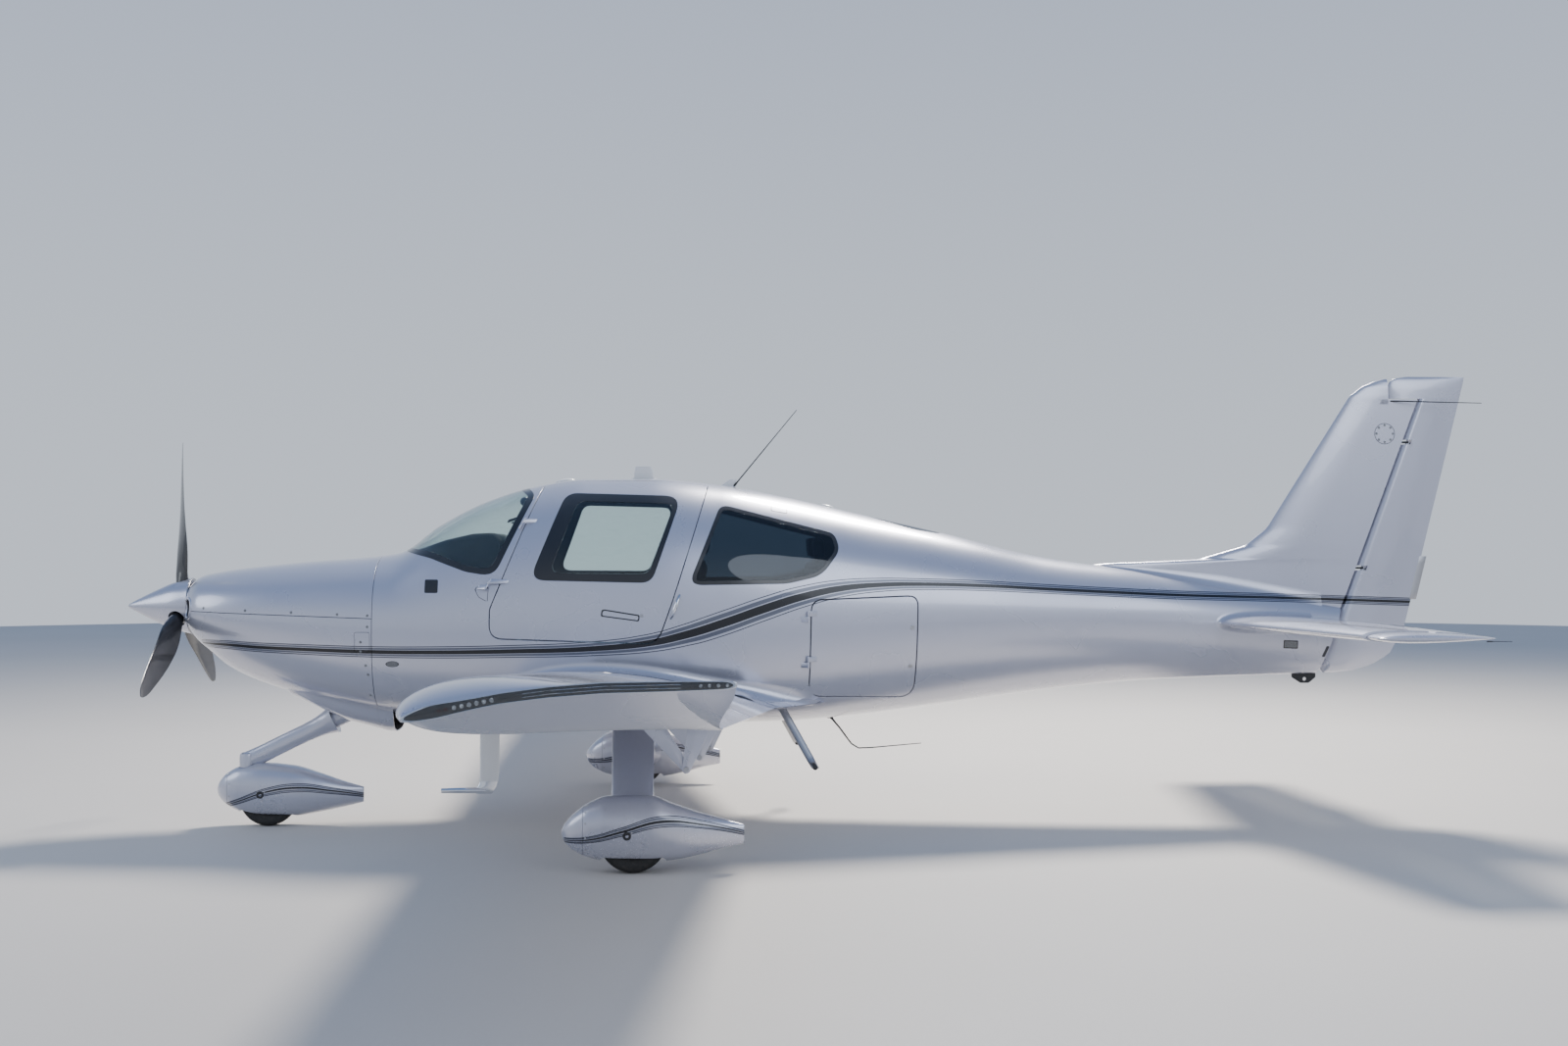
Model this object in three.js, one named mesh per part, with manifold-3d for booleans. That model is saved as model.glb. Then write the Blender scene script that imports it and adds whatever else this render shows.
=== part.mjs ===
// A low-wing light aircraft with four seats and fixed tricycle gear.
// Millimetres, +Z up. Stations run aft from the spinner tip along +X, starboard is +Y and
// the ground is z = 0. The exported group puts the origin on the ground at mid-length.
import * as THREE from 'three';
import { mergeVertices } from 'three/addons/utils/BufferGeometryUtils.js';
import Module from 'manifold-3d';

const wasm = await Module();
wasm.setup();

// Driving dimensions
const LENGTH = 7923;
const HALF_SPAN = 5840;
const THRUST_Z = 1268;
const PROP_X = 344;
const PROP_R = 940;
const CABIN_FRONT = 1465;
const CABIN_END = 4720;
const SKIN = 28;
const TAIL_SKIN = 12;
const COWL_SKIN = 10;
const GLASS = 6;
const SEAT_GAP = 0.3;
const COWL_END = CABIN_FRONT - SEAT_GAP;
const FIREWALL_X = CABIN_FRONT + 3;
const DOOR_GAP = 6;
const RING_STEPS = 6;
const ROOF_STRIP = 170;
const MAIN_X = 2915;
const MAIN_Y = 1650;
const MAIN_R = 172;
const NOSE_X = 800;
const NOSE_R = 165;
const PIVOT_X = 675;
const AXLE_R = 14;
const BAR_SIDES = 12;
const BEARING_GAP = 0.3;
const SIDES = [['left', -1], ['right', 1]];

// Fuselage sections: station, crown z, keel z, half width, waist z, upper and lower exponents
const HULL = [
  [375, 1427, 1096, 256, 1252, 2.0, 2.0],
  [470, 1453, 1020, 335, 1240, 2.1, 2.0],
  [600, 1476, 915, 392, 1225, 2.2, 2.1],
  [800, 1500, 822, 440, 1205, 2.3, 2.2],
  [1100, 1528, 735, 490, 1180, 2.4, 2.4],
  [1450, 1556, 662, 545, 1155, 2.5, 2.6],
  [1560, 1575, 648, 560, 1150, 2.45, 2.65],
  [1780, 1731, 625, 588, 1142, 2.3, 2.75],
  [2060, 1875, 604, 614, 1136, 2.3, 2.85],
  [2320, 1956, 594, 634, 1132, 2.35, 2.9],
  [2630, 2002, 589, 648, 1130, 2.4, 3.0],
  [3000, 2004, 587, 649, 1132, 2.4, 3.0],
  [3400, 1969, 588, 628, 1138, 2.35, 2.9],
  [3800, 1896, 594, 588, 1148, 2.3, 2.8],
  [4200, 1806, 624, 530, 1165, 2.25, 2.6],
  [4700, 1694, 684, 448, 1185, 2.2, 2.4],
  [5300, 1549, 757, 350, 1195, 2.15, 2.25],
  [5900, 1462, 812, 262, 1180, 2.1, 2.2],
  [6500, 1360, 835, 182, 1130, 2.1, 2.2],
  [7150, 1250, 848, 100, 1060, 2.1, 2.2],
];
// Exhaust chin under the cowl: station, keel z, half width
const CHIN = [
  [880, 806, 150],
  [1000, 740, 215],
  [1135, 673, 255],
  [1286, 607, 270],
  [1382, 581, 276],
  [1502, 547, 280],
];
// Wing rows: span y, leading and trailing edge station, their z, thickness ratio, camber
const WING = [
  [400, 2110, 4030, 802, 736, 0.115, 0.03],
  [520, 2150, 3900, 794, 722, 0.125, 0.03],
  [600, 2172, 3724, 788, 712, 0.148, 0.03],
  [700, 2180, 3684, 792, 718, 0.155, 0.03],
  [5500, 2310, 3208, 1150, 1092, 0.185, 0.045],
];
// Upswept tip edge: chord fraction, z
const TIP_EDGE = [[0, 1157], [0.08, 1175], [0.2, 1196], [0.3, 1213], [0.44, 1228], [0.6, 1238], [1, 1244]];
// Fin rows: z, leading edge station, half thickness
const FIN = [
  [1180, 5480, 44],
  [1500, 5620, 40],
  [1510, 5720, 40],
  [1534, 6282, 40],
  [1614, 6559, 40],
  [1722, 6697, 39],
  [1959, 6849, 36],
  [2515, 7208, 27],
  [2575, 7286, 24],
  [2606, 7362, 16],
  [2622, 7425, 6],
];
// Rudder rows: z, trailing edge station, half thickness at the hinge
const RUDDER = [
  [850, 7110, 10],
  [866, 7235, 34],
  [900, 7345, 52],
  [960, 7448, 58],
  [1111, 7538, 56],
  [1336, 7597, 44],
  [1959, 7755, 37],
  [2503, 7893, 28],
];
// Tail plane rows: span y, leading edge station, elevator trailing edge station
const TAILPLANE = [[0, 6326, 7262], [200, 6345, 7256], [1800, 6560, 7190]];
const TAIL_Z = 1158;
const TAIL_THICKNESS = 0.098;
const TAIL_TIP = 1962;
const ELEVATOR_HINGE = [6962, 6950];
// Wheel pant rows: station, top z, bottom z, half width
const NOSE_PANT = [
  [508, 226, 198, 9], [525, 262, 162, 38], [565, 306, 124, 66], [650, 347, 80, 96], [770, 361, 59, 112],
  [940, 345, 55, 112], [1080, 303, 75, 92], [1230, 250, 104, 54], [1338, 218, 130, 14],
];
const MAIN_PANT = [
  [2564, 216, 182, 10], [2588, 256, 140, 46], [2637, 304, 102, 76], [2705, 348, 74, 99], [2792, 377, 56, 113],
  [3000, 377, 51, 114], [3112, 337, 60, 104], [3247, 291, 86, 76], [3349, 263, 112, 50], [3463, 231, 136, 15],
];
// Panel outlines in side view: station, z, corner radius
const WINDSHIELD = [[1540, 1600, 0], [1768, 1546, 500], [1975, 1470, 250], [2135, 1444, 100], [2345, 1905, 50],
  [2239, 1990, 0], [2100, 2080, 0]];
const DOOR = [[2398, 1990, 0], [2110, 1262, 60], [2108, 1100, 120], [3036, 1068, 110], [3116, 1290, 200],
  [3338, 1990, 0]];
const DOOR_WINDOW = [[2330, 1424, 62], [3002, 1408, 85], [3172, 1896, 70], [2522, 1914, 90]];
const REAR_WINDOW = [[3206, 1395, 50], [3760, 1402, 400], [3955, 1446, 180], [4068, 1590, 110], [4040, 1686, 70],
  [3860, 1730, 300], [3392, 1850, 60]];
const BAGGAGE_DOOR = [[3892, 1312, 70], [3880, 760, 90], [4500, 742, 90], [4514, 1334, 60]];
// Rear roof window in plan view: station, y, corner radius
const ROOF_WINDOW = [[4215, 0, 0], [4330, 120, 200], [4520, 168, 160], [4690, 120, 90], [4704, -120, 90],
  [4520, -168, 160], [4330, -120, 200]];

// Control surfaces: chord fraction of the nose axis, span limits
// and the gaps at the nose and at the inner and outer ends
const FLAP = { hinge: 0.745, from: 706, to: 3640, ends: [7, 20] };
const AILERON = { hinge: 0.765, from: 3688, to: 5430, ends: [12, 12] };
const BAY_GAP = 7;
const FLAP_BRACKETS = [900, 2200, 3480];
const FLAP_AXIS_DROP = 200;

const PAINT = new THREE.MeshStandardMaterial({ color: 0xdfe0e8, roughness: 0.25, metalness: 0.5 });
const GRAPHITE = new THREE.MeshStandardMaterial({ color: 0x1c1e22, roughness: 0.45, metalness: 0.1 });
const CLEAR = new THREE.MeshStandardMaterial({ color: 0xb9d2cd, roughness: 0.05, metalness: 0 });
const SMOKED = new THREE.MeshStandardMaterial({ color: 0x2a3a48, roughness: 0.05, metalness: 0 });
const TRIM = new THREE.MeshStandardMaterial({ color: 0x34353a, roughness: 0.8, metalness: 0 });
const HIDE = new THREE.MeshStandardMaterial({ color: 0x8f8b86, roughness: 0.7, metalness: 0 });
const TYRE = new THREE.MeshStandardMaterial({ color: 0x17171a, roughness: 0.9, metalness: 0 });
const STEEL = new THREE.MeshStandardMaterial({ color: 0xa9acb1, roughness: 0.35, metalness: 0.9 });
const CASTING = new THREE.MeshStandardMaterial({ color: 0x55585c, roughness: 0.7, metalness: 0.6 });

const point = (x, y, z) => new THREE.Vector3(x, y, z);
const mix = THREE.MathUtils.lerp;

// Linear value of a table's column at a key held in its first column
function column(table, key, index) {
  const last = table.length - 2;
  let row = 0;
  while (row < last && key > table[row + 1][0]) row++;
  const t = (key - table[row][0]) / (table[row + 1][0] - table[row][0]);
  return mix(table[row][index], table[row + 1][index], t);
}

// Slopes of the curve through a table's column that keeps its rises and falls
function slopes(table, index) {
  const widths = table.slice(1).map((row, i) => row[0] - table[i][0]);
  const rises = table.slice(1).map((row, i) => (row[index] - table[i][index]) / widths[i]);
  return table.map((_, i) => {
    if (i === 0) return rises[0];
    if (i === table.length - 1) return rises[i - 1];
    if (rises[i - 1] * rises[i] <= 0) return 0;
    const before = 2 * widths[i] + widths[i - 1];
    const after = widths[i] + 2 * widths[i - 1];
    return (before + after) / (before / rises[i - 1] + after / rises[i]);
  });
}

function smoothColumn(table, index) {
  const tangents = slopes(table, index);
  return x => {
    const last = table.length - 2;
    let i = 0;
    while (i < last && x > table[i + 1][0]) i++;
    const width = table[i + 1][0] - table[i][0];
    const t = THREE.MathUtils.clamp((x - table[i][0]) / width, 0, 1);
    const rest = 1 - t;
    return (1 + 2 * t) * rest * rest * table[i][index] + t * rest * rest * width * tangents[i]
      + t * t * (3 - 2 * t) * table[i + 1][index] - t * t * rest * width * tangents[i + 1];
  };
}

const [crownAt, keelAt, widthAt, waistAt, upperAt, lowerAt] = [1, 2, 3, 4, 5, 6].map(i => smoothColumn(HULL, i));

// Solid of a closed surface, with its faces turned outward
function closedBody(points, faces) {
  const volume = faces.reduce((sum, [a, b, c]) =>
    sum + points[a].dot(new THREE.Vector3().crossVectors(points[b], points[c])), 0);
  if (volume < 0) faces.forEach(face => face.reverse());
  return new wasm.Manifold(new wasm.Mesh({
    numProp: 3,
    vertProperties: new Float32Array(points.flatMap(p => p.toArray())),
    triVerts: new Uint32Array(faces.flat()),
  }));
}

// Closed body through rings of equal length, with its ends closed
function loft(rings) {
  const count = rings[0].length;
  const points = rings.flat();
  const first = points.length;
  for (const ring of [rings[0], rings.at(-1)]) {
    points.push(ring.reduce((sum, p) => sum.add(p), point(0, 0, 0)).divideScalar(count));
  }
  const faces = [];
  for (let i = 0; i < count; i++) {
    const j = (i + 1) % count;
    const end = (rings.length - 1) * count;
    faces.push([first, j, i], [first + 1, end + i, end + j]);
    for (let base = 0; base < end; base += count) {
      faces.push([base + i, base + j, base + count + j], [base + i, base + count + j, base + count + i]);
    }
  }
  return closedBody(points, faces);
}

// Solid of a closed three.js geometry
function solid(geometry) {
  const bare = geometry.clone();
  bare.deleteAttribute('normal');
  bare.deleteAttribute('uv');
  const merged = mergeVertices(bare, 1e-3);
  const { position } = merged.attributes;
  const points = Array.from({ length: position.count }, (_, i) => point(0, 0, 0).fromBufferAttribute(position, i));
  const faces = Array.from({ length: merged.index.count / 3 }, (_, i) => [0, 1, 2].map(k => merged.index.getX(3 * i + k)));
  return closedBody(points, faces);
}

const box = (x0, x1, y0, y1, z0, z1) => solid(new THREE.BoxGeometry(x1 - x0, y1 - y0, z1 - z0)
  .translate((x0 + x1) / 2, (y0 + y1) / 2, (z0 + z1) / 2));

// Round bar between two points
function bar(from, to, radius, sides = BAR_SIDES, endRadius = radius) {
  const along = new THREE.Vector3().subVectors(to, from);
  const geometry = new THREE.CylinderGeometry(endRadius, radius, along.length(), sides);
  const turn = new THREE.Quaternion().setFromUnitVectors(point(0, 1, 0), along.clone().normalize());
  geometry.applyQuaternion(turn);
  const middle = new THREE.Vector3().addVectors(from, to).multiplyScalar(0.5);
  return solid(geometry.translate(middle.x, middle.y, middle.z));
}

// Hole for a round bar, whose flats clear the bar's corners and its ends
function bore(from, to, radius) {
  const end = new THREE.Vector3().subVectors(to, from).setLength(0.5);
  return bar(from.clone().sub(end), to.clone().add(end), (radius + BEARING_GAP) / Math.cos(Math.PI / BAR_SIDES));
}

// Points of a polygon [a, b, radius] with its corners rounded
function rounded(corners, steps = 3) {
  return corners.flatMap(([a, b, radius], i) => {
    const corner = new THREE.Vector2(a, b);
    if (radius === 0) return [corner];
    const [before, after] = [corners.at(i - 1), corners[(i + 1) % corners.length]]
      .map(([x, y]) => new THREE.Vector2(x, y).sub(corner));
    const half = Math.abs(before.angleTo(after)) / 2;
    const reach = Math.min(radius / Math.tan(half), 0.48 * before.length(), 0.48 * after.length());
    const start = before.normalize().multiplyScalar(reach).add(corner);
    const end = after.normalize().multiplyScalar(reach).add(corner);
    const curve = new THREE.QuadraticBezierCurve(start, corner, end);
    return curve.getPoints(steps);
  });
}

// The outline moved inward by a distance, or outward where it is negative
function inset(outline, distance) {
  const turn = THREE.ShapeUtils.area(outline) > 0 ? 1 : -1;
  return outline.map((p, i) => {
    const before = p.clone().sub(outline.at(i - 1)).normalize();
    const after = outline[(i + 1) % outline.length].clone().sub(p).normalize();
    const along = before.add(after).normalize();
    return new THREE.Vector2(-along.y, along.x).multiplyScalar(turn * distance).add(p);
  });
}

// Prism of a side-view outline between two y values
function sidePrism(outline, y0, y1) {
  const geometry = new THREE.ExtrudeGeometry(new THREE.Shape(outline), { depth: y1 - y0, bevelEnabled: false });
  return solid(geometry.rotateX(Math.PI / 2).translate(0, y1, 0));
}

// Prism of a plan-view outline between two z values
function planPrism(outline, z0, z1) {
  const geometry = new THREE.ExtrudeGeometry(new THREE.Shape(outline), { depth: z1 - z0, bevelEnabled: false });
  return solid(geometry.translate(0, 0, z0));
}

const corners = list => list.map(([a, b]) => new THREE.Vector2(a, b));

// Half width of the fuselage at a station and height
function hullY(x, z) {
  const [waist, width] = [waistAt(x), widthAt(x)];
  const upper = z >= waist;
  const share = upper ? (z - waist) / (crownAt(x) - waist) : (waist - z) / (waist - keelAt(x));
  const power = upper ? upperAt(x) : lowerAt(x);
  return share >= 1 ? 0 : width * (1 - share ** power) ** (1 / power);
}

// Height of the roof at a station and distance from the middle
function hullZ(x, y) {
  const share = Math.abs(y) / widthAt(x);
  return waistAt(x) + (crownAt(x) - waistAt(x)) * (1 - share ** upperAt(x)) ** (1 / upperAt(x));
}

const onHull = (x, z, side) => point(x, side * hullY(x, z), z);

// Ring of points around the fuselage, moved inward by a skin's thickness
function hullRing(x, skin) {
  return Array.from({ length: 4 * RING_STEPS }, (_, i) => {
    const angle = (i / (4 * RING_STEPS)) * 2 * Math.PI;
    const [up, out] = [Math.cos(angle), Math.sin(angle)];
    const power = 2 / (up >= 0 ? upperAt(x) : lowerAt(x));
    const rise = up >= 0 ? crownAt(x) - waistAt(x) : waistAt(x) - keelAt(x);
    return point(x, (widthAt(x) - skin) * Math.sign(out) * Math.abs(out) ** power,
      waistAt(x) + (rise - skin) * Math.sign(up) * Math.abs(up) ** power);
  });
}

const hull = (stations, skin) => loft(stations.map(x => hullRing(x, skin)));
const CABIN_STATIONS = [1560, 1780, 2060, 2320, 2630, 3000, 3400, 3800, 4200];
const cabinHull = (from, to, skin) => hull([from, ...CABIN_STATIONS, to], skin);

// Plug whose sides run from an eye point through the outline, so its edges open outward
const EYE = point(2720, 0, 1400);
const BAGGAGE_EYE = point(4190, 0, 1080);
const plug = (outline, eye) => loft([0.84, 1.7].map(reach => outline.map(p => eye.clone().lerp(p, reach))));

// Outline of a cabin door on the fuselage; its top edge runs along the roof strip
function doorOutline(side, gap) {
  const edge = inset(rounded(DOOR), gap);
  const strip = ROOF_STRIP + gap;
  const below = edge.filter(p => hullY(p.x, p.y) > strip + 20).map(p => onHull(p.x, p.y, side));
  const [front, back] = [[0, 1], [5, 4]].map(([top, foot]) => {
    const [a, b] = [new THREE.Vector2(...DOOR[top]), new THREE.Vector2(...DOOR[foot])];
    const line = b.clone().sub(a);
    const shift = (top === 0 ? 1 : -1) * gap * Math.hypot(line.x, line.y) / Math.abs(line.y);
    return z => a.x + line.x * (z - a.y) / line.y + shift;
  });
  const top = Array.from({ length: 6 }, (_, i) => {
    const x = mix(back(hullZ(3330, strip)), front(hullZ(2390, strip)), i / 5);
    return point(x, side * strip, hullZ(x, strip));
  });
  const frontSide = [1840, 1620].map(z => onHull(front(z), z, side));
  const backSide = [1540, 1760, 1880].map(z => onHull(back(z), z, side));
  return [...top, ...frontSide, ...below, ...backSide];
}

function baggageOutline(side, gap) {
  return inset(rounded(BAGGAGE_DOOR), gap).map(p => onHull(p.x, p.y, side));
}

// Hinge line of a cabin door, a little outboard of the skin
const DOOR_HINGE = [[2094, 1364], [2303, 1760]];
const HINGE_OUT = 26;
function doorHinge(side) {
  return DOOR_HINGE.map(([x, z]) => onHull(x, z, side).add(point(-6, side * HINGE_OUT, 8)));
}
const BAGGAGE_HINGE = [[3876, 930], [3876, 1250]];
const baggageHinge = () => BAGGAGE_HINGE.map(([x, z]) => point(x, -hullY(3876, 1090) - 15, z));

// Hinge leaf: a knuckle between two shares of the hinge line and an arm down to a point in the skin
function hingeLeaf([start, end], from, to, radius, foot) {
  const [a, b] = [start.clone().lerp(end, from), start.clone().lerp(end, to)];
  const middle = a.clone().lerp(b, 0.5);
  const along = b.clone().sub(a);
  const width = along.length();
  const out = foot.clone().sub(middle);
  out.sub(along.clone().normalize().multiplyScalar(out.dot(along) / width));
  const across = new THREE.Vector3().crossVectors(out, along).normalize();
  const arm = new THREE.BoxGeometry(out.length(), width, radius * 1.1);
  arm.applyMatrix4(new THREE.Matrix4().makeBasis(out.clone().normalize(), along.clone().normalize(), across));
  const centre = middle.clone().addScaledVector(out, 0.5);
  return bar(a, b, radius, 12).add(solid(arm.translate(centre.x, centre.y, centre.z)));
}

// Door knuckles: shares of the hinge line, and how far aft of the line the arm's foot lies
const KNUCKLES = {
  fixed: [[0, 0.0745, -48], [0.85, 0.9245, 3]],
  moving: [[0.0755, 0.15, 105], [0.9255, 1, 72]],
};
const KNUCKLE_R = 9;

function doorLeaves(side, kind) {
  const line = doorHinge(side);
  return KNUCKLES[kind].map(([from, to, reach]) => {
    const near = line[0].clone().lerp(line[1], (from + to) / 2);
    const foot = onHull(near.x + reach, near.z, side).sub(point(0, side * SKIN * 0.4, 0));
    return hingeLeaf(line, from, to, KNUCKLE_R, foot);
  });
}

function baggageLeaves(moving) {
  const line = baggageHinge();
  const shares = moving ? [[0.101, 0.2], [0.901, 1]] : [[0, 0.099], [0.8, 0.899]];
  return shares.map(([from, to]) => {
    const near = line[0].clone().lerp(line[1], (from + to) / 2);
    const x = near.x + (moving ? 50 : -40);
    const foot = onHull(x, near.z, -1).add(point(0, SKIN * 0.45, 0));
    return hingeLeaf(line, from, to, 8, foot);
  });
}

const join = (first, ...others) => others.reduce((sum, other) => sum.add(other), first);
const cut = (first, ...others) => others.reduce((rest, other) => rest.subtract(other), first);

const parts = new THREE.Group();
function add(name, body, material) {
  const mesh = body.getMesh();
  const geometry = new THREE.BufferGeometry();
  geometry.setAttribute('position', new THREE.BufferAttribute(new Float32Array(mesh.vertProperties), mesh.numProp));
  geometry.setIndex([...mesh.triVerts]);
  const part = new THREE.Mesh(geometry, material);
  part.name = name;
  parts.add(part);
}

// Cabin shell, its windows and doors
const cabinOuter = cabinHull(CABIN_FRONT, CABIN_END, 0);
const cabinInner = cabinHull(CABIN_FRONT - 5, CABIN_END + 5, SKIN);
const cabinRoom = cabinHull(FIREWALL_X, CABIN_END - 1, SKIN + SEAT_GAP);
const cabinShell = cut(cabinOuter, cabinInner);
const glassShell = cut(cabinOuter, cabinHull(CABIN_FRONT - 5, CABIN_END + 5, GLASS));

const windshieldEdge = rounded(WINDSHIELD);
const rearWindowEdge = rounded(REAR_WINDOW);
const doorWindowEdge = rounded(DOOR_WINDOW);
const roofWindowEdge = rounded(ROOF_WINDOW);
const acrossAll = outline => sidePrism(outline, -800, 800);
const oneSide = (outline, side) => sidePrism(outline, side < 0 ? -800 : 150, side < 0 ? -150 : 800);

function cabinHalf(side) {
  const half = box(1400, 4800, side < 0 ? -800 : 0.15, side < 0 ? -0.15 : 800, 400, 2200);
  const openings = [acrossAll(windshieldEdge), acrossAll(rearWindowEdge), planPrism(roofWindowEdge, 1500, 2000),
    plug(doorOutline(side, 0), EYE)];
  if (side < 0) openings.push(plug(baggageOutline(side, 0), BAGGAGE_EYE));
  const leaves = doorLeaves(side, 'fixed');
  if (side < 0) leaves.push(...baggageLeaves(false));
  return join(cut(cabinShell, ...openings).intersect(half), ...leaves);
}

for (const [name, side] of SIDES) add(`cabin_${name}`, cabinHalf(side), PAINT);
add('windshield', glassShell.intersect(acrossAll(inset(windshieldEdge, SEAT_GAP))), CLEAR);
add('roof_window', glassShell.intersect(planPrism(inset(roofWindowEdge, SEAT_GAP), 1500, 2000)), SMOKED);
for (const [name, side] of SIDES) {
  const edge = inset(rearWindowEdge, SEAT_GAP);
  add(`rear_window_${name}`, glassShell.intersect(oneSide(edge, side)), SMOKED);
}

for (const [name, side] of SIDES) {
  const panel = cabinShell.intersect(plug(doorOutline(side, DOOR_GAP), EYE));
  const opening = oneSide(doorWindowEdge, side);
  add(`door_${name}`, join(cut(panel, opening), ...doorLeaves(side, 'moving')), PAINT);
  add(`door_window_${name}`, glassShell.intersect(oneSide(inset(doorWindowEdge, SEAT_GAP), side)), CLEAR);
}
const baggagePanel = cabinShell.intersect(plug(baggageOutline(-1, DOOR_GAP), BAGGAGE_EYE));
add('baggage_door', join(baggagePanel, ...baggageLeaves(true)), PAINT);

// Firewall, floor and furniture inside the cabin
const FLOOR_Z = 742;
const BAGGAGE_FLOOR_Z = 815;
add('firewall', box(FIREWALL_X, FIREWALL_X + 14, -700, 700, 500, 1700).intersect(cabinRoom), STEEL);
const FLOOR_T = 20;
const STEP_X = 3850;
const SEAT_BASE_TOP = 880;
const baggageFloor = box(STEP_X, 4700, -620, 620, BAGGAGE_FLOOR_Z - FLOOR_T, BAGGAGE_FLOOR_Z)
  .intersect(cabinHull(FIREWALL_X, CABIN_END - 1, SKIN + DOOR_GAP));
// Seat bases on the floor: front and back station
const SEAT_BASES = [[2560, 3020], [3390, 3760]];
const floor = join(
  box(1490, STEP_X + FLOOR_T, -620, 620, FLOOR_Z - FLOOR_T, FLOOR_Z),
  baggageFloor,
  box(STEP_X, STEP_X + FLOOR_T, -620, 620, FLOOR_Z - FLOOR_T, BAGGAGE_FLOOR_Z),
  ...SEAT_BASES.map(([front, back]) => box(front, back, -520, 520, FLOOR_Z - 1, SEAT_BASE_TOP)),
);
add('cabin_floor', floor.intersect(cabinRoom), TRIM);
const PANEL_EDGE = [[2058, 1000, 4], [2082, 1000, 4], [2094, 1430, 20], [2150, 1476, 40], [2180, 1540, 40],
  [2182, 1640, 50], [2120, 1686, 60], [2000, 1680, 60], [1850, 1647, 60], [1700, 1596, 20], [1640, 1572, 6],
  [1640, 1545, 6], [1768, 1522, 20], [1940, 1452, 20], [2058, 1425, 10]];
add('instrument_panel', sidePrism(rounded(PANEL_EDGE), -600, 600).intersect(cabinRoom), GRAPHITE);
const consoleFoot = FLOOR_Z + SEAT_GAP;
const CONSOLE_EDGE = [[2040, consoleFoot], [2540, consoleFoot], [2540, 960], [2400, 985], [2190, 1010], [2060, 990]];
add('centre_console', sidePrism(corners(CONSOLE_EDGE), -95, 95), TRIM);

// Seat backs in side view, and cushions whose rear face meets the back's front face
const FRONT_BACK = [[3062, 890, 30], [3170, 890, 40], [3330, 1560, 60], [3350, 1725, 50], [3270, 1730, 40],
  [3240, 1580, 80]];
const REAR_BACK = [[3840, 900, 30], [3935, 900, 40], [4030, 1540, 50], [3940, 1545, 50]];
function cushionEdge(front, height, back) {
  const [foot, head] = [back[0], back.at(-1)];
  const rear = z => mix(foot[0], head[0], (z - foot[1]) / (head[1] - foot[1])) - SEAT_GAP;
  const low = SEAT_BASE_TOP + SEAT_GAP;
  return rounded([[front, low, 10], [rear(low), low, 4], [rear(low + height), low + height, 12],
    [front + 10, low + height + 42, 60]]);
}
for (const [name, side] of SIDES) {
  const [inner, outer] = side < 0 ? [-500, -45] : [45, 500];
  const middle = (inner + outer) / 2;
  add(`front_cushion_${name}`, sidePrism(cushionEdge(2590, 86, FRONT_BACK), inner, outer), HIDE);
  const shoulders = join(box(2900, 3500, inner, outer, 800, 1560),
    box(2900, 3500, middle - 125, middle + 125, 1500, 1800));
  add(`front_back_${name}`, sidePrism(rounded(FRONT_BACK), inner, outer).intersect(shoulders), HIDE);
}
add('rear_cushion', sidePrism(cushionEdge(3391, 92, REAR_BACK), -500, 500), HIDE);
const REAR_HEAD = [[3942, 1510, 20], [4022, 1510, 20], [4008, 1560, 10], [4005, 1668, 40], [3915, 1676, 40],
  [3908, 1590, 30]];
const HEAD_OFFSET = 195;
const HEAD_HALF = 105;
const rearHeads = [-HEAD_OFFSET, HEAD_OFFSET]
  .map(y => sidePrism(rounded(REAR_HEAD), y - HEAD_HALF, y + HEAD_HALF));
add('rear_back', join(sidePrism(rounded(REAR_BACK), -430, 430), ...rearHeads), HIDE);

// Cowl, engine and propeller
const chinSections = skin => CHIN.map(([x, keel, half]) => Array.from({ length: 16 }, (_, i) => {
  const angle = (i / 16) * 2 * Math.PI;
  const [up, out] = [Math.cos(angle), Math.sin(angle)];
  const top = 930;
  const middle = (top + keel) / 2;
  return point(x, (half - skin) * Math.sign(out) * Math.abs(out) ** 0.62,
    middle + (middle - keel - skin) * Math.sign(up) * Math.abs(up) ** 0.62);
}));
const stretch = (rings, shift) => [...rings, rings.at(-1).map(p => p.clone().add(point(shift, 0, 0)))];
const COWL_STATIONS = [400, 470, 600, 800, 1100];
const cabinBlock = hull([COWL_END, 1490, 1560], -SEAT_GAP);
const cowlOuter = join(hull([375, ...COWL_STATIONS, COWL_END], 0), cut(loft(chinSections(0)), cabinBlock));
const cowlInner = join(hull([392, ...COWL_STATIONS, 1455, 1560], COWL_SKIN),
  loft(stretch(chinSections(COWL_SKIN), 10)));
const inlets = [-1, 1].map(side => solid(new THREE.CylinderGeometry(1, 1, 220, 16).rotateZ(Math.PI / 2)
  .scale(1, 58, 58).translate(420, side * 236, THRUST_Z - 8)));
const shaftHole = bar(point(340, 0, THRUST_Z), point(440, 0, THRUST_Z), 80, 16);
const cowl = cut(cowlOuter, cowlInner, ...inlets, shaftHole);
// Line between the cowl halves in side view
const SPLIT = [[300, 1251], [1520, 1209]];
const splitBand = (low, high) => sidePrism(corners([...SPLIT.map(([x, z]) => [x, z + low]),
  ...SPLIT.map(([x, z]) => [x, z + high]).reverse()]), -700, 700);
const legSlot = noseLegTube(62, 42);
add('cowl_upper', cowl.intersect(splitBand(0, 600)), PAINT);
add('cowl_lower', cut(cowl.intersect(splitBand(-900, -SEAT_GAP)), legSlot), PAINT);

const engineBlock = box(620, 1180, -300, 300, 1060, 1330);
const mountTubes = [-250, 250].flatMap(y => [1095, 1295].map(z =>
  bar(point(1170, y, z), point(FIREWALL_X - SEAT_GAP, y, z), 14, 10)));
const shaft = bar(point(402, 0, THRUST_Z), point(640, 0, THRUST_Z), 40);
add('engine_block', join(engineBlock, shaft, ...mountTubes), CASTING);

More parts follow.
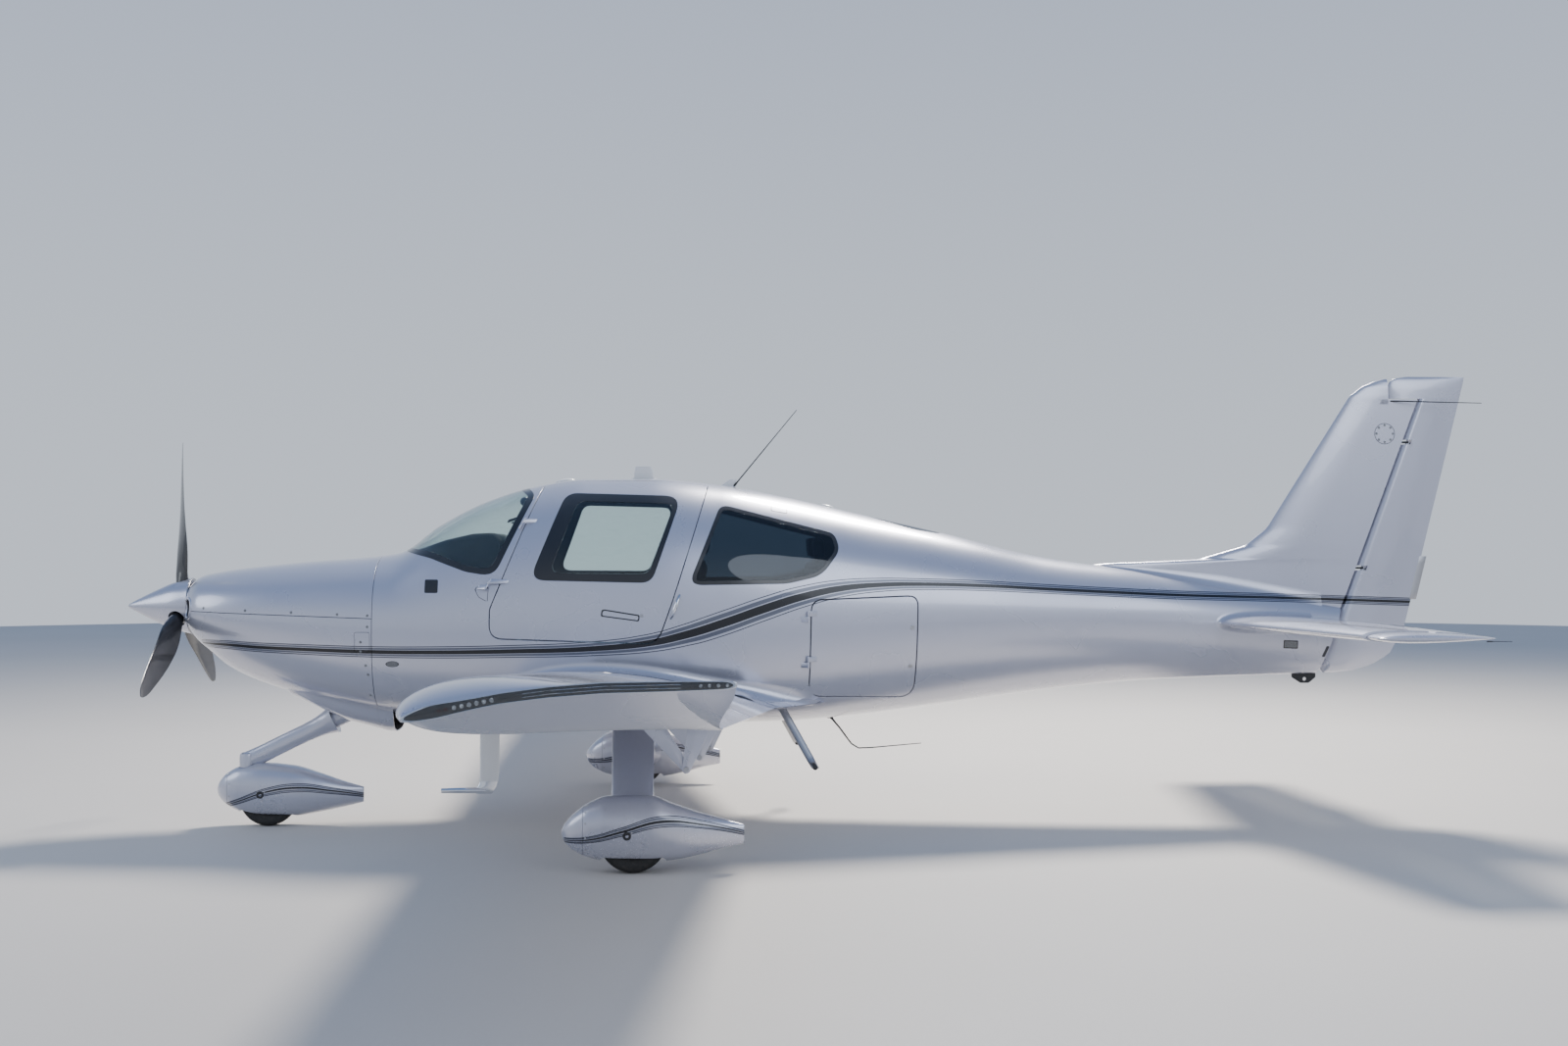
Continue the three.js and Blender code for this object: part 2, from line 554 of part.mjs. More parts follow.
// Spinner profile: station, radius
const SPINNER = [[0, 0], [4, 8], [24, 21], [80, 51], [170, 96], [270, 138], [362, 162]];
const spinnerOuter = SPINNER.map(([x, r]) => new THREE.Vector2(r, x));
const spinnerInner = SPINNER.slice(3).reverse().map(([x, r]) => new THREE.Vector2(Math.max(r - 7, 0), x + 5));
spinnerInner[0].y = 362;
const spinnerProfile = [...spinnerOuter, ...spinnerInner, new THREE.Vector2(0, 12)];
const alongX = geometry => geometry.rotateZ(-Math.PI / 2);
const spinnerShell = solid(alongX(new THREE.LatheGeometry(spinnerProfile, 18)).translate(0, 0, THRUST_Z));
const BLADE_ANGLES = [0, 1, 2].map(i => i * 2 * Math.PI / 3);
const aroundShaft = (body, angle) => body.translate([0, 0, -THRUST_Z]).rotate([THREE.MathUtils.radToDeg(angle), 0, 0])
  .translate([0, 0, THRUST_Z]);
const BLADE_X = PROP_X - 40;
const bladeHole = bar(point(BLADE_X, 0, THRUST_Z + 90), point(BLADE_X, 0, THRUST_Z + 200), 50, 12);
// Blade sections: radius, chord, thickness, pitch angle in degrees
const BLADE = [[60, 74, 74, 58], [150, 84, 60, 53], [230, 110, 34, 44], [316, 137, 26, 36], [409, 149, 20, 29],
  [600, 140, 13, 20], [754, 112, 9, 17], [869, 82, 6, 15], [915, 52, 5, 14], [PROP_R, 16, 4, 14]];
const blade = loft(BLADE.map(([radius, chord, thickness, pitch]) => Array.from({ length: 10 }, (_, i) => {
  const angle = (i / 10) * 2 * Math.PI;
  const turn = THREE.MathUtils.degToRad(-pitch);
  const [a, b] = [Math.cos(angle) * chord / 2, Math.sin(angle) * thickness / 2];
  return point(BLADE_X + a * Math.sin(turn) + b * Math.cos(turn), a * Math.cos(turn) - b * Math.sin(turn),
    THRUST_Z + radius);
})));
add('spinner', cut(spinnerShell, ...BLADE_ANGLES.map(angle => aroundShaft(bladeHole, angle))), PAINT);
const hub = join(bar(point(PROP_X - 104, 0, THRUST_Z), point(401.6, 0, THRUST_Z), 66, 16),
  bar(point(362.4, 0, THRUST_Z), point(368, 0, THRUST_Z), 160, 20));
add('propeller', join(hub, ...BLADE_ANGLES.map(angle => aroundShaft(blade, angle))), GRAPHITE);

// Wings
const SECTION = [0, 0.015, 0.07, 0.2, 0.42, 0.7, 1];
const halfThickness = c => 5 * (0.2969 * Math.sqrt(c) - 0.126 * c - 0.3516 * c ** 2 + 0.2843 * c ** 3 - 0.1015 * c ** 4);
const TIP_START = 5500;
const TIP_X = [2352, 3238];

// Point on the wing: span y, chord fraction, upper (+1) or lower (-1) face
function wingPoint(y, c, face) {
  const row = [1, 2, 3, 4, 5, 6].map(i => column(WING, y, i));
  const share = THREE.MathUtils.clamp((y - TIP_START) / (HALF_SPAN - 8 - TIP_START), 0, 1);
  const [lead, trail] = share ? [0, 1].map(i => mix(row[i], TIP_X[i], share ** 3)) : row;
  const chord = trail - lead;
  const middle = mix(row[2], row[3], c) + 4 * row[5] * c * (1 - c) * chord;
  const z = middle + face * halfThickness(c) * row[4] * chord;
  const edge = column(TIP_EDGE, c, 1) + face * (3 + 10 * Math.sqrt(c * (1 - c)));
  const turn = share ? 1 - Math.sqrt(1 - share ** 2) : 0;
  return point(lead + c * chord, y, mix(z, edge, face > 0 ? turn : share ** 1.6));
}

function wingRing(y, side) {
  const upper = SECTION.map(c => wingPoint(y, c, 1));
  const lower = SECTION.slice(1).reverse().map(c => wingPoint(y, c, -1));
  return [...upper, ...lower].map(p => point(p.x, side * p.y, p.z));
}

const WING_STATIONS = [400, 520, 600, 700, TIP_START, 5670, 5780, HALF_SPAN - 8];
const wholeWing = side => loft(WING_STATIONS.map(y => wingRing(y, side)));

// Nose axis of a control surface at span y, with its radius
function noseAxis(y, hinge) {
  const [top, bottom] = [wingPoint(y, hinge, 1), wingPoint(y, hinge, -1)];
  return { x: top.x, z: (top.z + bottom.z) / 2, r: (top.z - bottom.z) / 2 };
}

// Steps around a control surface's nose, and its section's shares aft of the hinge
const NOSE_ARC = 5;
const AFT = [0.35, 0.7, 1];
function surfaceRing(y, side, { hinge }) {
  const { x, z, r } = noseAxis(y, hinge);
  const behind = AFT.map(t => mix(hinge, 1, t));
  const nose = Array.from({ length: NOSE_ARC + 1 }, (_, i) => {
    const angle = Math.PI / 2 + (i / NOSE_ARC) * Math.PI;
    return point(x + r * Math.cos(angle), y, z + r * Math.sin(angle));
  });
  const ring = [...behind.map(c => wingPoint(y, c, 1)).reverse(), ...nose, ...behind.map(c => wingPoint(y, c, -1))];
  return ring.map(p => point(p.x, side * p.y, p.z));
}

const surface = (side, spec) => loft([spec.from, spec.to].map(y => surfaceRing(y, side, spec)));

function bay(side, { hinge, from, to, ends }) {
  const rows = [from - ends[0], to + ends[1]].map(y => {
    const { x, r } = noseAxis(y, hinge);
    const front = x - r - BAY_GAP;
    return [[front, 500], [front, 1500], [4200, 1500], [4200, 500]].map(([a, b]) => point(a, side * y, b));
  });
  return loft(rows);
}

// Flap hinge line below the wing and a bracket plate that reaches it
function flapAxis(y, side) {
  const { x, z, r } = noseAxis(y, FLAP.hinge);
  return point(x + 30, side * y, z - r - FLAP_AXIS_DROP);
}
const flapRun = side => flapAxis(FLAP.to, side).sub(flapAxis(FLAP.from, side)).normalize();
const PLATE = 12;
const PLATE_GAP = 8;
const LUG_R = 17;
const PIN_R = 8;

function flapBracket(y, side, moving) {
  const axis = flapAxis(y, side);
  const { x, z, r } = noseAxis(y, FLAP.hinge);
  const root = moving ? [[x + 40, z], [x + 150, z]] : [[x - r - 130, z], [x - r - 20, z]];
  const lower = [[axis.x + (moving ? LUG_R : LUG_R * 0.6), axis.z - (moving ? 4 : 16)],
    [axis.x - (moving ? LUG_R * 0.6 : LUG_R), axis.z - (moving ? 16 : 4)]];
  const offset = side * (moving ? PLATE_GAP / 2 : -(PLATE_GAP / 2 + PLATE));
  const y0 = side * y + offset;
  const [low, high] = side < 0 ? [y0 - PLATE, y0] : [y0, y0 + PLATE];
  return join(sidePrism(corners([...root, ...lower]), low, high), bar(point(axis.x, low, axis.z), point(axis.x, high, axis.z), LUG_R));
}

function flapPin(y, side, shape, reach) {
  const run = flapRun(side);
  const axis = flapAxis(y, side);
  const near = axis.clone().addScaledVector(run, PLATE_GAP / 2 + PLATE - 1);
  const far = axis.clone().addScaledVector(run, -(PLATE_GAP / 2 + PLATE + reach));
  return shape(far, near, PIN_R);
}

// Aileron end pins that turn in the bay walls, or their bores
function aileronPins(side, shape) {
  const ends = [[AILERON.from, -1], [AILERON.to, 1]].map(([y, out]) => {
    const at = noseAxis(y, AILERON.hinge);
    return { at: point(at.x, side * y, at.z), out };
  });
  const run = ends[1].at.clone().sub(ends[0].at).normalize();
  return ends.map(({ at, out }) => shape(at.clone().addScaledVector(run, -12 * out),
    at.clone().addScaledVector(run, out * (AILERON.ends[0] + 11)), 7));
}

const fullHull = hull([CABIN_FRONT, ...CABIN_STATIONS, CABIN_END], -SEAT_GAP);
for (const [name, side] of SIDES) {
  const bays = [FLAP, AILERON].map(spec => bay(side, spec));
  const wing = cut(wholeWing(side), fullHull, ...bays, ...aileronPins(side, bore));
  const brackets = FLAP_BRACKETS.map(y => cut(flapBracket(y, side, false), flapPin(y, side, bore, 4)));
  add(`wing_${name}`, join(wing, ...brackets), PAINT);
  add(`aileron_${name}`, join(surface(side, AILERON), ...aileronPins(side, bar)), PAINT);
  const flapArms = FLAP_BRACKETS.flatMap(y => [flapBracket(y, side, true), flapPin(y, side, bar, 2)]);
  add(`flap_${name}`, join(surface(side, FLAP), ...flapArms), PAINT);
  const strip = TIP_EDGE.map(([c, z]) => {
    const x = mix(TIP_X[0], TIP_X[1], c);
    const tall = 7 + 14 * Math.sqrt(Math.max(c * (1 - c), 0.01));
    const edge = [[0, tall], [5, tall * 0.8], [8, 0], [5, -tall * 0.8], [0, -tall]];
    return edge.map(([out, up]) => point(x, side * (HALF_SPAN - 8 + SEAT_GAP + out * 0.96), z + up));
  });
  add(`tip_light_${name}`, loft(strip), SMOKED);
}

// Tail cone, fin and rudder
const rudderAxisX = z => 7370 + 0.372 * (z - 1716);
const HORN_X = 7441;
const HORN_Z = 2503;
const TAIL_STATIONS = [5300, 5900, 6500, 7150];
const tailOuter = hull([CABIN_END + SEAT_GAP, ...TAIL_STATIONS], 0);
const tailInner = hull([CABIN_END - 5, 5300, 5900, 6250], TAIL_SKIN);

// Everything aft of the rudder's nose
const rudderSpace = loft([[600, 66], [1111, 66], [1336, 54], [1959, 46], [2800, 36]].map(([z, reach]) => {
  const front = rudderAxisX(z) - reach;
  return [[front, -400], [front, 400], [9000, 400], [9000, -400]].map(([x, y]) => point(x, y, z));
}));

function finRing(z) {
  const lead = column(FIN, z, 1);
  const half = column(FIN, z, 2);
  const trail = rudderAxisX(z) + 20;
  const shares = [0, 0.03, 0.12, 0.3, 0.6, 1];
  const bulge = c => Math.min(1, Math.sqrt(c * 4.2)) * (1 - 0.12 * c);
  const side = sign => shares.map(c => point(mix(lead, trail, c), sign * half * bulge(c), z));
  return [...side(1), ...side(-1).slice(1).reverse()];
}
const finBlank = loft(FIN.map(([z]) => finRing(z)));

// Tail plane section at span y between the leading edge and the elevator's trailing edge
function tailPoint(y, c, face) {
  const span = Math.min(y, TAIL_TIP);
  const [lead, trail] = [1, 2].map(i => column(TAILPLANE, span, i));
  const chord = trail - lead;
  const z = TAIL_Z + face * halfThickness(c) * TAIL_THICKNESS * chord;
  return point(lead + c * chord, y, z);
}
function tailRing(y, side, grow) {
  const upper = SECTION.map(c => tailPoint(y, c, 1).add(point(0, 0, grow)));
  const lower = SECTION.slice(1).reverse().map(c => tailPoint(y, c, -1).sub(point(0, 0, grow)));
  return [...upper, ...lower].map(p => point(p.x, side * p.y, p.z));
}
const tailShape = grow => loft([[1800, -1], [200, -1], [0, 1], [200, 1], [1800, 1]].map(([y, side]) =>
  tailRing(y, side, grow)));
const hingeX = y => mix(ELEVATOR_HINGE[0], ELEVATOR_HINGE[1], y / 1800);
function hingeShare(y) {
  const [lead, trail] = [1, 2].map(i => column(TAILPLANE, y, i));
  return (hingeX(y) - lead) / (trail - lead);
}
const ELEVATOR_ROOT = 138;
const ELEVATOR_GAP = 7;
function elevatorRing(y, side) {
  const share = hingeShare(y);
  const [top, bottom] = [tailPoint(y, share, 1), tailPoint(y, share, -1)];
  const r = (top.z - bottom.z) / 2;
  const behind = AFT.map(t => mix(share, 1, t));
  const nose = Array.from({ length: NOSE_ARC + 1 }, (_, i) => {
    const angle = Math.PI / 2 + (i / NOSE_ARC) * Math.PI;
    return point(top.x + r * Math.cos(angle), y, TAIL_Z + r * Math.sin(angle));
  });
  return [...behind.map(c => tailPoint(y, c, 1)).reverse(), ...nose, ...behind.map(c => tailPoint(y, c, -1))]
    .map(p => point(p.x, side * p.y, p.z));
}
// Elevator horn rows: span y, front and back station, half height
const HORN = [[1800, 6586, 7190, 27], [1900, 6588, 7188, 26], [1945, 6596, 7184, 18], [TAIL_TIP, 6612, 7176, 6]];
const horn = side => loft(HORN.map(([y, front, back, half]) => Array.from({ length: 12 }, (_, i) => {
  const angle = (i / 12) * 2 * Math.PI;
  const c = (1 - Math.cos(angle)) / 2;
  return point(mix(front, back, c), side * y, TAIL_Z - 4 + half * Math.sin(angle) * (1.25 - 0.75 * c));
})));
const TUBE_R = 15;
const torqueTube = shape => shape(point(hingeX(0), -ELEVATOR_ROOT - 20, TAIL_Z),
  point(hingeX(0), ELEVATOR_ROOT + 20, TAIL_Z), TUBE_R);
const elevatorHalf = side => join(loft([ELEVATOR_ROOT, 1801].map(y => elevatorRing(y, side))), horn(side));
add('elevator', join(elevatorHalf(-1), elevatorHalf(1), torqueTube(bar)), PAINT);

const elevatorSpace = loft([[-1900, 1900], [0, 0], [1900, 1900]].map(([y, span]) => {
  const front = hingeX(Math.min(span, 1800)) - 36 - ELEVATOR_GAP;
  return [[front, 900], [front, 1400], [8000, 1400], [8000, 900]].map(([x, z]) => point(x, y, z));
}));
const hornSpace = [[-2100, -1793], [1793, 2100]].map(([y0, y1]) => box(6000, 8000, y0, y1, 900, 1400));
add('stabiliser', cut(tailShape(0), elevatorSpace, ...hornSpace), PAINT);

const grownTail = tailShape(SEAT_GAP);
const tailSlot = cut(join(grownTail, grownTail.translate([-2 * SEAT_GAP, 0, 0])),
  elevatorSpace.translate([2, 0, 0]));
add('tail_cone', cut(tailOuter, tailInner, rudderSpace, tailSlot, torqueTube(bore)), PAINT);

// Rudder hinge brackets on the fin, and notches with pins in the rudder
const RUDDER_HINGES = [1480, 2240];
const rudderAxis = z => point(rudderAxisX(z), 0, z);
const rudderPin = (z, shape, half) => shape(rudderAxis(z - half), rudderAxis(z + half), 6);
const finPlates = RUDDER_HINGES.map(z => cut(box(rudderAxisX(z) - 90, rudderAxisX(z) + 13, -12, 12, z - 7, z + 7),
  rudderPin(z, bore, 20)));
const hornNotch = sidePrism(corners([[HORN_X - 8, HORN_Z - 6], [HORN_X - 8, 2800], [8000, 2800], [8000, HORN_Z - 6]]),
  -100, 100);
const fin = cut(finBlank, hull([5200, ...TAIL_STATIONS, 7300], -SEAT_GAP), rudderSpace, hornNotch);
add('fin', join(fin, ...finPlates), PAINT);

function rudderRing(z) {
  const [trail, half] = [1, 2].map(i => column(RUDDER, z, i));
  const x = rudderAxisX(z);
  const behind = [[0.35, 0.82], [0.75, 0.34], [1, 0.06]];
  const nose = Array.from({ length: NOSE_ARC + 1 }, (_, i) => {
    const angle = Math.PI / 2 + (i / NOSE_ARC) * Math.PI;
    return point(x + half * Math.cos(angle), half * Math.sin(angle), z);
  });
  const side = sign => behind.map(([c, share]) => point(mix(x, trail, c), sign * half * share, z));
  return [...side(1).reverse(), ...nose, ...side(-1)];
}
// Horn balance rows: z, front and back station, half thickness
const RUDDER_HORN = [[HORN_Z, 7452, 7893, 26], [2560, 7446, 7907, 24], [2598, 7455, 7917, 19],
  [2626, 7490, 7922, 11], [2637, 7560, LENGTH, 4]];
const rudderHorn = loft(RUDDER_HORN.map(([z, front, back, half]) => Array.from({ length: 14 }, (_, i) => {
  const angle = (i / 14) * 2 * Math.PI;
  const c = (1 - Math.cos(angle)) / 2;
  return point(mix(front, back, c), half * Math.sin(angle) * (1.2 - 0.7 * c), z);
})));
const hingeNotches = RUDDER_HINGES.map(z => box(rudderAxisX(z) - 90, rudderAxisX(z) + 20, -90, 90, z - 14, z + 14));
const rudderPins = RUDDER_HINGES.map(z => rudderPin(z, bar, 18));
add('rudder', join(cut(join(loft(RUDDER.map(([z]) => rudderRing(z))), rudderHorn), ...hingeNotches), ...rudderPins),
  PAINT);

const tieEdge = corners([[6846, 852], [6992, 852], [6992, 822], [6950, 788], [6900, 788], [6846, 822]]);
const tiePlate = cut(sidePrism(tieEdge, -5, 5), bar(point(6924, -20, 812), point(6924, 20, 812), 11),
  tailOuter.translate([0, 0, -SEAT_GAP]));
add('tail_tie_down', tiePlate, STEEL);

// Nose leg, fork, pant and wheel
function noseLegTube(tall, wide) {
  const path = [[640, 352], [760, 407], [1210, 626], [FIREWALL_X - SEAT_GAP, 750]];
  return loft(path.map(([x, z]) => Array.from({ length: 12 }, (_, i) => {
    const angle = (i / 12) * 2 * Math.PI;
    return point(x, wide * Math.cos(angle), z + tall * 1.1 * Math.sin(angle));
  })));
}
const STUB_R = 44;
const CROWN_Z = 317;
const stub = bar(point(PIVOT_X, 0, CROWN_Z + 19), point(PIVOT_X, 0, 430), STUB_R, 16);
const legSolid = join(cut(noseLegTube(52, 32), box(400, 1500, -200, 200, 0, 374)), stub);
const PIVOT_PIN = 15;
const pivotPin = shape => shape(point(PIVOT_X, 0, CROWN_Z), point(PIVOT_X, 0, 404.5), PIVOT_PIN);
add('nose_leg', cut(legSolid, pivotPin(bore)), PAINT);

const armEdge = corners([[648, 272], [648, 300], [700, 300], [735, 288], [822, NOSE_R], [800, NOSE_R - 20],
  [778, NOSE_R], [690, 272]]);
const forkArms = [[-66, -58], [58, 66]].map(([y0, y1]) => sidePrism(armEdge, y0, y1));
// Crown across the top of the fork: y and z of its front view
const CROWN = [[-66, 272], [-58, 272], [-58, 290], [-38, 312], [38, 312], [58, 290], [58, 272], [66, 272], [66, 291],
  [40, 328], [-40, 328], [-66, 291]];
const crown = solid(new THREE.ExtrudeGeometry(new THREE.Shape(corners(CROWN)), { depth: 54, bevelEnabled: false })
  .applyMatrix4(new THREE.Matrix4().makeBasis(point(0, 1, 0), point(0, 0, 1), point(1, 0, 0))).translate(648, 0, 0));
const noseAxle = (shape, reach) => shape(point(NOSE_X, -reach, NOSE_R), point(NOSE_X, reach, NOSE_R), AXLE_R);
add('nose_fork', join(crown, pivotPin(bar), ...forkArms, noseAxle(bar, 105)), STEEL);

function pantLoft(table, wall, y) {
  const rows = wall ? table.slice(1, -1) : table;
  return loft(rows.map(([x, top, bottom, half]) => Array.from({ length: 12 }, (_, i) => {
    const angle = (i / 12) * 2 * Math.PI;
    const [up, out] = [Math.cos(angle), Math.sin(angle)];
    const middle = (top + bottom) / 2;
    return point(x, y + (half - wall) * Math.sign(out) * Math.abs(out) ** 0.8,
      middle + ((top - bottom) / 2 - wall) * Math.sign(up) * Math.abs(up) ** 0.8);
  })));
}
const WALL = 8;
const tyreSlot = (x, y) => box(x - 163, x + 163, y - 76, y + 76, 20, 108);
const nosePant = cut(pantLoft(NOSE_PANT, 0, 0), pantLoft(NOSE_PANT, WALL, 0), tyreSlot(NOSE_X, 0),
  bar(point(PIVOT_X, 0, 300), point(PIVOT_X, 0, 400), STUB_R + 9, 16), noseAxle(bore, 130));
add('nose_pant', nosePant, PAINT);

// Wheels stand on a flat of their tread. Profile: radius, half width along the axle
const WHEEL_SIDES = 18;
const tyreProfile = (outer, half) => [[AXLE_R + BEARING_GAP, half * 0.72], [50, half * 0.72], [62, half * 0.55],
  [80, half * 0.8], [outer * 0.74, half], [outer * 0.92, half * 0.82], [outer, half * 0.4]];
function wheel(x, y, radius, half) {
  const edge = tyreProfile(radius, half);
  const flat = Math.PI / WHEEL_SIDES;
  const profile = [...edge, ...edge.slice().reverse().map(([r, h]) => [r, -h]), edge[0]]
    .map(([r, h]) => new THREE.Vector2(r / Math.cos(flat), h));
  return solid(new THREE.LatheGeometry(profile, WHEEL_SIDES).rotateY(flat)).translate([x, y, radius]);
}
add('nose_wheel', wheel(NOSE_X, 0, NOSE_R, 52), TYRE);

// Main legs, pants and wheels
const LEG = [[820, 790, 118, 24], [880, 700, 114, 23], [1180, 447, 108, 21], [1512, 172, 102, 18]];
for (const [name, side] of SIDES) {
  const blade = loft(LEG.map(([y, z, half, thick]) => Array.from({ length: 10 }, (_, i) => {
    const angle = (i / 10) * 2 * Math.PI;
    const across = thick * Math.sin(angle);
    return point(MAIN_X - 8 + half * Math.cos(angle), side * (y + 0.66 * across), z + 0.75 * across);
  })));
  const axle = bar(point(MAIN_X, side * 1500, MAIN_R), point(MAIN_X, side * 1728, MAIN_R), AXLE_R);
  const foot = bar(point(MAIN_X, side * 1494, MAIN_R), point(MAIN_X, side * 1528, MAIN_R), 34);
  const under = wholeWing(side).translate([0, 0, -SEAT_GAP]);
  const trimmed = cut(blade, under, box(2500, 3400, -3000, 3000, 800, 1200),
    box(2500, 3300, side < 0 ? -1700 : 1529, side < 0 ? -1529 : 1700, 0, 600));
  add(`main_leg_${name}`, join(trimmed, axle, foot), PAINT);
  const axleHole = bore(point(MAIN_X, side * 1500, MAIN_R), point(MAIN_X, side * 1600, MAIN_R), AXLE_R);
  const y = side * MAIN_Y;
  add(`main_pant_${name}`, cut(pantLoft(MAIN_PANT, 0, y), pantLoft(MAIN_PANT, WALL, y), tyreSlot(MAIN_X, y), axleHole),
    PAINT);
  add(`main_wheel_${name}`, wheel(MAIN_X, y, MAIN_R, 66), TYRE);
}

// Entry steps, antennas and pitot mast
for (const [name, side] of SIDES) {
  const top = point(3735, side * 430, 700);
  const knee = point(3905, side * 560, 392);
  const step = join(bar(top, knee, 11, 10), bar(knee.clone().add(point(-4, -side * 10, 0)),
    point(3905, side * 690, 388), 14, 10));
  add(`entry_step_${name}`, cut(step, fullHull, wholeWing(side).translate([0, 0, -SEAT_GAP])), STEEL);
}
const finEdge = corners([[2890, 1990], [3022, 1990], [3000, 2076], [2906, 2079]]);
add('roof_antenna', cut(sidePrism(finEdge, -6, 6), fullHull), PAINT);
add('whip_antenna', cut(bar(point(3440, 0, 1910), point(3857, 0, 2417), 7, 8, 3), fullHull), PAINT);
const mastEdge = corners([[2348, 1000], [2424, 1000], [2424, 700], [2400, 664], [2340, 660], [2336, 684], [2350, 700]]);
const PITOT_Y = -3600;
const mast = join(sidePrism(mastEdge, PITOT_Y - 7, PITOT_Y + 7),
  bar(point(2201, PITOT_Y, 672), point(2390, PITOT_Y, 672), 11));
add('pitot_mast', cut(mast, wholeWing(-1).translate([0, 0, -SEAT_GAP])), STEEL);

parts.position.x = -LENGTH / 2;
export default parts;
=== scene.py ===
"""Looks of a light aircraft with four seats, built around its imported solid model.

Sizes in the tables are millimetres: stations run aft from the spinner tip, starboard is +y and
the ground is z = 0. Meshes are made in metres, with the origin on the ground at mid-length.
"""

import sys

import logging
import math
from collections.abc import Callable, Iterable, Sequence
from dataclasses import dataclass
from enum import Enum

import bmesh
import bpy
import numpy as np
from mathutils import Euler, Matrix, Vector
from mathutils.bvhtree import BVHTree


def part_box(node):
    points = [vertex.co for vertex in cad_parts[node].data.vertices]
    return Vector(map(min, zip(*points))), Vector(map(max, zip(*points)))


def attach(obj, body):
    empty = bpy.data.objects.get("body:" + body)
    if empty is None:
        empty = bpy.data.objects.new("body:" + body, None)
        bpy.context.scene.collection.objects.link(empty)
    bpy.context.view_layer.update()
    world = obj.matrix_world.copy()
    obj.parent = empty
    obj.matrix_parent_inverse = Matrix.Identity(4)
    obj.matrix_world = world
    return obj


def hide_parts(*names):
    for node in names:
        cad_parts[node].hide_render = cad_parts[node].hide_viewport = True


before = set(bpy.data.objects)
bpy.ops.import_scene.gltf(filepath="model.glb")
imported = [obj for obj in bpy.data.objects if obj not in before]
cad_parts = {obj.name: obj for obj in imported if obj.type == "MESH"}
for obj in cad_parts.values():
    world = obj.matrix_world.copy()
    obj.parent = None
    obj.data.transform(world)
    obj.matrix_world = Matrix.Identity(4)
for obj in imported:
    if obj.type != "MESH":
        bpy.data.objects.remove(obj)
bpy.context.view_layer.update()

LOG = logging.getLogger("light_aircraft")

MID_STATION = 3961.5
THRUST_Z = 1268.0
COWL_END = 1464.7
CABIN_FRONT = 1465.0
CABIN_END = 4720.0
SKIN = 28.0
ROOF_STRIP = 170.0
TAIL_Z = 1158.0
SIDES = (("left", -1), ("right", 1))

Array = np.ndarray
Table = Sequence[Sequence[float]]

# Fuselage sections: station, crown z, keel z, half width, waist z, upper and lower exponents
HULL = (
    (375, 1427, 1096, 256, 1252, 2.0, 2.0),
    (470, 1453, 1020, 335, 1240, 2.1, 2.0),
    (600, 1476, 915, 392, 1225, 2.2, 2.1),
    (800, 1500, 822, 440, 1205, 2.3, 2.2),
    (1100, 1528, 735, 490, 1180, 2.4, 2.4),
    (1450, 1556, 662, 545, 1155, 2.5, 2.6),
    (1560, 1575, 648, 560, 1150, 2.45, 2.65),
    (1780, 1731, 625, 588, 1142, 2.3, 2.75),
    (2060, 1875, 604, 614, 1136, 2.3, 2.85),
    (2320, 1956, 594, 634, 1132, 2.35, 2.9),
    (2630, 2002, 589, 648, 1130, 2.4, 3.0),
    (3000, 2004, 587, 649, 1132, 2.4, 3.0),
    (3400, 1969, 588, 628, 1138, 2.35, 2.9),
    (3800, 1896, 594, 588, 1148, 2.3, 2.8),
    (4200, 1806, 624, 530, 1165, 2.25, 2.6),
    (4700, 1694, 684, 448, 1185, 2.2, 2.4),
    (5300, 1549, 757, 350, 1195, 2.15, 2.25),
    (5900, 1462, 812, 262, 1180, 2.1, 2.2),
    (6500, 1360, 835, 182, 1130, 2.1, 2.2),
    (7150, 1250, 848, 100, 1060, 2.1, 2.2),
)
# Exhaust chin under the cowl: station, keel z, half width
CHIN = ((880, 806, 150), (1000, 740, 215), (1135, 673, 255), (1286, 607, 270), (1382, 581, 276),
        (1502, 547, 280))
# Panel outlines in side view: station, z, corner radius
WINDSHIELD = ((1540, 1600, 0), (1768, 1546, 500), (1975, 1470, 250), (2135, 1444, 100), (2345, 1905, 50),
              (2239, 1990, 0), (2100, 2080, 0))
DOOR = ((2398, 1990, 0), (2110, 1262, 60), (2108, 1100, 120), (3036, 1068, 110), (3116, 1290, 200),
        (3338, 1990, 0))
DOOR_WINDOW = ((2330, 1424, 62), (3002, 1408, 85), (3172, 1896, 70), (2522, 1914, 90))
DOOR_GLASS = ((2438, 1462, 50), (2985, 1458, 62), (3132, 1852, 44), (2590, 1866, 62))
REAR_WINDOW = ((3206, 1395, 50), (3760, 1402, 400), (3955, 1446, 180), (4068, 1590, 110), (4040, 1686, 70),
               (3860, 1730, 300), (3392, 1850, 60))
BAGGAGE_DOOR = ((3892, 1312, 70), (3880, 760, 90), (4500, 742, 90), (4514, 1334, 60))
DOOR_HINGE = ((2094, 1364), (2303, 1760))
# Rear roof window in plan view: station, y, corner radius
ROOF_WINDOW = ((4215, 0, 0), (4330, 120, 200), (4520, 168, 160), (4690, 120, 90), (4704, -120, 90),
               (4520, -168, 160), (4330, -120, 200))


def linear(table: Table, key: Array | float, index: int) -> Array:
    """Straight-line value of a column, carried on past both ends.

    Args:
        table: Rows whose first column is the key.
        key: Keys to look up.
        index: Column wanted.

    Returns:
        The values, in the shape of the keys.
    """
    rows = np.asarray(table, float)
    keys = np.asarray(key, float)
    row = np.searchsorted(rows[1:-1, 0], keys)
    low, high = rows[row], rows[row + 1]
    share = (keys - low[..., 0]) / (high[..., 0] - low[..., 0])
    return low[..., index] + (high[..., index] - low[..., index]) * share


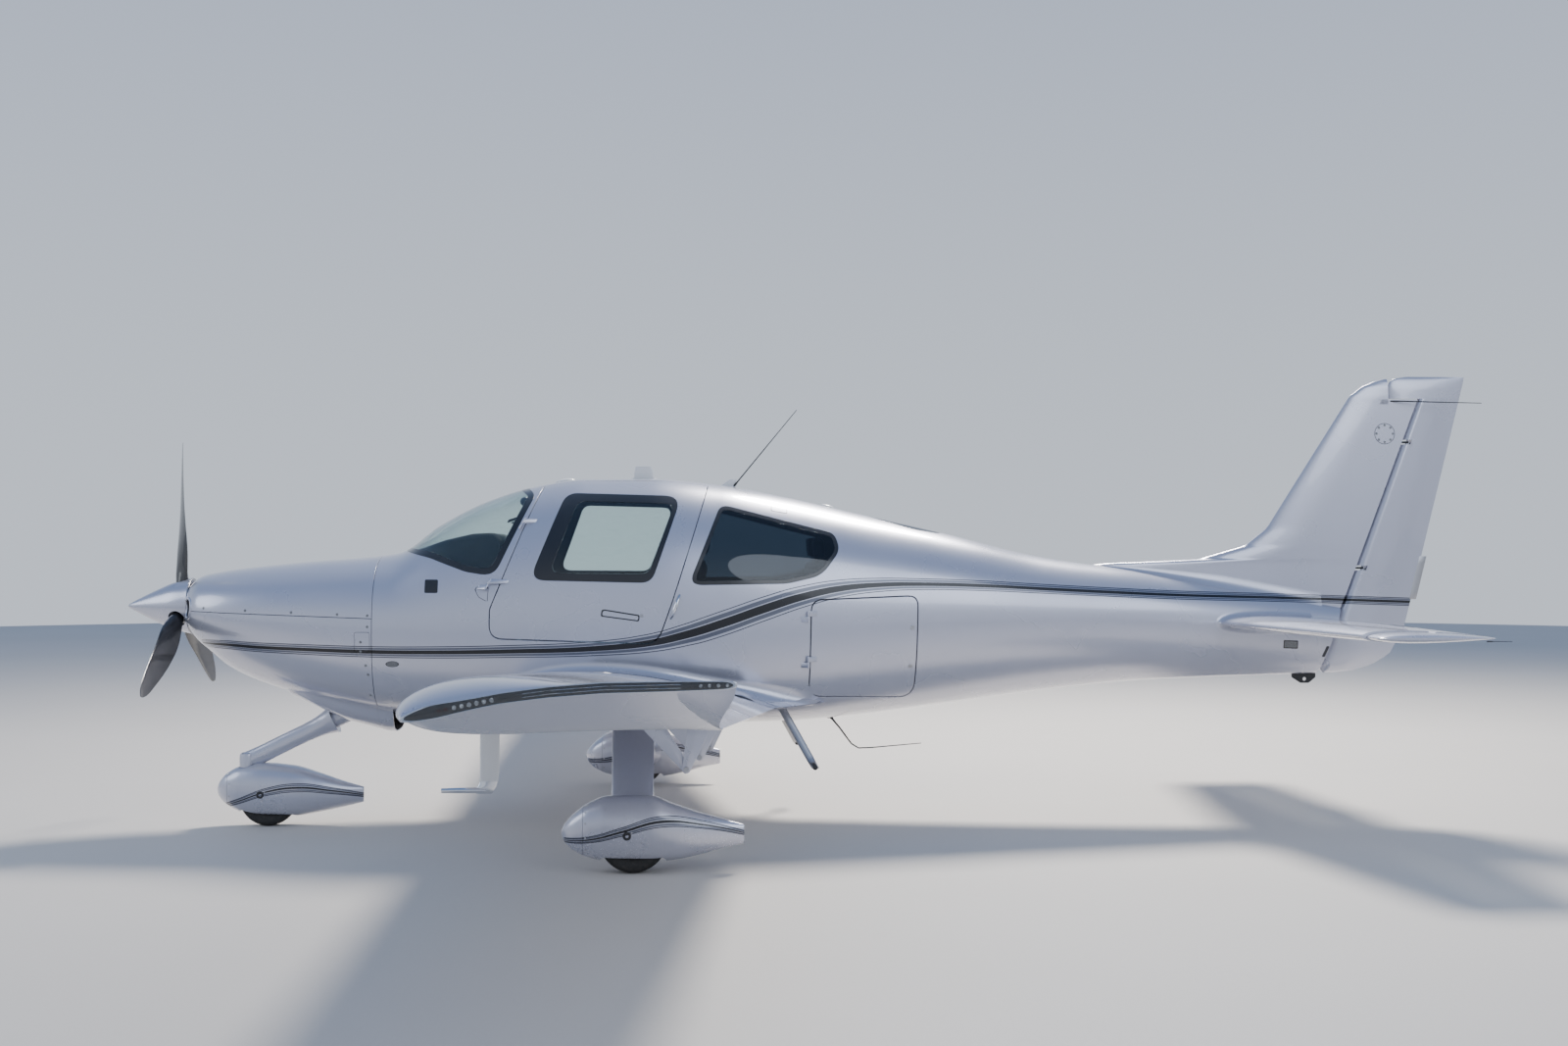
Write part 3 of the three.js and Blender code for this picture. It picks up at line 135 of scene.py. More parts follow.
class SmoothColumn:
    """Curve through one column of a table that keeps the column's rises and falls."""

    def __init__(self, table: Table, index: int) -> None:
        """Works out the curve's slopes.

        Args:
            table: Rows whose first column is the key.
            index: Column wanted.
        """
        rows = np.asarray(table, float)
        self.keys, self.values = rows[:, 0], rows[:, index]
        widths = np.diff(self.keys)
        rises = np.diff(self.values) / widths
        slopes = np.zeros(len(self.keys))
        slopes[0], slopes[-1] = rises[0], rises[-1]
        for i in range(1, len(self.keys) - 1):
            if rises[i - 1] * rises[i] > 0:
                before = 2 * widths[i] + widths[i - 1]
                after = widths[i] + 2 * widths[i - 1]
                slopes[i] = (before + after) / (before / rises[i - 1] + after / rises[i])
        self.slopes = slopes

    def __call__(self, key: Array | float) -> Array:
        """Values of the curve, held level past its ends."""
        keys = np.clip(np.asarray(key, float), self.keys[0], self.keys[-1])
        i = np.clip(np.searchsorted(self.keys, keys) - 1, 0, len(self.keys) - 2)
        width = self.keys[i + 1] - self.keys[i]
        t = (keys - self.keys[i]) / width
        rest = 1 - t
        return ((1 + 2 * t) * rest * rest * self.values[i] + t * rest * rest * width * self.slopes[i]
                + t * t * (3 - 2 * t) * self.values[i + 1] - t * t * rest * width * self.slopes[i + 1])


CROWN, KEEL, WIDTH, WAIST, UPPER, LOWER = (SmoothColumn(HULL, i) for i in range(1, 7))


def metres(points: Array) -> Array:
    """The points in metres, about the origin at mid-length."""
    return (np.asarray(points, float) - (MID_STATION, 0, 0)) / 1000


def hull_y(x: Array | float, z: Array | float) -> Array:
    """Half width of the fuselage at a station and height, in millimetres."""
    x, z = np.asarray(x, float), np.asarray(z, float)
    upper = z >= WAIST(x)
    rise = np.where(upper, CROWN(x) - WAIST(x), WAIST(x) - KEEL(x))
    share = np.clip(np.abs(z - WAIST(x)) / rise, 0, 1)
    power = np.where(upper, UPPER(x), LOWER(x))
    return WIDTH(x) * (1 - share ** power) ** (1 / power)


def hull_z(x: Array | float, y: Array | float) -> Array:
    """Height of the roof at a station and distance from the middle, in millimetres."""
    share = np.clip(np.abs(y) / WIDTH(x), 0, 1)
    return WAIST(x) + (CROWN(x) - WAIST(x)) * (1 - share ** UPPER(x)) ** (1 / UPPER(x))


def on_hull(x: Array | float, z: Array | float, side: int) -> Array:
    """Points on the fuselage's side at stations and heights."""
    x, z = np.broadcast_arrays(np.asarray(x, float), np.asarray(z, float))
    return np.stack([x, side * hull_y(x, z), z], -1)


def rounded(outline: Table, steps: int = 8) -> Array:
    """Polygon with its corners rounded.

    Args:
        outline: Rows of two coordinates and a corner radius.
        steps: Pieces of each rounded corner.

    Returns:
        The points, as rows of two coordinates.
    """
    points: list[Array] = []
    rows = np.asarray(outline, float)
    for i, (a, b, radius) in enumerate(rows):
        corner = np.array((a, b))
        if radius == 0:
            points.append(corner)
            continue
        before, after = rows[i - 1][:2] - corner, rows[(i + 1) % len(rows)][:2] - corner
        long_before, long_after = np.linalg.norm(before), np.linalg.norm(after)
        half = math.acos(float(before @ after) / (long_before * long_after)) / 2
        reach = min(radius / math.tan(half), 0.48 * long_before, 0.48 * long_after)
        start, end = corner + before / long_before * reach, corner + after / long_after * reach
        for t in np.linspace(0, 1, steps + 1):
            points.append((1 - t) ** 2 * start + 2 * t * (1 - t) * corner + t * t * end)
    return np.array(points)


def inset(outline: Array, distance: float) -> Array:
    """The outline moved inward by a distance, or outward where it is negative."""
    following = np.roll(outline, -1, 0)
    area = float(np.sum(outline[:, 0] * following[:, 1] - following[:, 0] * outline[:, 1]))
    along = following - outline
    along /= np.linalg.norm(along, axis=1, keepdims=True)
    mean = along + np.roll(along, 1, 0)
    mean /= np.linalg.norm(mean, axis=1, keepdims=True)
    return outline + np.sign(area) * distance * np.stack([-mean[:, 1], mean[:, 0]], 1)


def polygon_distance(points: Array, outline: Array) -> Array:
    """Distance of points from a polygon's edge, above zero inside it.

    Args:
        points: Rows of two coordinates.
        outline: The polygon's corners.

    Returns:
        One signed distance for each point.
    """
    start, end = outline, np.roll(outline, -1, 0)
    best = np.full(len(points), np.inf)
    inside = np.zeros(len(points), bool)
    for a, b in zip(start, end):
        edge = b - a
        offset = points - a
        t = np.clip(offset @ edge / (edge @ edge), 0, 1)
        best = np.minimum(best, np.hypot(*(offset - t[:, None] * edge).T))
        if a[1] != b[1]:
            spans = (points[:, 1] < a[1]) != (points[:, 1] < b[1])
            inside ^= spans & (points[:, 0] < a[0] + (points[:, 1] - a[1]) * edge[0] / edge[1])
    return np.where(inside, best, -best)


Region = Callable[[Array], Array]


def side_region(outline: Array) -> Region:
    """Region inside a side-view outline, on both sides of the aircraft."""
    return lambda points: polygon_distance(points[:, [0, 2]], outline)


def plan_region(outline: Array) -> Region:
    """Region inside a plan-view outline."""
    return lambda points: polygon_distance(points[:, :2], outline)


def outside(region: Region) -> Region:
    """Everything outside a region."""
    return lambda points: -region(points)


def half_space(axis: int, level: float, sign: int = 1) -> Region:
    """Region above a level along an axis, or below it where the sign is -1."""
    return lambda points: sign * (points[:, axis] - level)


def ellipse_reach(up: Array, out: Array, tall: Array | float, wide: Array | float, power: float) -> Array:
    """Distance from the middle of a superellipse to its outline, along a direction."""
    return (np.abs(up / tall) ** power + np.abs(out / wide) ** power) ** (-1 / power)


class Surface:
    """A surface over two parameters, with its outer side where u turns to v."""

    step_u = 0.5
    step_v = 0.001

    def place(self, u: Array, v: Array) -> Array:
        """Points of the surface, in millimetres."""
        raise NotImplementedError

    def tangents(self, u: Array, v: Array) -> tuple[Array, Array, Array]:
        """Points of the surface and how they move over one step of u and of v."""
        at = self.place(u, v)
        ahead = self.place(u + self.step_u, v) - self.place(u - self.step_u, v)
        beside = self.place(u, v + self.step_v) - self.place(u, v - self.step_v)
        return at, ahead / 2, beside / 2

    def normals(self, u: Array, v: Array) -> Array:
        """Outward unit normals."""
        _, ahead, beside = self.tangents(u, v)
        normal = np.cross(ahead, beside)
        return normal / np.maximum(np.linalg.norm(normal, axis=1, keepdims=True), 1e-12)


class HullSurface(Surface):
    """The fuselage: u is the station and v the angle from the crown towards starboard."""

    def place(self, u: Array, v: Array) -> Array:
        """Points of the fuselage."""
        up, out = np.cos(v), np.sin(v)
        rise = np.where(up >= 0, CROWN(u) - WAIST(u), WAIST(u) - KEEL(u))
        power = np.where(up >= 0, UPPER(u), LOWER(u))
        reach = (np.abs(up / rise) ** power + np.abs(out / WIDTH(u)) ** power) ** (-1 / power)
        return np.stack([u, reach * out, WAIST(u) + reach * up], -1)


HULL_SURFACE = HullSurface()


class ChinSurface(Surface):
    """The exhaust chin: u is the station and v the angle from its top towards starboard."""

    half, keel = SmoothColumn(CHIN, 2), SmoothColumn(CHIN, 1)
    top = 930.0
    power = 2 / 0.62

    def place(self, u: Array, v: Array) -> Array:
        """Points of the chin."""
        up, out = np.cos(v), np.sin(v)
        tall = (self.top - self.keel(u)) / 2
        reach = ellipse_reach(up, out, tall, self.half(u), self.power)
        return np.stack([u, reach * out, self.top - tall + reach * up], -1)


class Patch:
    """Polygons on a surface that outlines can trim."""

    def __init__(self, surface: Surface, us: Array, vs: Array, fixed_ends: bool = True) -> None:
        """Lays a grid over the surface.

        Args:
            surface: Surface that carries the grid.
            us: Grid values of the first parameter.
            vs: Grid values of the second parameter.
            fixed_ends: Whether points of the first and last u stay where they are.
        """
        self.surface = surface
        grid = np.stack(np.meshgrid(us, vs, indexing="ij"), -1)
        rows, columns = grid.shape[:2]
        self.uv = grid.reshape(-1, 2)
        self.faces = [(i * columns + j, (i + 1) * columns + j, (i + 1) * columns + j + 1, i * columns + j + 1)
                      for i in range(rows - 1) for j in range(columns - 1)]
        self.fixed = np.zeros(len(self.uv), bool)
        if fixed_ends:
            self.fixed[:columns] = True
            self.fixed[-columns:] = True
        self.pitch = float(abs(us[1] - us[0]))
        self.regions: list[Region] = []

    def measure(self, region: Region, uv: Array) -> tuple[Array, Array, Array]:
        """Distances along the surface from a region's edge.

        Args:
            region: Region whose edge is measured from.
            uv: Parameters of the points.

        Returns:
            Distances, the parameters' change over a millimetre away from the edge, and the
            direction of that change in space.
        """
        surface = self.surface
        at, ahead, beside = surface.tangents(uv[:, 0], uv[:, 1])
        value = region(at)
        slope = np.stack([region(at + ahead) - value, region(at + beside) - value], 1)
        uu, vv, cross = (ahead * ahead).sum(1), (beside * beside).sum(1), (ahead * beside).sum(1)
        size = np.maximum(uu * vv - cross * cross, 1e-12)
        turn = np.stack([vv * slope[:, 0] - cross * slope[:, 1], uu * slope[:, 1] - cross * slope[:, 0]], 1)
        turn /= size[:, None]
        steep = np.sqrt(np.maximum((turn * slope).sum(1), 1e-12))
        turn /= steep[:, None]
        return (value / steep, turn * (surface.step_u, surface.step_v),
                turn[:, :1] * ahead + turn[:, 1:] * beside)

    def settle(self, region: Region, chosen: Array, rounds: int = 3) -> None:
        """Moves chosen points along the surface onto a region's edge."""
        for _ in range(rounds):
            distance, turn, _ = self.measure(region, self.uv[chosen])
            self.uv[chosen] -= np.clip(distance, -self.pitch, self.pitch)[:, None] * turn

    def trim(self, region: Region, snap: float = 0.3, pieces: int = 3) -> "Patch":
        """Keeps the polygons inside a region, with its edge followed closely.

        Args:
            region: Region to keep.
            snap: Share of the grid's pitch within which a point moves onto the edge.
            pieces: Pieces in which each polygon's new edge is made.

        Returns:
            The patch itself.
        """
        distance, _, _ = self.measure(region, self.uv)
        near = np.flatnonzero((np.abs(distance) < snap * self.pitch) & ~self.fixed)
        if len(near):
            self.settle(region, near)
            distance[near] = 0
        on_edge = list(near)
        added: list[Array] = []
        made: dict[tuple[int, int], int] = {}
        count = len(self.uv)

        def add(uv: Array) -> int:
            """Number of a new point."""
            added.append(uv)
            return count + len(added) - 1

        faces: list[tuple[int, ...]] = []
        for face in self.faces:
            values = [distance[i] for i in face]
            if min(values) >= 0 and max(values) > 0:
                faces.append(face)
                continue
            if max(values) <= 0:
                continue
            kept: list[int] = []
            zeros: list[int] = []
            for k, a in enumerate(face):
                b = face[(k + 1) % len(face)]
                if distance[a] >= 0:
                    kept.append(a)
                    if distance[a] == 0:
                        zeros.append(a)
                if distance[a] * distance[b] < 0:
                    key = (min(a, b), max(a, b))
                    if key not in made:
                        share = distance[a] / (distance[a] - distance[b])
                        made[key] = add(self.uv[a] * (1 - share) + self.uv[b] * share)
                    kept.append(made[key])
                    zeros.append(made[key])
            if len(zeros) == 2 and pieces > 1:
                first = kept.index(zeros[0])
                second = kept.index(zeros[1])
                if (second + 1) % len(kept) == first:
                    first, second = second, first
                if (first + 1) % len(kept) == second:
                    ends = [added[i - count] if i >= count else self.uv[i] for i in (kept[first],
                                                                                     kept[second])]
                    between = [add(ends[0] + (ends[1] - ends[0]) * k / pieces) for k in range(1, pieces)]
                    kept[first + 1:first + 1] = between
            if len(kept) > 2:
                faces.append(tuple(kept))
        self.faces = faces
        if added:
            self.uv = np.vstack([self.uv, np.array(added)])
            new = np.arange(count, len(self.uv))
            self.settle(region, new)
            self.fixed = np.concatenate([self.fixed, np.ones(len(new), bool)])
            on_edge += list(new)
        self.fixed[np.array(on_edge, int)] = True
        self.regions.append(region)
        return self

    def trim_all(self, regions: Iterable[Region]) -> "Patch":
        """Keeps the polygons inside every region."""
        for region in regions:
            self.trim(region)
        return self


class Shell:
    """Closed skin of some thickness over a trimmed patch, with eased edges."""

    def __init__(self, patch: Patch, thickness: float, ease: float = 1.2,
                 inward: Callable[[Array, Array], Array] | None = None,
                 open_ends: Sequence[float] = ()) -> None:
        """Makes the skin's points, polygons and corner normals.

        Args:
            patch: Trimmed patch, the skin's outer face.
            thickness: Skin's thickness, in millimetres.
            ease: Radius of the eased outer edge.
            inward: Inner points from the outer points and normals, where they aren't straight below.
            open_ends: Values of u whose edge joins a neighbour, so it isn't eased.
        """
        used = np.unique(np.concatenate([np.array(face) for face in patch.faces]))
        renumber = np.full(len(patch.uv), -1)
        uv = patch.uv[used]
        at = patch.surface.place(uv[:, 0], uv[:, 1])
        _, first, inverse = np.unique(np.round(at, 2), axis=0, return_index=True, return_inverse=True)
        renumber[used] = inverse.reshape(-1)
        uv, outer = uv[first], at[first]
        normals = patch.surface.normals(uv[:, 0], uv[:, 1])
        faces = [clean for face in patch.faces if len(clean := tidy_face(renumber[list(face)])) > 2]
        edges: dict[tuple[int, int], int] = {}
        for face in faces:
            for a, b in zip(face, face[1:] + face[:1]):
                edges[(a, b)] = edges.get((a, b), 0) + 1
        border = [(a, b) for a, b in edges if (b, a) not in edges]
        inner = inward(outer, normals) if inward else outer - normals * thickness
        rim = np.unique(np.array(border)) if border else np.zeros(0, int)
        out = edge_directions(outer, normals, border)
        plain = np.zeros(len(outer), bool)
        for level in open_ends:
            plain |= np.abs(uv[:, 0] - level) < 0.01
        self.points = [outer, inner]
        self.faces: list[tuple[int, ...]] = list(faces)
        self.corner_normals: list[Array] = [normals[list(face)] for face in faces]
        count = len(outer)
        self.inner_faces = range(len(faces), 2 * len(faces))
        self.faces += [tuple(count + i for i in reversed(face)) for face in faces]
        self.corner_normals += [-normals[list(face)][::-1] for face in faces]
        angles = np.radians((45, 90)) if ease > 0 else ()
        size = np.where(plain, 0, ease)[:, None]
        # The eased edge is pulled into the skin: its first row lies inside the outline
        self.points[0] = outer.copy()
        self.points[0][rim] -= (out * size)[rim]
        rows = [np.arange(count)]
        for angle in angles:
            rows.append(np.full(count, -1))
            rows[-1][rim] = sum(len(p) for p in self.points) + np.arange(len(rim))
            self.points.append((outer - out * size * (1 - math.sin(angle))
                                - normals * size * (1 - math.cos(angle)))[rim])
        rows.append(np.arange(count) + count)
        slants = [0.0, *angles]
        for k in range(len(rows) - 1):
            angle = slants[min(k, len(slants) - 1)]
            after = slants[min(k + 1, len(slants) - 1)] if k < len(angles) else math.pi / 2
            if k == len(rows) - 2:
                angle = after = math.pi / 2
            near = normals * math.cos(angle) + out * math.sin(angle)
            far = normals * math.cos(after) + out * math.sin(after)
            for a, b in border:
                self.faces.append((rows[k][b], rows[k][a], rows[k + 1][a], rows[k + 1][b]))
                self.corner_normals.append(np.array([near[b], near[a], far[a], far[b]]))

    def build(self, name: str) -> bpy.types.Object:
        """The skin as a mesh object with its corner normals."""
        thing = mesh_object(name, metres(np.vstack(self.points)), self.faces)
        normals = np.vstack(self.corner_normals)
        normals /= np.maximum(np.linalg.norm(normals, axis=1, keepdims=True), 1e-9)
        thing.data.shade_smooth()
        thing.data.normals_split_custom_set(normals.tolist())
        return thing


def tidy_face(face: Iterable[int]) -> list[int]:
    """The face's points without repeats."""
    kept: list[int] = []
    for i in face:
        if int(i) not in kept:
            kept.append(int(i))
    return kept


def edge_directions(points: Array, normals: Array, border: Sequence[tuple[int, int]]) -> Array:
    """Outward directions at a skin's border, along the skin.

    Args:
        points: Skin's points.
        normals: Skin's normals.
        border: Border edges, in the order of their faces.

    Returns:
        A direction for each point, zero away from the border.
    """
    out = np.zeros_like(points)
    for a, b in border:
        along = points[b] - points[a]
        length = np.linalg.norm(along)
        if length > 1e-6:
            side = np.cross(along / length, normals[a])
            out[a] += side
            out[b] += side
    size = np.linalg.norm(out, axis=1, keepdims=True)
    return np.where(size > 1e-6, out / np.maximum(size, 1e-6), 0)


def mesh_object(name: str, points: Array, faces: Sequence[Sequence[int]]) -> bpy.types.Object:
    """Mesh object from points in metres, linked to the scene."""
    mesh = bpy.data.meshes.new(name)
    mesh.from_pydata([tuple(p) for p in np.asarray(points, float).tolist()], [],
                     [tuple(map(int, f)) for f in faces])
    mesh.update()
    thing = bpy.data.objects.new(name, mesh)
    bpy.context.scene.collection.objects.link(thing)
    return thing


class MeshMaker:
    """Collects solids in millimetres and joins them in one mesh object."""

    def __init__(self) -> None:
        """Starts with nothing."""
        self.points: list[Array] = []
        self.faces: list[tuple[int, ...]] = []
        self.count = 0

    def add(self, points: Array, faces: Iterable[Sequence[int]]) -> "MeshMaker":
        """Adds a solid given by its points and faces."""
        self.faces += [tuple(self.count + int(i) for i in face) for face in faces]
        self.points.append(np.asarray(points, float))
        self.count += len(points)
        return self

    def loft(self, rings: Sequence[Array], closed: bool = True, caps: bool = True) -> "MeshMaker":
        """Adds a skin through rings of equal length.

        Args:
            rings: Rings of points.
            closed: Whether each ring runs round to its start.
            caps: Whether the first and last ring are closed.

        Returns:
            The maker itself.
        """
        size = len(rings[0])
        faces: list[tuple[int, ...]] = []
        last = size if closed else size - 1
        for k in range(len(rings) - 1):
            for i in range(last):
                j = (i + 1) % size
                faces.append((k * size + i, k * size + j, (k + 1) * size + j, (k + 1) * size + i))
        if caps:
            faces.append(tuple(reversed(range(size))))
            faces.append(tuple((len(rings) - 1) * size + i for i in range(size)))
        return self.add(np.vstack(rings), faces)

    def bar(self, start: Sequence[float], end: Sequence[float], radius: float,
            end_radius: float | None = None,
            sides: int = 24, ease: float = 0.0) -> "MeshMaker":
        """Adds a round bar between two points, with its ends eased by a radius."""
        a, b = np.asarray(start, float), np.asarray(end, float)
        along = b - a
        length = float(np.linalg.norm(along))
        far = radius if end_radius is None else end_radius
        rows = [(0, radius), (length, far)]
        if ease > 0:
            rows = [(0, radius - ease), (ease * 0.3, radius - ease * 0.3), (ease, radius),
                    (length - ease, far), (length - ease * 0.3, far - ease * 0.3), (length, far - ease)]
        return self.lathe(a, along / length, rows, sides)

    def lathe(self, origin: Sequence[float], axis: Sequence[float], rows: Table,
              sides: int = 32) -> "MeshMaker":
        """Adds a turned solid.

        Args:
            origin: Point on the axis that distances start from.
            axis: Direction of the axis.
            rows: Distance along the axis and radius, from one end to the other.
            sides: Sides of the turned shape.

        Returns:
            The maker itself.
        """
        along = np.asarray(axis, float) / np.linalg.norm(axis)
        guide = np.array((0, 0, 1.0)) if abs(along[2]) < 0.9 else np.array((1.0, 0, 0))
        first = np.cross(along, guide)
        first /= np.linalg.norm(first)
        second = np.cross(along, first)
        turn = np.linspace(0, 2 * math.pi, sides, endpoint=False)
        circle = np.outer(np.cos(turn), first) + np.outer(np.sin(turn), second)
        return self.loft([np.asarray(origin, float) + along * s + circle * max(r, 1e-3) for s, r in rows])

    def tube(self, path: Table, radius: float | Sequence[float], sides: int = 12) -> "MeshMaker":
        """Adds a round tube along a path."""
        at = np.asarray(path, float)
        radii = np.broadcast_to(radius, len(at))
        along = np.gradient(at, axis=0)
        along /= np.linalg.norm(along, axis=1, keepdims=True)
        guide = np.array((0, 1.0, 0)) if abs(along[0][1]) < 0.9 else np.array((0, 0, 1.0))
        turn = np.linspace(0, 2 * math.pi, sides, endpoint=False)
        rings = []
        for p, direction, r in zip(at, along, radii):
            first = np.cross(direction, guide)
            first /= np.linalg.norm(first)
            second = np.cross(direction, first)
            rings.append(p + r * (np.outer(np.cos(turn), first) + np.outer(np.sin(turn), second)))
        return self.loft(rings)

    def prism(self, outline: Table, axes: str, low: float, high: float) -> "MeshMaker":
        """Adds a prism of an outline that lies in two axes, such as "xz", between two levels of the third."""
        flat = np.asarray(outline, float)[:, :2]
        first, second = ("xyz".index(axis) for axis in axes)
        third = 3 - first - second
        rings = []
        for level in (low, high):
            ring = np.zeros((len(flat), 3))
            ring[:, first], ring[:, second], ring[:, third] = flat[:, 0], flat[:, 1], level
            rings.append(ring)
        return self.loft(rings)

    def box(self, low: Sequence[float], high: Sequence[float]) -> "MeshMaker":
        """Adds a box between two corners."""
        (x0, y0, z0), (x1, y1, z1) = low, high
        return self.prism(((x0, y0), (x1, y0), (x1, y1), (x0, y1)), "xy", z0, z1)

    def build(self, name: str, angle: float = 35.0, bevel: float = 0.0, segments: int = 2,
              turn: Callable[[Array], Array] | None = None) -> bpy.types.Object:
        """One mesh object of all the solids, facing outward.

        Args:
            name: Object's name.
            angle: Smallest angle of an edge that stays sharp, in degrees.
            bevel: Width of the eased edges, in millimetres, or 0 for none.
            segments: Pieces across each eased edge.
            turn: Change of the points before they become metres.

        Returns:
            The object.
        """
        points = np.vstack(self.points)
        thing = mesh_object(name, metres(turn(points) if turn else points), self.faces)
        work = bmesh.new()
        work.from_mesh(thing.data)
        bmesh.ops.remove_doubles(work, verts=work.verts, dist=2e-6)
        bmesh.ops.dissolve_degenerate(work, edges=work.edges, dist=1e-7)
        bmesh.ops.recalc_face_normals(work, faces=work.faces)
        work.to_mesh(thing.data)
        work.free()
        if bevel > 0:
            ease_edges(thing, bevel, segments, angle)
        thing.data.shade_smooth()
        thing.data.set_sharp_from_angle(angle=math.radians(angle))
        return thing


def apply_modifiers(thing: bpy.types.Object) -> bpy.types.Object:
    """Turns an object's modifiers into its plain mesh."""
    graph = bpy.context.evaluated_depsgraph_get()
    made = bpy.data.meshes.new_from_object(thing.evaluated_get(graph), depsgraph=graph)
    old = thing.data
    thing.modifiers.clear()
    thing.data = made
    bpy.data.meshes.remove(old)
    made.name = thing.name
    return thing


def ease_edges(thing: bpy.types.Object, width: float, segments: int, angle: float) -> bpy.types.Object:
    """Rounds an object's sharp edges by a width in millimetres."""
    bevel = thing.modifiers.new("eased", "BEVEL")
    bevel.width = width / 1000
    bevel.segments = segments
    bevel.limit_method = "ANGLE"
    bevel.angle_limit = math.radians(angle)
    bevel.use_clamp_overlap = True
    return apply_modifiers(thing)


class NodeTree:
    """Adds and joins the nodes of one tree."""

    def __init__(self, tree: bpy.types.NodeTree) -> None:
        """Starts work on a tree."""
        self.tree = tree

    def add(self, kind: str, values: dict[str | int, object] | None = None,
            **settings: object) -> bpy.types.Node:
        """Adds a node.

        Args:
            kind: Node's type name.
            values: Values or output sockets for its inputs, by name or number.
            settings: The node's own properties.

        Returns:
            The node.
        """
        node = self.tree.nodes.new(kind)
        for name, value in settings.items():
            setattr(node, name, value)
        for name, value in (values or {}).items():
            if isinstance(value, bpy.types.NodeSocket):
                self.tree.links.new(value, node.inputs[name])
            else:
                node.inputs[name].default_value = value
        return node

    def sum(self, operation: str, *values: object, clamp: bool = False) -> bpy.types.NodeSocket:
        """Result of a sum on numbers or sockets."""
        node = self.add("ShaderNodeMath", dict(enumerate(values)), operation=operation, use_clamp=clamp)
        return node.outputs[0]

    def ramp(self, value: bpy.types.NodeSocket, low: float, high: float, start: float = 0.0,
             end: float = 1.0) -> bpy.types.NodeSocket:
        """The value moved smoothly from a range to another."""
        node = self.add("ShaderNodeMapRange", {0: value, 1: low, 2: high, 3: start, 4: end},
                        interpolation_type="SMOOTHSTEP")
        return node.outputs[0]

    def noise(self, scale: float, detail: float = 3.0, vector: object = None,
              rough: float = 0.55) -> bpy.types.NodeSocket:
        """Noise over the object."""
        values: dict[str | int, object] = {"Scale": scale, "Detail": detail, "Roughness": rough}
        if vector is not None:
            values["Vector"] = vector
        return self.add("ShaderNodeTexNoise", values).outputs[0]

    def place(self) -> bpy.types.NodeSocket:
        """The object's own coordinates."""
        return self.add("ShaderNodeTexCoord").outputs["Object"]

    def mix(self, share: object, first: object, second: object) -> bpy.types.NodeSocket:
        """Colour between two colours."""
        node = self.add("ShaderNodeMix", {0: share, 6: first, 7: second}, data_type="RGBA")
        return node.outputs[2]

    def stretch(self, vector: object, scale: tuple[float, float, float],
                turn: tuple[float, float, float] = (0, 0, 0)) -> bpy.types.NodeSocket:
        """Coordinates stretched along the axes and turned."""
        return self.add("ShaderNodeMapping", {"Vector": vector, "Scale": scale, "Rotation": turn}).outputs[0]


def colour(red: float, green: float, blue: float) -> tuple[float, float, float, float]:
    """An opaque colour."""
    return red, green, blue, 1.0


def shader_group(name: str, inputs: dict[str, object],
                 outputs: dict[str, str]) -> tuple[bpy.types.NodeTree, NodeTree, bpy.types.Node,
                                                   bpy.types.Node]:
    """Empty shader group with named sockets.

    Args:
        name: Group's name.
        inputs: Default value of each input; a tuple of four numbers is a colour, of three a vector.
        outputs: Socket type of each output.

    Returns:
        The group, its tree helper, and its input and output nodes.
    """
    tree = bpy.data.node_groups.new(name, "ShaderNodeTree")
    for label, value in inputs.items():
        kind = "NodeSocketFloat"
        if isinstance(value, tuple):
            kind = "NodeSocketColor" if len(value) == 4 else "NodeSocketVector"
        tree.interface.new_socket(label, in_out="INPUT", socket_type=kind).default_value = value
    for label, kind in outputs.items():
        tree.interface.new_socket(label, in_out="OUTPUT", socket_type=kind)
    nodes = NodeTree(tree)
    return tree, nodes, nodes.add("NodeGroupInput"), nodes.add("NodeGroupOutput")


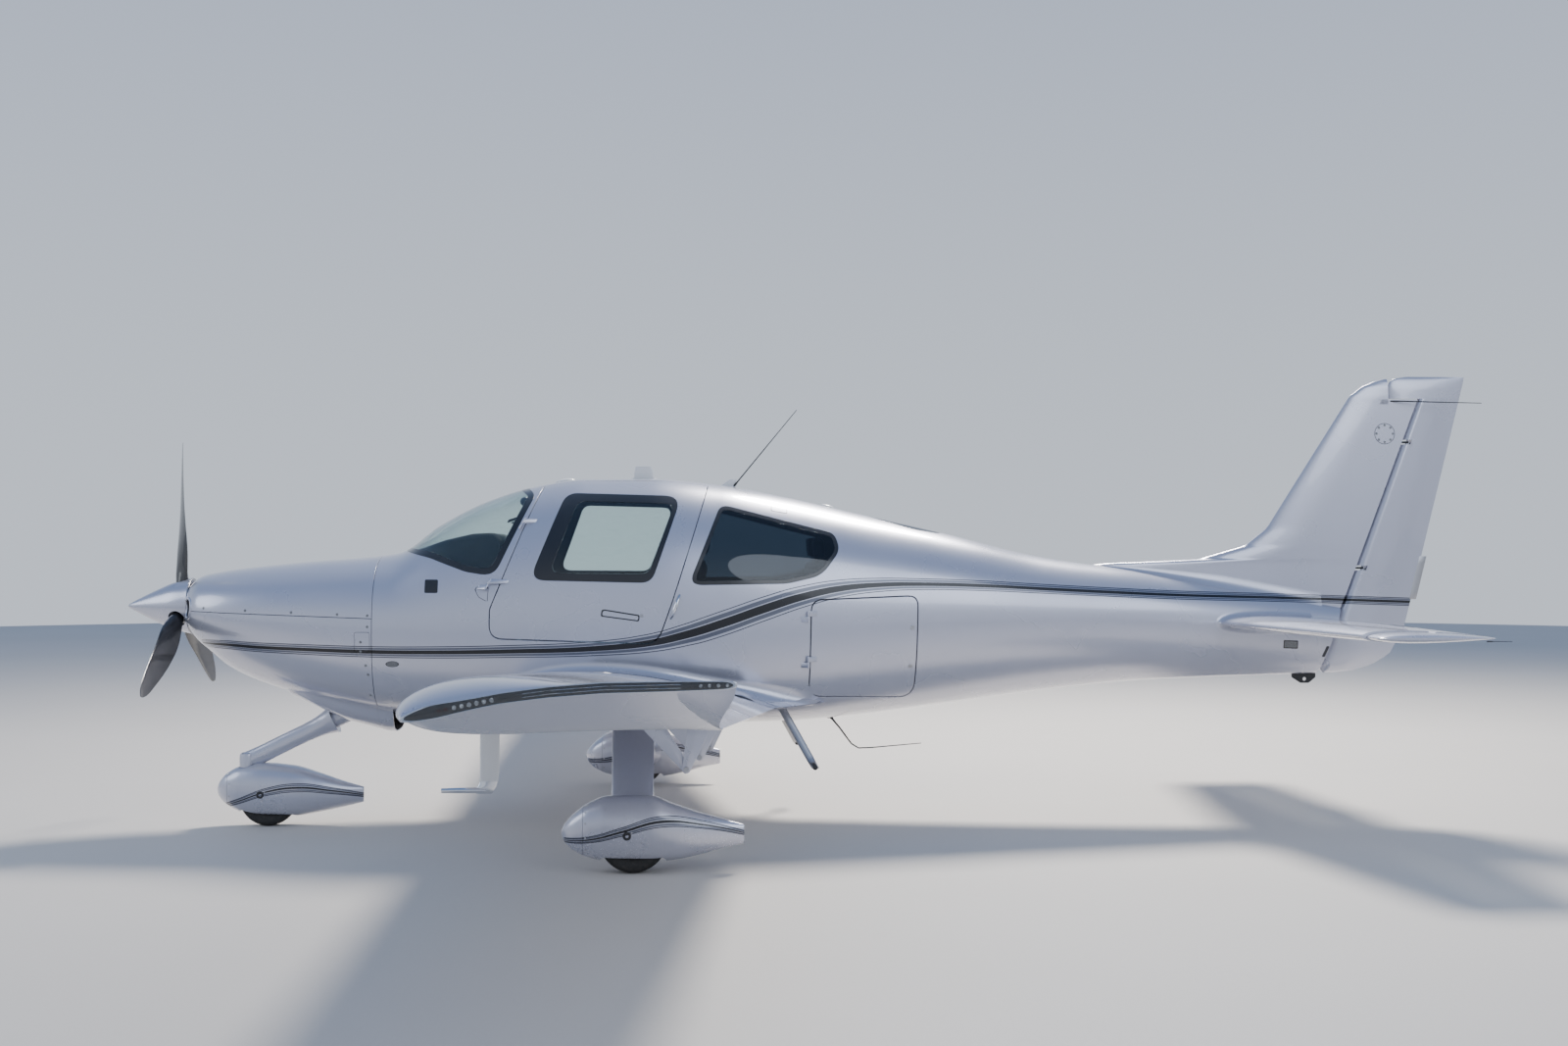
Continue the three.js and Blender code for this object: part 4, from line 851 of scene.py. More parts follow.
class Effects:
    """Shader groups that several finishes share."""

    def __init__(self) -> None:
        """Builds every group once."""
        self.peel = self._peel()
        self.dirt = self._dirt()
        self.grain = self._grain()
        self.fuselage_bands = self._bands("fuselage_bands", FUSELAGE_BAND)
        self.nose_pant_bands = self._bands("nose_pant_bands", NOSE_PANT_BAND)
        self.main_pant_bands = self._bands("main_pant_bands", MAIN_PANT_BAND)

    @staticmethod
    def _peel() -> bpy.types.NodeTree:
        """Ripple and fine flake of sprayed paint."""
        tree, nodes, given, made = shader_group("paint_peel", {"Flake": 1.0, "Ripple": 1.0},
                                                {"Height": "NodeSocketFloat", "Sparkle": "NodeSocketFloat"})
        place = nodes.place()
        ripple = nodes.noise(160, 2, place)
        long_wave = nodes.noise(9, 2, place)
        flake = nodes.add("ShaderNodeTexVoronoi", {"Vector": place, "Scale": 1400.0}).outputs["Color"]
        spark = nodes.add("ShaderNodeSeparateColor", {0: flake}).outputs[0]
        height = nodes.sum("ADD", nodes.sum("MULTIPLY", ripple, given.outputs["Ripple"]),
                           nodes.sum("MULTIPLY", long_wave, 0.7))
        made.id_data.links.new(height, made.inputs["Height"])
        made.id_data.links.new(nodes.sum("MULTIPLY", spark, given.outputs["Flake"]), made.inputs["Sparkle"])
        return tree

    @staticmethod
    def _dirt() -> bpy.types.NodeTree:
        """Thin dust on top, grime that runs down and low splashes."""
        tree, nodes, given, made = shader_group(
            "dirt", {"Amount": 1.0, "Scale": 1.0, "Low": 0.35},
            {"Dust": "NodeSocketFloat", "Streaks": "NodeSocketFloat", "Splash": "NodeSocketFloat"})
        place = nodes.place()
        sized = nodes.add("ShaderNodeVectorMath", {0: place, 3: given.outputs["Scale"]},
                          operation="SCALE").outputs[0]
        cloud = nodes.noise(2.2, 5, sized)
        fine = nodes.noise(45, 4, sized)
        up = nodes.add("ShaderNodeSeparateXYZ",
                       {0: nodes.add("ShaderNodeNewGeometry").outputs["Normal"]}).outputs[2]
        dust = nodes.sum("MULTIPLY", nodes.ramp(cloud, 0.30, 0.85), nodes.ramp(up, -0.1, 0.9, 0.25, 1.0))
        dust = nodes.sum("MULTIPLY", dust, nodes.ramp(fine, 0.25, 0.75, 0.6, 1.0))
        runs = nodes.noise(7, 4, nodes.stretch(sized, (5.0, 5.0, 0.35)))
        streaks = nodes.ramp(runs, 0.55, 0.8)
        height = nodes.add("ShaderNodeSeparateXYZ", {0: place}).outputs[2]
        low = nodes.ramp(nodes.sum("SUBTRACT", height, given.outputs["Low"]), 0.12, -0.3)
        spots = nodes.add("ShaderNodeTexVoronoi", {"Vector": sized, "Scale": 90.0}).outputs["Distance"]
        splash = nodes.sum("MULTIPLY", low, nodes.sum("MAXIMUM", nodes.ramp(spots, 0.22, 0.08),
                                                      nodes.ramp(fine, 0.45, 0.8, 0.0, 0.5)))
        for label, value in (("Dust", dust), ("Streaks", streaks), ("Splash", splash)):
            made.id_data.links.new(nodes.sum("MULTIPLY", value, given.outputs["Amount"]), made.inputs[label])
        return tree

    @staticmethod
    def _grain() -> bpy.types.NodeTree:
        """Pebbled or brushed grain of moulded, cast, leather and brushed surfaces."""
        tree, nodes, given, made = shader_group(
            "grain", {"Scale": 300.0, "Pebbles": 1.0, "Stretch": (1.0, 1.0, 1.0)},
            {"Height": "NodeSocketFloat", "Mask": "NodeSocketFloat"})
        placed = nodes.add("ShaderNodeVectorMath", {0: nodes.place(), 1: given.outputs["Stretch"]},
                           operation="MULTIPLY").outputs[0]
        sized = nodes.add("ShaderNodeVectorMath", {0: placed, 3: given.outputs["Scale"]},
                          operation="SCALE").outputs[0]
        cells = nodes.add("ShaderNodeTexVoronoi", {"Vector": sized, "Scale": 1.0},
                          feature="SMOOTH_F1").outputs["Distance"]
        fine = nodes.noise(1.7, 5, sized)
        broad = nodes.noise(0.03, 4, sized)
        height = nodes.sum("ADD", nodes.sum("MULTIPLY", nodes.ramp(cells, 0.1, 0.7, 1.0, 0.0),
                                            given.outputs["Pebbles"]), nodes.sum("MULTIPLY", fine, 0.6))
        made.id_data.links.new(height, made.inputs["Height"])
        made.id_data.links.new(nodes.ramp(broad, 0.3, 0.7), made.inputs["Mask"])
        return tree

    @staticmethod
    def _bands(name: str, line: Table) -> bpy.types.NodeTree:
        """Dark band with finer lines beside it, along a curve in side view.

        Args:
            name: Group's name.
            line: Rows of station, height, half width and spread of the band, in millimetres.

        Returns:
            The group, with masks of the dark band, the grey lines and the thin dark lines.
        """
        tree, nodes, given, made = shader_group(name, {"Spread": 1.0},
                                                {"Band": "NodeSocketFloat", "Grey": "NodeSocketFloat",
                                                 "Lines": "NodeSocketFloat"})
        rows = np.asarray(line, float)
        start, end = rows[0, 0], rows[-1, 0]
        axes = nodes.add("ShaderNodeSeparateXYZ", {0: nodes.place()})
        along = nodes.add("ShaderNodeMapRange", {0: axes.outputs[0], 1: (start - MID_STATION) / 1000,
                                                 2: (end - MID_STATION) / 1000}).outputs[0]
        curves = []
        for index, top in ((1, 2000.0), (2, 60.0), (3, 120.0)):
            node = nodes.add("ShaderNodeFloatCurve", {"Value": along})
            curve = node.mapping.curves[0]
            places = [((row[0] - start) / (end - start), row[index] / top) for row in rows]
            curve.points[0].location = places[0]
            curve.points[1].location = places[-1]
            for at in places[1:-1]:
                curve.points.new(*at)
            node.mapping.update()
            curves.append(nodes.sum("MULTIPLY", node.outputs[0], top / 1000))
        level, half, spread = curves
        spread = nodes.sum("MULTIPLY", spread, given.outputs["Spread"])
        offset = nodes.sum("SUBTRACT", axes.outputs[2], level)
        within = nodes.ramp(axes.outputs[0], (start - MID_STATION) / 1000 - 0.002,
                            (start - MID_STATION) / 1000 + 0.002)
        soft = 0.0006

        def stripe(centre: object, width: object) -> bpy.types.NodeSocket:
            """Mask of a line at a height above the curve."""
            away = nodes.sum("ABSOLUTE", nodes.sum("SUBTRACT", offset, centre))
            return nodes.sum("MULTIPLY", within, nodes.sum("MULTIPLY_ADD", nodes.sum("SUBTRACT", width, away),
                                                           1 / soft, 0.5, clamp=True))

        band = stripe(0.0, half)
        grey_half = nodes.sum("MULTIPLY", spread, 0.18)
        above = stripe(nodes.sum("MULTIPLY", spread, 0.62), grey_half)
        below = stripe(nodes.sum("MULTIPLY", spread, -0.62), grey_half)
        thin = nodes.sum("MAXIMUM", stripe(nodes.sum("MULTIPLY", spread, 1.02), 0.0026),
                         stripe(nodes.sum("MULTIPLY", spread, -1.02), 0.0026))
        for label, value in (("Band", band), ("Grey", nodes.sum("MAXIMUM", above, below)), ("Lines", thin)):
            made.id_data.links.new(value, made.inputs[label])
        return tree


# Painted bands: station, height, half width of the dark band, and reach of the lines beside it
FUSELAGE_BAND = ((470, 1066, 5, 18), (632, 1062, 8, 22), (805, 1051, 9, 24), (1029, 1042, 9.5, 26),
                 (1458, 1029, 10.5, 28),
                 (1795, 1027, 11, 30), (2225, 1033, 12, 32), (2655, 1046, 14, 37), (2977, 1075, 18, 48),
                 (3193, 1122, 22, 60), (3410, 1188, 24, 68), (3629, 1263, 24, 66), (3850, 1330, 21, 58),
                 (4075, 1375, 17, 46), (4302, 1393, 13, 36), (4531, 1395, 11, 30), (4880, 1385, 10, 27),
                 (5235, 1366, 9, 25), (5594, 1347, 9, 24), (6081, 1324, 8, 23), (6717, 1304, 8, 22),
                 (7700, 1270, 8, 22))
NOSE_PANT_BAND = ((520, 110, 2, 10), (640, 150, 4, 14), (800, 205, 5, 20), (980, 228, 6, 22),
                  (1160, 206, 5, 17),
                  (1340, 172, 3, 10))
MAIN_PANT_BAND = ((2575, 168, 2, 10), (2700, 176, 4, 14), (2860, 215, 6, 20), (3050, 262, 7, 25),
                  (3260, 240, 5, 17),
                  (3465, 190, 3, 10))


class Bands(Enum):
    """Painted bands that a finish can carry."""

    NONE = "none"
    FUSELAGE = "fuselage_bands"
    NOSE_PANT = "nose_pant_bands"
    MAIN_PANT = "main_pant_bands"


BAND_TONES = {"Grey": colour(0.12, 0.13, 0.17), "Lines": colour(0.03, 0.033, 0.05),
              "Band": colour(0.003, 0.003, 0.006)}
DIRT_TONES = {"Dust": (0.22, colour(0.50, 0.47, 0.43)), "Streaks": (0.12, colour(0.30, 0.28, 0.26)),
              "Splash": (0.55, colour(0.20, 0.17, 0.14))}


@dataclass(frozen=True)
class Paint:
    """Sprayed metallic paint under clear coat, with or without painted bands."""

    name: str
    tone: tuple[float, float, float, float] = colour(0.585, 0.59, 0.665)
    shade: tuple[float, float, float, float] = colour(0.49, 0.50, 0.585)
    metallic: float = 0.55
    rough: float = 0.27
    dirt: float = 0.2
    low: float = 0.35
    bands: Bands = Bands.NONE
    shrink: float = 1.0
    coat: float = 0.9
    band_coat: float = 0.2

    def make(self, effects: Effects) -> bpy.types.Material:
        """Builds the material.

        Args:
            effects: Shared shader groups.

        Returns:
            The material.
        """
        material, nodes, shader = new_material(self.name)
        peel = nodes.add("ShaderNodeGroup", {}, node_tree=effects.peel)
        dirt = nodes.add("ShaderNodeGroup", {}, node_tree=effects.dirt)
        dirt.inputs["Amount"].default_value = self.dirt
        dirt.inputs["Low"].default_value = self.low
        cloud = nodes.noise(1.3, 3, nodes.place())
        share = nodes.sum("ADD", nodes.sum("MULTIPLY", peel.outputs["Sparkle"], 0.55),
                          nodes.sum("MULTIPLY", cloud, 0.5), clamp=True)
        base = nodes.mix(share, self.tone, self.shade)
        metal: object = self.metallic
        gloss: object = self.coat
        if self.bands is not Bands.NONE:
            bands = nodes.add("ShaderNodeGroup", {}, node_tree=getattr(effects, self.bands.value))
            bands.inputs["Spread"].default_value = self.shrink
            for part, tone in BAND_TONES.items():
                base = nodes.mix(bands.outputs[part], base, tone)
            metal = nodes.sum("MULTIPLY", nodes.sum("SUBTRACT", 1.0, bands.outputs["Band"]), self.metallic)
            matt = nodes.sum("MULTIPLY", bands.outputs["Band"], self.coat - self.band_coat)
            gloss = nodes.sum("SUBTRACT", self.coat, matt)
        for kind, (amount, tone) in DIRT_TONES.items():
            base = nodes.mix(nodes.sum("MULTIPLY", dirt.outputs[kind], amount), base, tone)
        rough = nodes.sum("ADD", nodes.sum("MULTIPLY", dirt.outputs["Dust"], 0.25),
                          nodes.ramp(cloud, 0.3, 0.7, self.rough - 0.03, self.rough + 0.05), clamp=True)
        rough = nodes.sum("ADD", rough, nodes.sum("MULTIPLY", dirt.outputs["Splash"], 0.4), clamp=True)
        bump = nodes.add("ShaderNodeBump",
                         {"Height": peel.outputs["Height"], "Strength": 0.05, "Distance": 0.0008})
        link_inputs(nodes, shader, {"Base Color": base, "Metallic": metal, "Roughness": rough,
                                    "Coat Weight": gloss, "Normal": bump.outputs[0]})
        shader.inputs["Coat Roughness"].default_value = 0.04
        return material


@dataclass(frozen=True)
class Glazing:
    """Tinted acrylic pane with faint smears."""

    name: str
    tint: tuple[float, float, float, float]
    smears: float = 0.03

    def make(self, effects: Effects) -> bpy.types.Material:
        """Builds the material.

        Args:
            effects: Shared shader groups.

        Returns:
            The material.
        """
        material, nodes, shader = new_material(self.name)
        dirt = nodes.add("ShaderNodeGroup", {}, node_tree=effects.dirt)
        dirt.inputs["Scale"].default_value = 3.0
        wipe = nodes.noise(14, 4, nodes.stretch(nodes.place(), (1.0, 1.0, 4.0), (0.3, 0.5, 0.2)))
        rough = nodes.sum("ADD", nodes.ramp(wipe, 0.45, 0.8, 0.0, self.smears),
                          nodes.sum("MULTIPLY", dirt.outputs["Dust"], self.smears * 0.6), clamp=True)
        dull = tuple(0.85 * part for part in self.tint[:3]) + (1.0,)
        base = nodes.mix(nodes.ramp(wipe, 0.5, 0.9, 0.0, 0.4), self.tint, dull)
        wave = nodes.noise(2.5, 2, nodes.place())
        bump = nodes.add("ShaderNodeBump", {"Height": wave, "Strength": 0.04, "Distance": 0.002})
        link_inputs(nodes, shader, {"Base Color": base, "Roughness": rough, "Normal": bump.outputs[0]})
        shader.inputs["Transmission Weight"].default_value = 1.0
        shader.inputs["IOR"].default_value = 1.49
        return material


@dataclass(frozen=True)
class Grained:
    """Surface with a pebbled, brushed or cast grain."""

    name: str
    tone: tuple[float, float, float, float]
    shade: tuple[float, float, float, float]
    rough: tuple[float, float] = (0.45, 0.6)
    metallic: float = 0.0
    scale: float = 900.0
    pebbles: float = 1.0
    stretch: tuple[float, float, float] = (1.0, 1.0, 1.0)
    bump: float = 0.25
    depth: float = 0.0004
    dirt: float = 0.4
    sheen: float = 0.0
    coat: float = 0.0
    low: float = 0.3

    def make(self, effects: Effects) -> bpy.types.Material:
        """Builds the material.

        Args:
            effects: Shared shader groups.

        Returns:
            The material.
        """
        material, nodes, shader = new_material(self.name)
        grain = nodes.add("ShaderNodeGroup", {}, node_tree=effects.grain)
        grain.inputs["Scale"].default_value = self.scale
        grain.inputs["Pebbles"].default_value = self.pebbles
        grain.inputs["Stretch"].default_value = self.stretch
        dirt = nodes.add("ShaderNodeGroup", {}, node_tree=effects.dirt)
        dirt.inputs["Amount"].default_value = self.dirt
        dirt.inputs["Low"].default_value = self.low
        share = nodes.ramp(grain.outputs["Height"], 0.2, 1.3)
        base = nodes.mix(share, self.shade, self.tone)
        base = nodes.mix(nodes.sum("MULTIPLY", grain.outputs["Mask"], 0.3), base, self.shade)
        base = nodes.mix(nodes.sum("MULTIPLY", dirt.outputs["Dust"], 0.3), base, colour(0.42, 0.39, 0.35))
        base = nodes.mix(nodes.sum("MULTIPLY", dirt.outputs["Splash"], 0.5), base, colour(0.2, 0.17, 0.14))
        low, high = self.rough
        rough = nodes.sum("ADD", nodes.ramp(grain.outputs["Height"], 0.2, 1.3, high, low),
                          nodes.sum("MULTIPLY", dirt.outputs["Dust"], 0.2), clamp=True)
        bump = nodes.add("ShaderNodeBump", {"Height": grain.outputs["Height"], "Strength": self.bump,
                                            "Distance": self.depth})
        link_inputs(nodes, shader, {"Base Color": base, "Roughness": rough, "Normal": bump.outputs[0]})
        shader.inputs["Metallic"].default_value = self.metallic
        shader.inputs["Sheen Weight"].default_value = self.sheen
        shader.inputs["Coat Weight"].default_value = self.coat
        shader.inputs["Coat Roughness"].default_value = 0.12
        return material


@dataclass(frozen=True)
class Carpet:
    """Cut-pile carpet of the floor."""

    name: str

    def make(self, effects: Effects) -> bpy.types.Material:
        """Builds the material.

        Args:
            effects: Shared shader groups.

        Returns:
            The material.
        """
        material, nodes, shader = new_material(self.name)
        grain = nodes.add("ShaderNodeGroup", {}, node_tree=effects.grain)
        grain.inputs["Scale"].default_value = 420.0
        tufts = nodes.noise(700, 3, nodes.place())
        base = nodes.mix(tufts, colour(0.015, 0.015, 0.017), colour(0.07, 0.068, 0.068))
        base = nodes.mix(nodes.sum("MULTIPLY", grain.outputs["Mask"], 0.35), base, colour(0.10, 0.095, 0.09))
        height = nodes.sum("ADD", tufts, grain.outputs["Height"])
        bump = nodes.add("ShaderNodeBump", {"Height": height, "Strength": 0.9, "Distance": 0.003})
        link_inputs(nodes, shader, {"Base Color": base, "Roughness": nodes.ramp(tufts, 0.3, 0.7, 0.98, 0.86),
                                    "Normal": bump.outputs[0]})
        shader.inputs["Sheen Weight"].default_value = 0.4
        return material


@dataclass(frozen=True)
class Glow:
    """Dark display or lamp face with a dim lit pattern."""

    name: str
    dark: tuple[float, float, float, float]
    lit: tuple[float, float, float, float]
    strength: float = 0.3
    scale: float = 60.0

    def make(self, effects: Effects) -> bpy.types.Material:
        """Builds the material.

        Args:
            effects: Shared shader groups.

        Returns:
            The material.
        """
        material, nodes, shader = new_material(self.name)
        grain = nodes.add("ShaderNodeGroup", {}, node_tree=effects.grain)
        grain.inputs["Scale"].default_value = self.scale
        share = nodes.ramp(grain.outputs["Height"], 0.8, 1.3)
        base = nodes.mix(share, self.dark, self.lit)
        rough = nodes.ramp(nodes.noise(30, 3, nodes.place()), 0.3, 0.7, 0.05, 0.14)
        link_inputs(nodes, shader, {"Base Color": base, "Roughness": rough, "Emission Color": base})
        shader.inputs["Emission Strength"].default_value = self.strength
        shader.inputs["Coat Weight"].default_value = 1.0
        return material


Finish = Paint | Glazing | Grained | Carpet | Glow


def new_material(name: str) -> tuple[bpy.types.Material, NodeTree, bpy.types.Node]:
    """Empty material with its tree helper and its shader."""
    material = bpy.data.materials.new(name)
    material.use_nodes = True
    nodes = NodeTree(material.node_tree)
    return material, nodes, material.node_tree.nodes["Principled BSDF"]


def link_inputs(nodes: NodeTree, shader: bpy.types.Node, values: dict[str, object]) -> None:
    """Gives a shader's inputs their sockets or constant values."""
    for name, value in values.items():
        if isinstance(value, bpy.types.NodeSocket):
            nodes.tree.links.new(value, shader.inputs[name])
        else:
            shader.inputs[name].default_value = value


class Finishes:
    """Every finish of the aircraft, each built the first time it is used."""

    PEARL = Paint("pearl_paint")
    BANDED = Paint("pearl_paint_with_bands", bands=Bands.FUSELAGE)
    NOSE_PANT = Paint("pearl_paint_nose_pant", dirt=0.8, low=0.14, bands=Bands.NOSE_PANT)
    MAIN_PANT = Paint("pearl_paint_main_pant", dirt=0.8, low=0.14, bands=Bands.MAIN_PANT)
    WING = Paint("pearl_paint_wing", dirt=0.3)
    SPINNER = Paint("pearl_paint_spinner", metallic=0.7, dirt=0.15)
    GEAR = Paint("pearl_paint_gear", dirt=0.7, low=0.25)
    WHITE = Paint("white_gelcoat", tone=colour(0.80, 0.80, 0.79), shade=colour(0.72, 0.72, 0.71),
                  metallic=0.0,
                  rough=0.38, dirt=0.5)
    BLADE = Paint("blade_black", tone=colour(0.022, 0.022, 0.024), shade=colour(0.012, 0.012, 0.013),
                  metallic=0.0, rough=0.36, dirt=0.5)
    CLEAR = Glazing("clear_acrylic", colour(0.80, 0.90, 0.87))
    SMOKED = Glazing("smoked_acrylic", colour(0.16, 0.20, 0.235))
    LENS = Glazing("lamp_lens", colour(0.88, 0.92, 0.95), smears=0.01)
    BORDER = Grained("black_border", colour(0.012, 0.012, 0.013), colour(0.006, 0.006, 0.007),
                     rough=(0.14, 0.24),
                     scale=1500, bump=0.05, dirt=0.3, coat=0.6)
    TYRE = Grained("tyre_rubber", colour(0.030, 0.029, 0.028), colour(0.013, 0.013, 0.013), rough=(0.72, 0.9),
                   scale=700, bump=0.45, dirt=1.0, low=0.12)
    STEEL = Grained("brushed_steel", colour(0.62, 0.62, 0.63), colour(0.42, 0.42, 0.44), rough=(0.24, 0.38),
                    metallic=1.0, scale=260, pebbles=0.2, stretch=(1.0, 12.0, 12.0), bump=0.12, depth=0.0002)
    CHROME = Grained("bright_metal", colour(0.82, 0.83, 0.85), colour(0.68, 0.69, 0.72), rough=(0.05, 0.11),
                     metallic=1.0, scale=90, pebbles=0.3, bump=0.02, depth=0.0002, dirt=0.2)
    CAST = Grained("cast_metal", colour(0.30, 0.305, 0.315), colour(0.17, 0.175, 0.18), rough=(0.45, 0.65),
                   metallic=0.8, scale=420, bump=0.4, depth=0.0008, dirt=0.6)
    PLASTIC = Grained("dark_plastic", colour(0.028, 0.028, 0.030), colour(0.014, 0.014, 0.015),
                      rough=(0.42, 0.6),
                      scale=1100, bump=0.3)
    TRIM = Grained("grey_trim", colour(0.115, 0.11, 0.108), colour(0.075, 0.072, 0.07), rough=(0.6, 0.78),
                   scale=800, bump=0.35, sheen=0.15)
    HIDE = Grained("seat_leather", colour(0.038, 0.036, 0.036), colour(0.020, 0.019, 0.019),
                   rough=(0.36, 0.52),
                   scale=650, bump=0.4, depth=0.0006, sheen=0.1)
    INSERT = Grained("seat_insert", colour(0.20, 0.19, 0.18), colour(0.12, 0.115, 0.11), rough=(0.5, 0.66),
                     scale=620, bump=0.4, depth=0.0006, sheen=0.2)
    LINING = Grained("cabin_lining", colour(0.32, 0.31, 0.30), colour(0.24, 0.235, 0.23), rough=(0.8, 0.95),
                     scale=1300, bump=0.35, sheen=0.3)
    GRIP = Grained("grip_tread", colour(0.10, 0.10, 0.105), colour(0.045, 0.045, 0.048), rough=(0.85, 0.97),
                   scale=1500, bump=0.9, depth=0.0012)
    SOOT = Grained("exhaust_steel", colour(0.26, 0.23, 0.20), colour(0.10, 0.09, 0.085), rough=(0.45, 0.7),
                   metallic=0.9, scale=220, bump=0.3, dirt=0.8)
    # Dark finish of the real seams, also used as painted shade in the exhaust mouths and the drain slot
    SEAM_AND_SHADE = Grained("dark_seam", colour(0.06, 0.06, 0.07), colour(0.03, 0.03, 0.035), rough=(0.5, 0.7),
                   scale=900)
    THREAD = Grained("pale_thread", colour(0.42, 0.41, 0.39), colour(0.30, 0.29, 0.28), rough=(0.6, 0.75),
                     scale=2400)
    CARPET = Carpet("floor_carpet")
    SCREEN = Glow("display_glass", colour(0.004, 0.006, 0.010), colour(0.03, 0.07, 0.12), 0.25, 45.0)
    LAMP = Glow("lamp_cells", colour(0.30, 0.31, 0.33), colour(0.75, 0.78, 0.80), 0.15, 220.0)
    RED = Glazing("red_lens", colour(0.75, 0.03, 0.02), smears=0.01)
    GREEN = Glazing("green_lens", colour(0.03, 0.60, 0.18), smears=0.01)

    def __init__(self) -> None:
        """Builds the shared effects."""
        self.effects = Effects()
        self.made: dict[str, bpy.types.Material] = {}

    def material(self, finish: Finish) -> bpy.types.Material:
        """The material of a finish."""
        if finish.name not in self.made:
            self.made[finish.name] = finish.make(self.effects)
        return self.made[finish.name]

    def dress(self, thing: bpy.types.Object, finish: Finish) -> bpy.types.Object:
        """Gives a whole object one finish."""
        material = self.material(finish)
        thing.data.materials.clear()
        thing.data.materials.append(material)
        for polygon in thing.data.polygons:
            polygon.material_index = 0
        return thing

    def dress_node(self, thing: bpy.types.Object, finish: Finish) -> None:
        """Gives the material slots of a solid node that stays one finish."""
        for slot in thing.material_slots:
            slot.material = self.material(finish)


class Workshop:
    """Dresses the pieces, fixes them to their bodies and reports them."""

    def __init__(self) -> None:
        """Builds the finishes' shared effects."""
        self.finishes = Finishes()

    def fit(self, thing: bpy.types.Object, finish: Finish, body: str = "airframe",
            nodes: Sequence[str] = (), slot: str = "airframe_paint") -> bpy.types.Object:
        """Finishes a piece and fixes it to a body.

        Args:
            thing: The piece.
            finish: Its finish.
            body: Body that it moves with.
            nodes: Solid nodes that it stands for.
            slot: Not used.

        Returns:
            The piece.
        """
        self.finishes.dress(thing, finish)
        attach(thing, body)
        if nodes:
            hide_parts(*nodes)
        LOG.info("%s on %s: %d faces", thing.name, body, len(thing.data.polygons))
        return thing

    def line(self, thing: bpy.types.Object, shell: Shell, finish: Finish) -> None:
        """Gives the inner face of a skin its own finish."""
        thing.data.materials.append(self.finishes.material(finish))
        index = len(thing.data.materials) - 1
        for polygon in thing.data.polygons[shell.inner_faces.start:shell.inner_faces.stop]:
            polygon.material_index = index


def arc_angles(surface: Surface, station: float, count: int, start: float = 0.0,
               end: float = 2 * math.pi) -> Array:
    """Values of v that lie evenly along a section's outline.

    Args:
        surface: Surface whose section is divided.
        station: Station of the section.
        count: Number of values.
        start: First value.
        end: Last value.

    Returns:
        The values.
    """
    fine = np.linspace(start, end, 1441)
    at = surface.place(np.full(len(fine), station), fine)
    length = np.concatenate([[0], np.cumsum(np.linalg.norm(np.diff(at, axis=0), axis=1))])
    return np.interp(np.linspace(0, length[-1], count), length, fine)


def steps(start: float, end: float, pitch: float) -> Array:
    """Evenly spaced values, about a pitch apart."""
    return np.linspace(start, end, max(2, round(abs(end - start) / pitch) + 1))


def both(*regions: Region) -> Region:
    """Region inside all of several regions."""
    return lambda points: np.min([region(points) for region in regions], axis=0)


def beyond(level: float, side: int) -> Region:
    """Region further out to a side than a level."""
    return lambda points: side * points[:, 1] - level


def hull_excess(points: Array, margin: float = 0.0) -> Array:
    """Distance outward from the fuselage's skin, less a margin."""
    return np.abs(points[:, 1]) - hull_y(points[:, 0], points[:, 2]) - margin


def toward_eye(eye: Sequence[float], thickness: float) -> Callable[[Array, Array], Array]:
    """Inner points that lie on lines to an eye point."""
    def inner(outer: Array, normals: Array) -> Array:
        """Inner points for outer points."""
        ray = np.asarray(eye, float) - outer
        ray /= np.linalg.norm(ray, axis=1, keepdims=True)
        return outer + ray * (thickness / np.maximum(-(ray * normals).sum(1), 0.35))[:, None]
    return inner


def near_polyline(points: Array, line: Table) -> Array:
    """Distance of points from a line through several points in space."""
    path = np.asarray(line, float)
    best = np.full(len(points), np.inf)
    for a, b in zip(path[:-1], path[1:]):
        edge = b - a
        t = np.clip((points - a) @ edge / (edge @ edge), 0, 1)
        best = np.minimum(best, np.linalg.norm(points - a - t[:, None] * edge, axis=1))
    return best


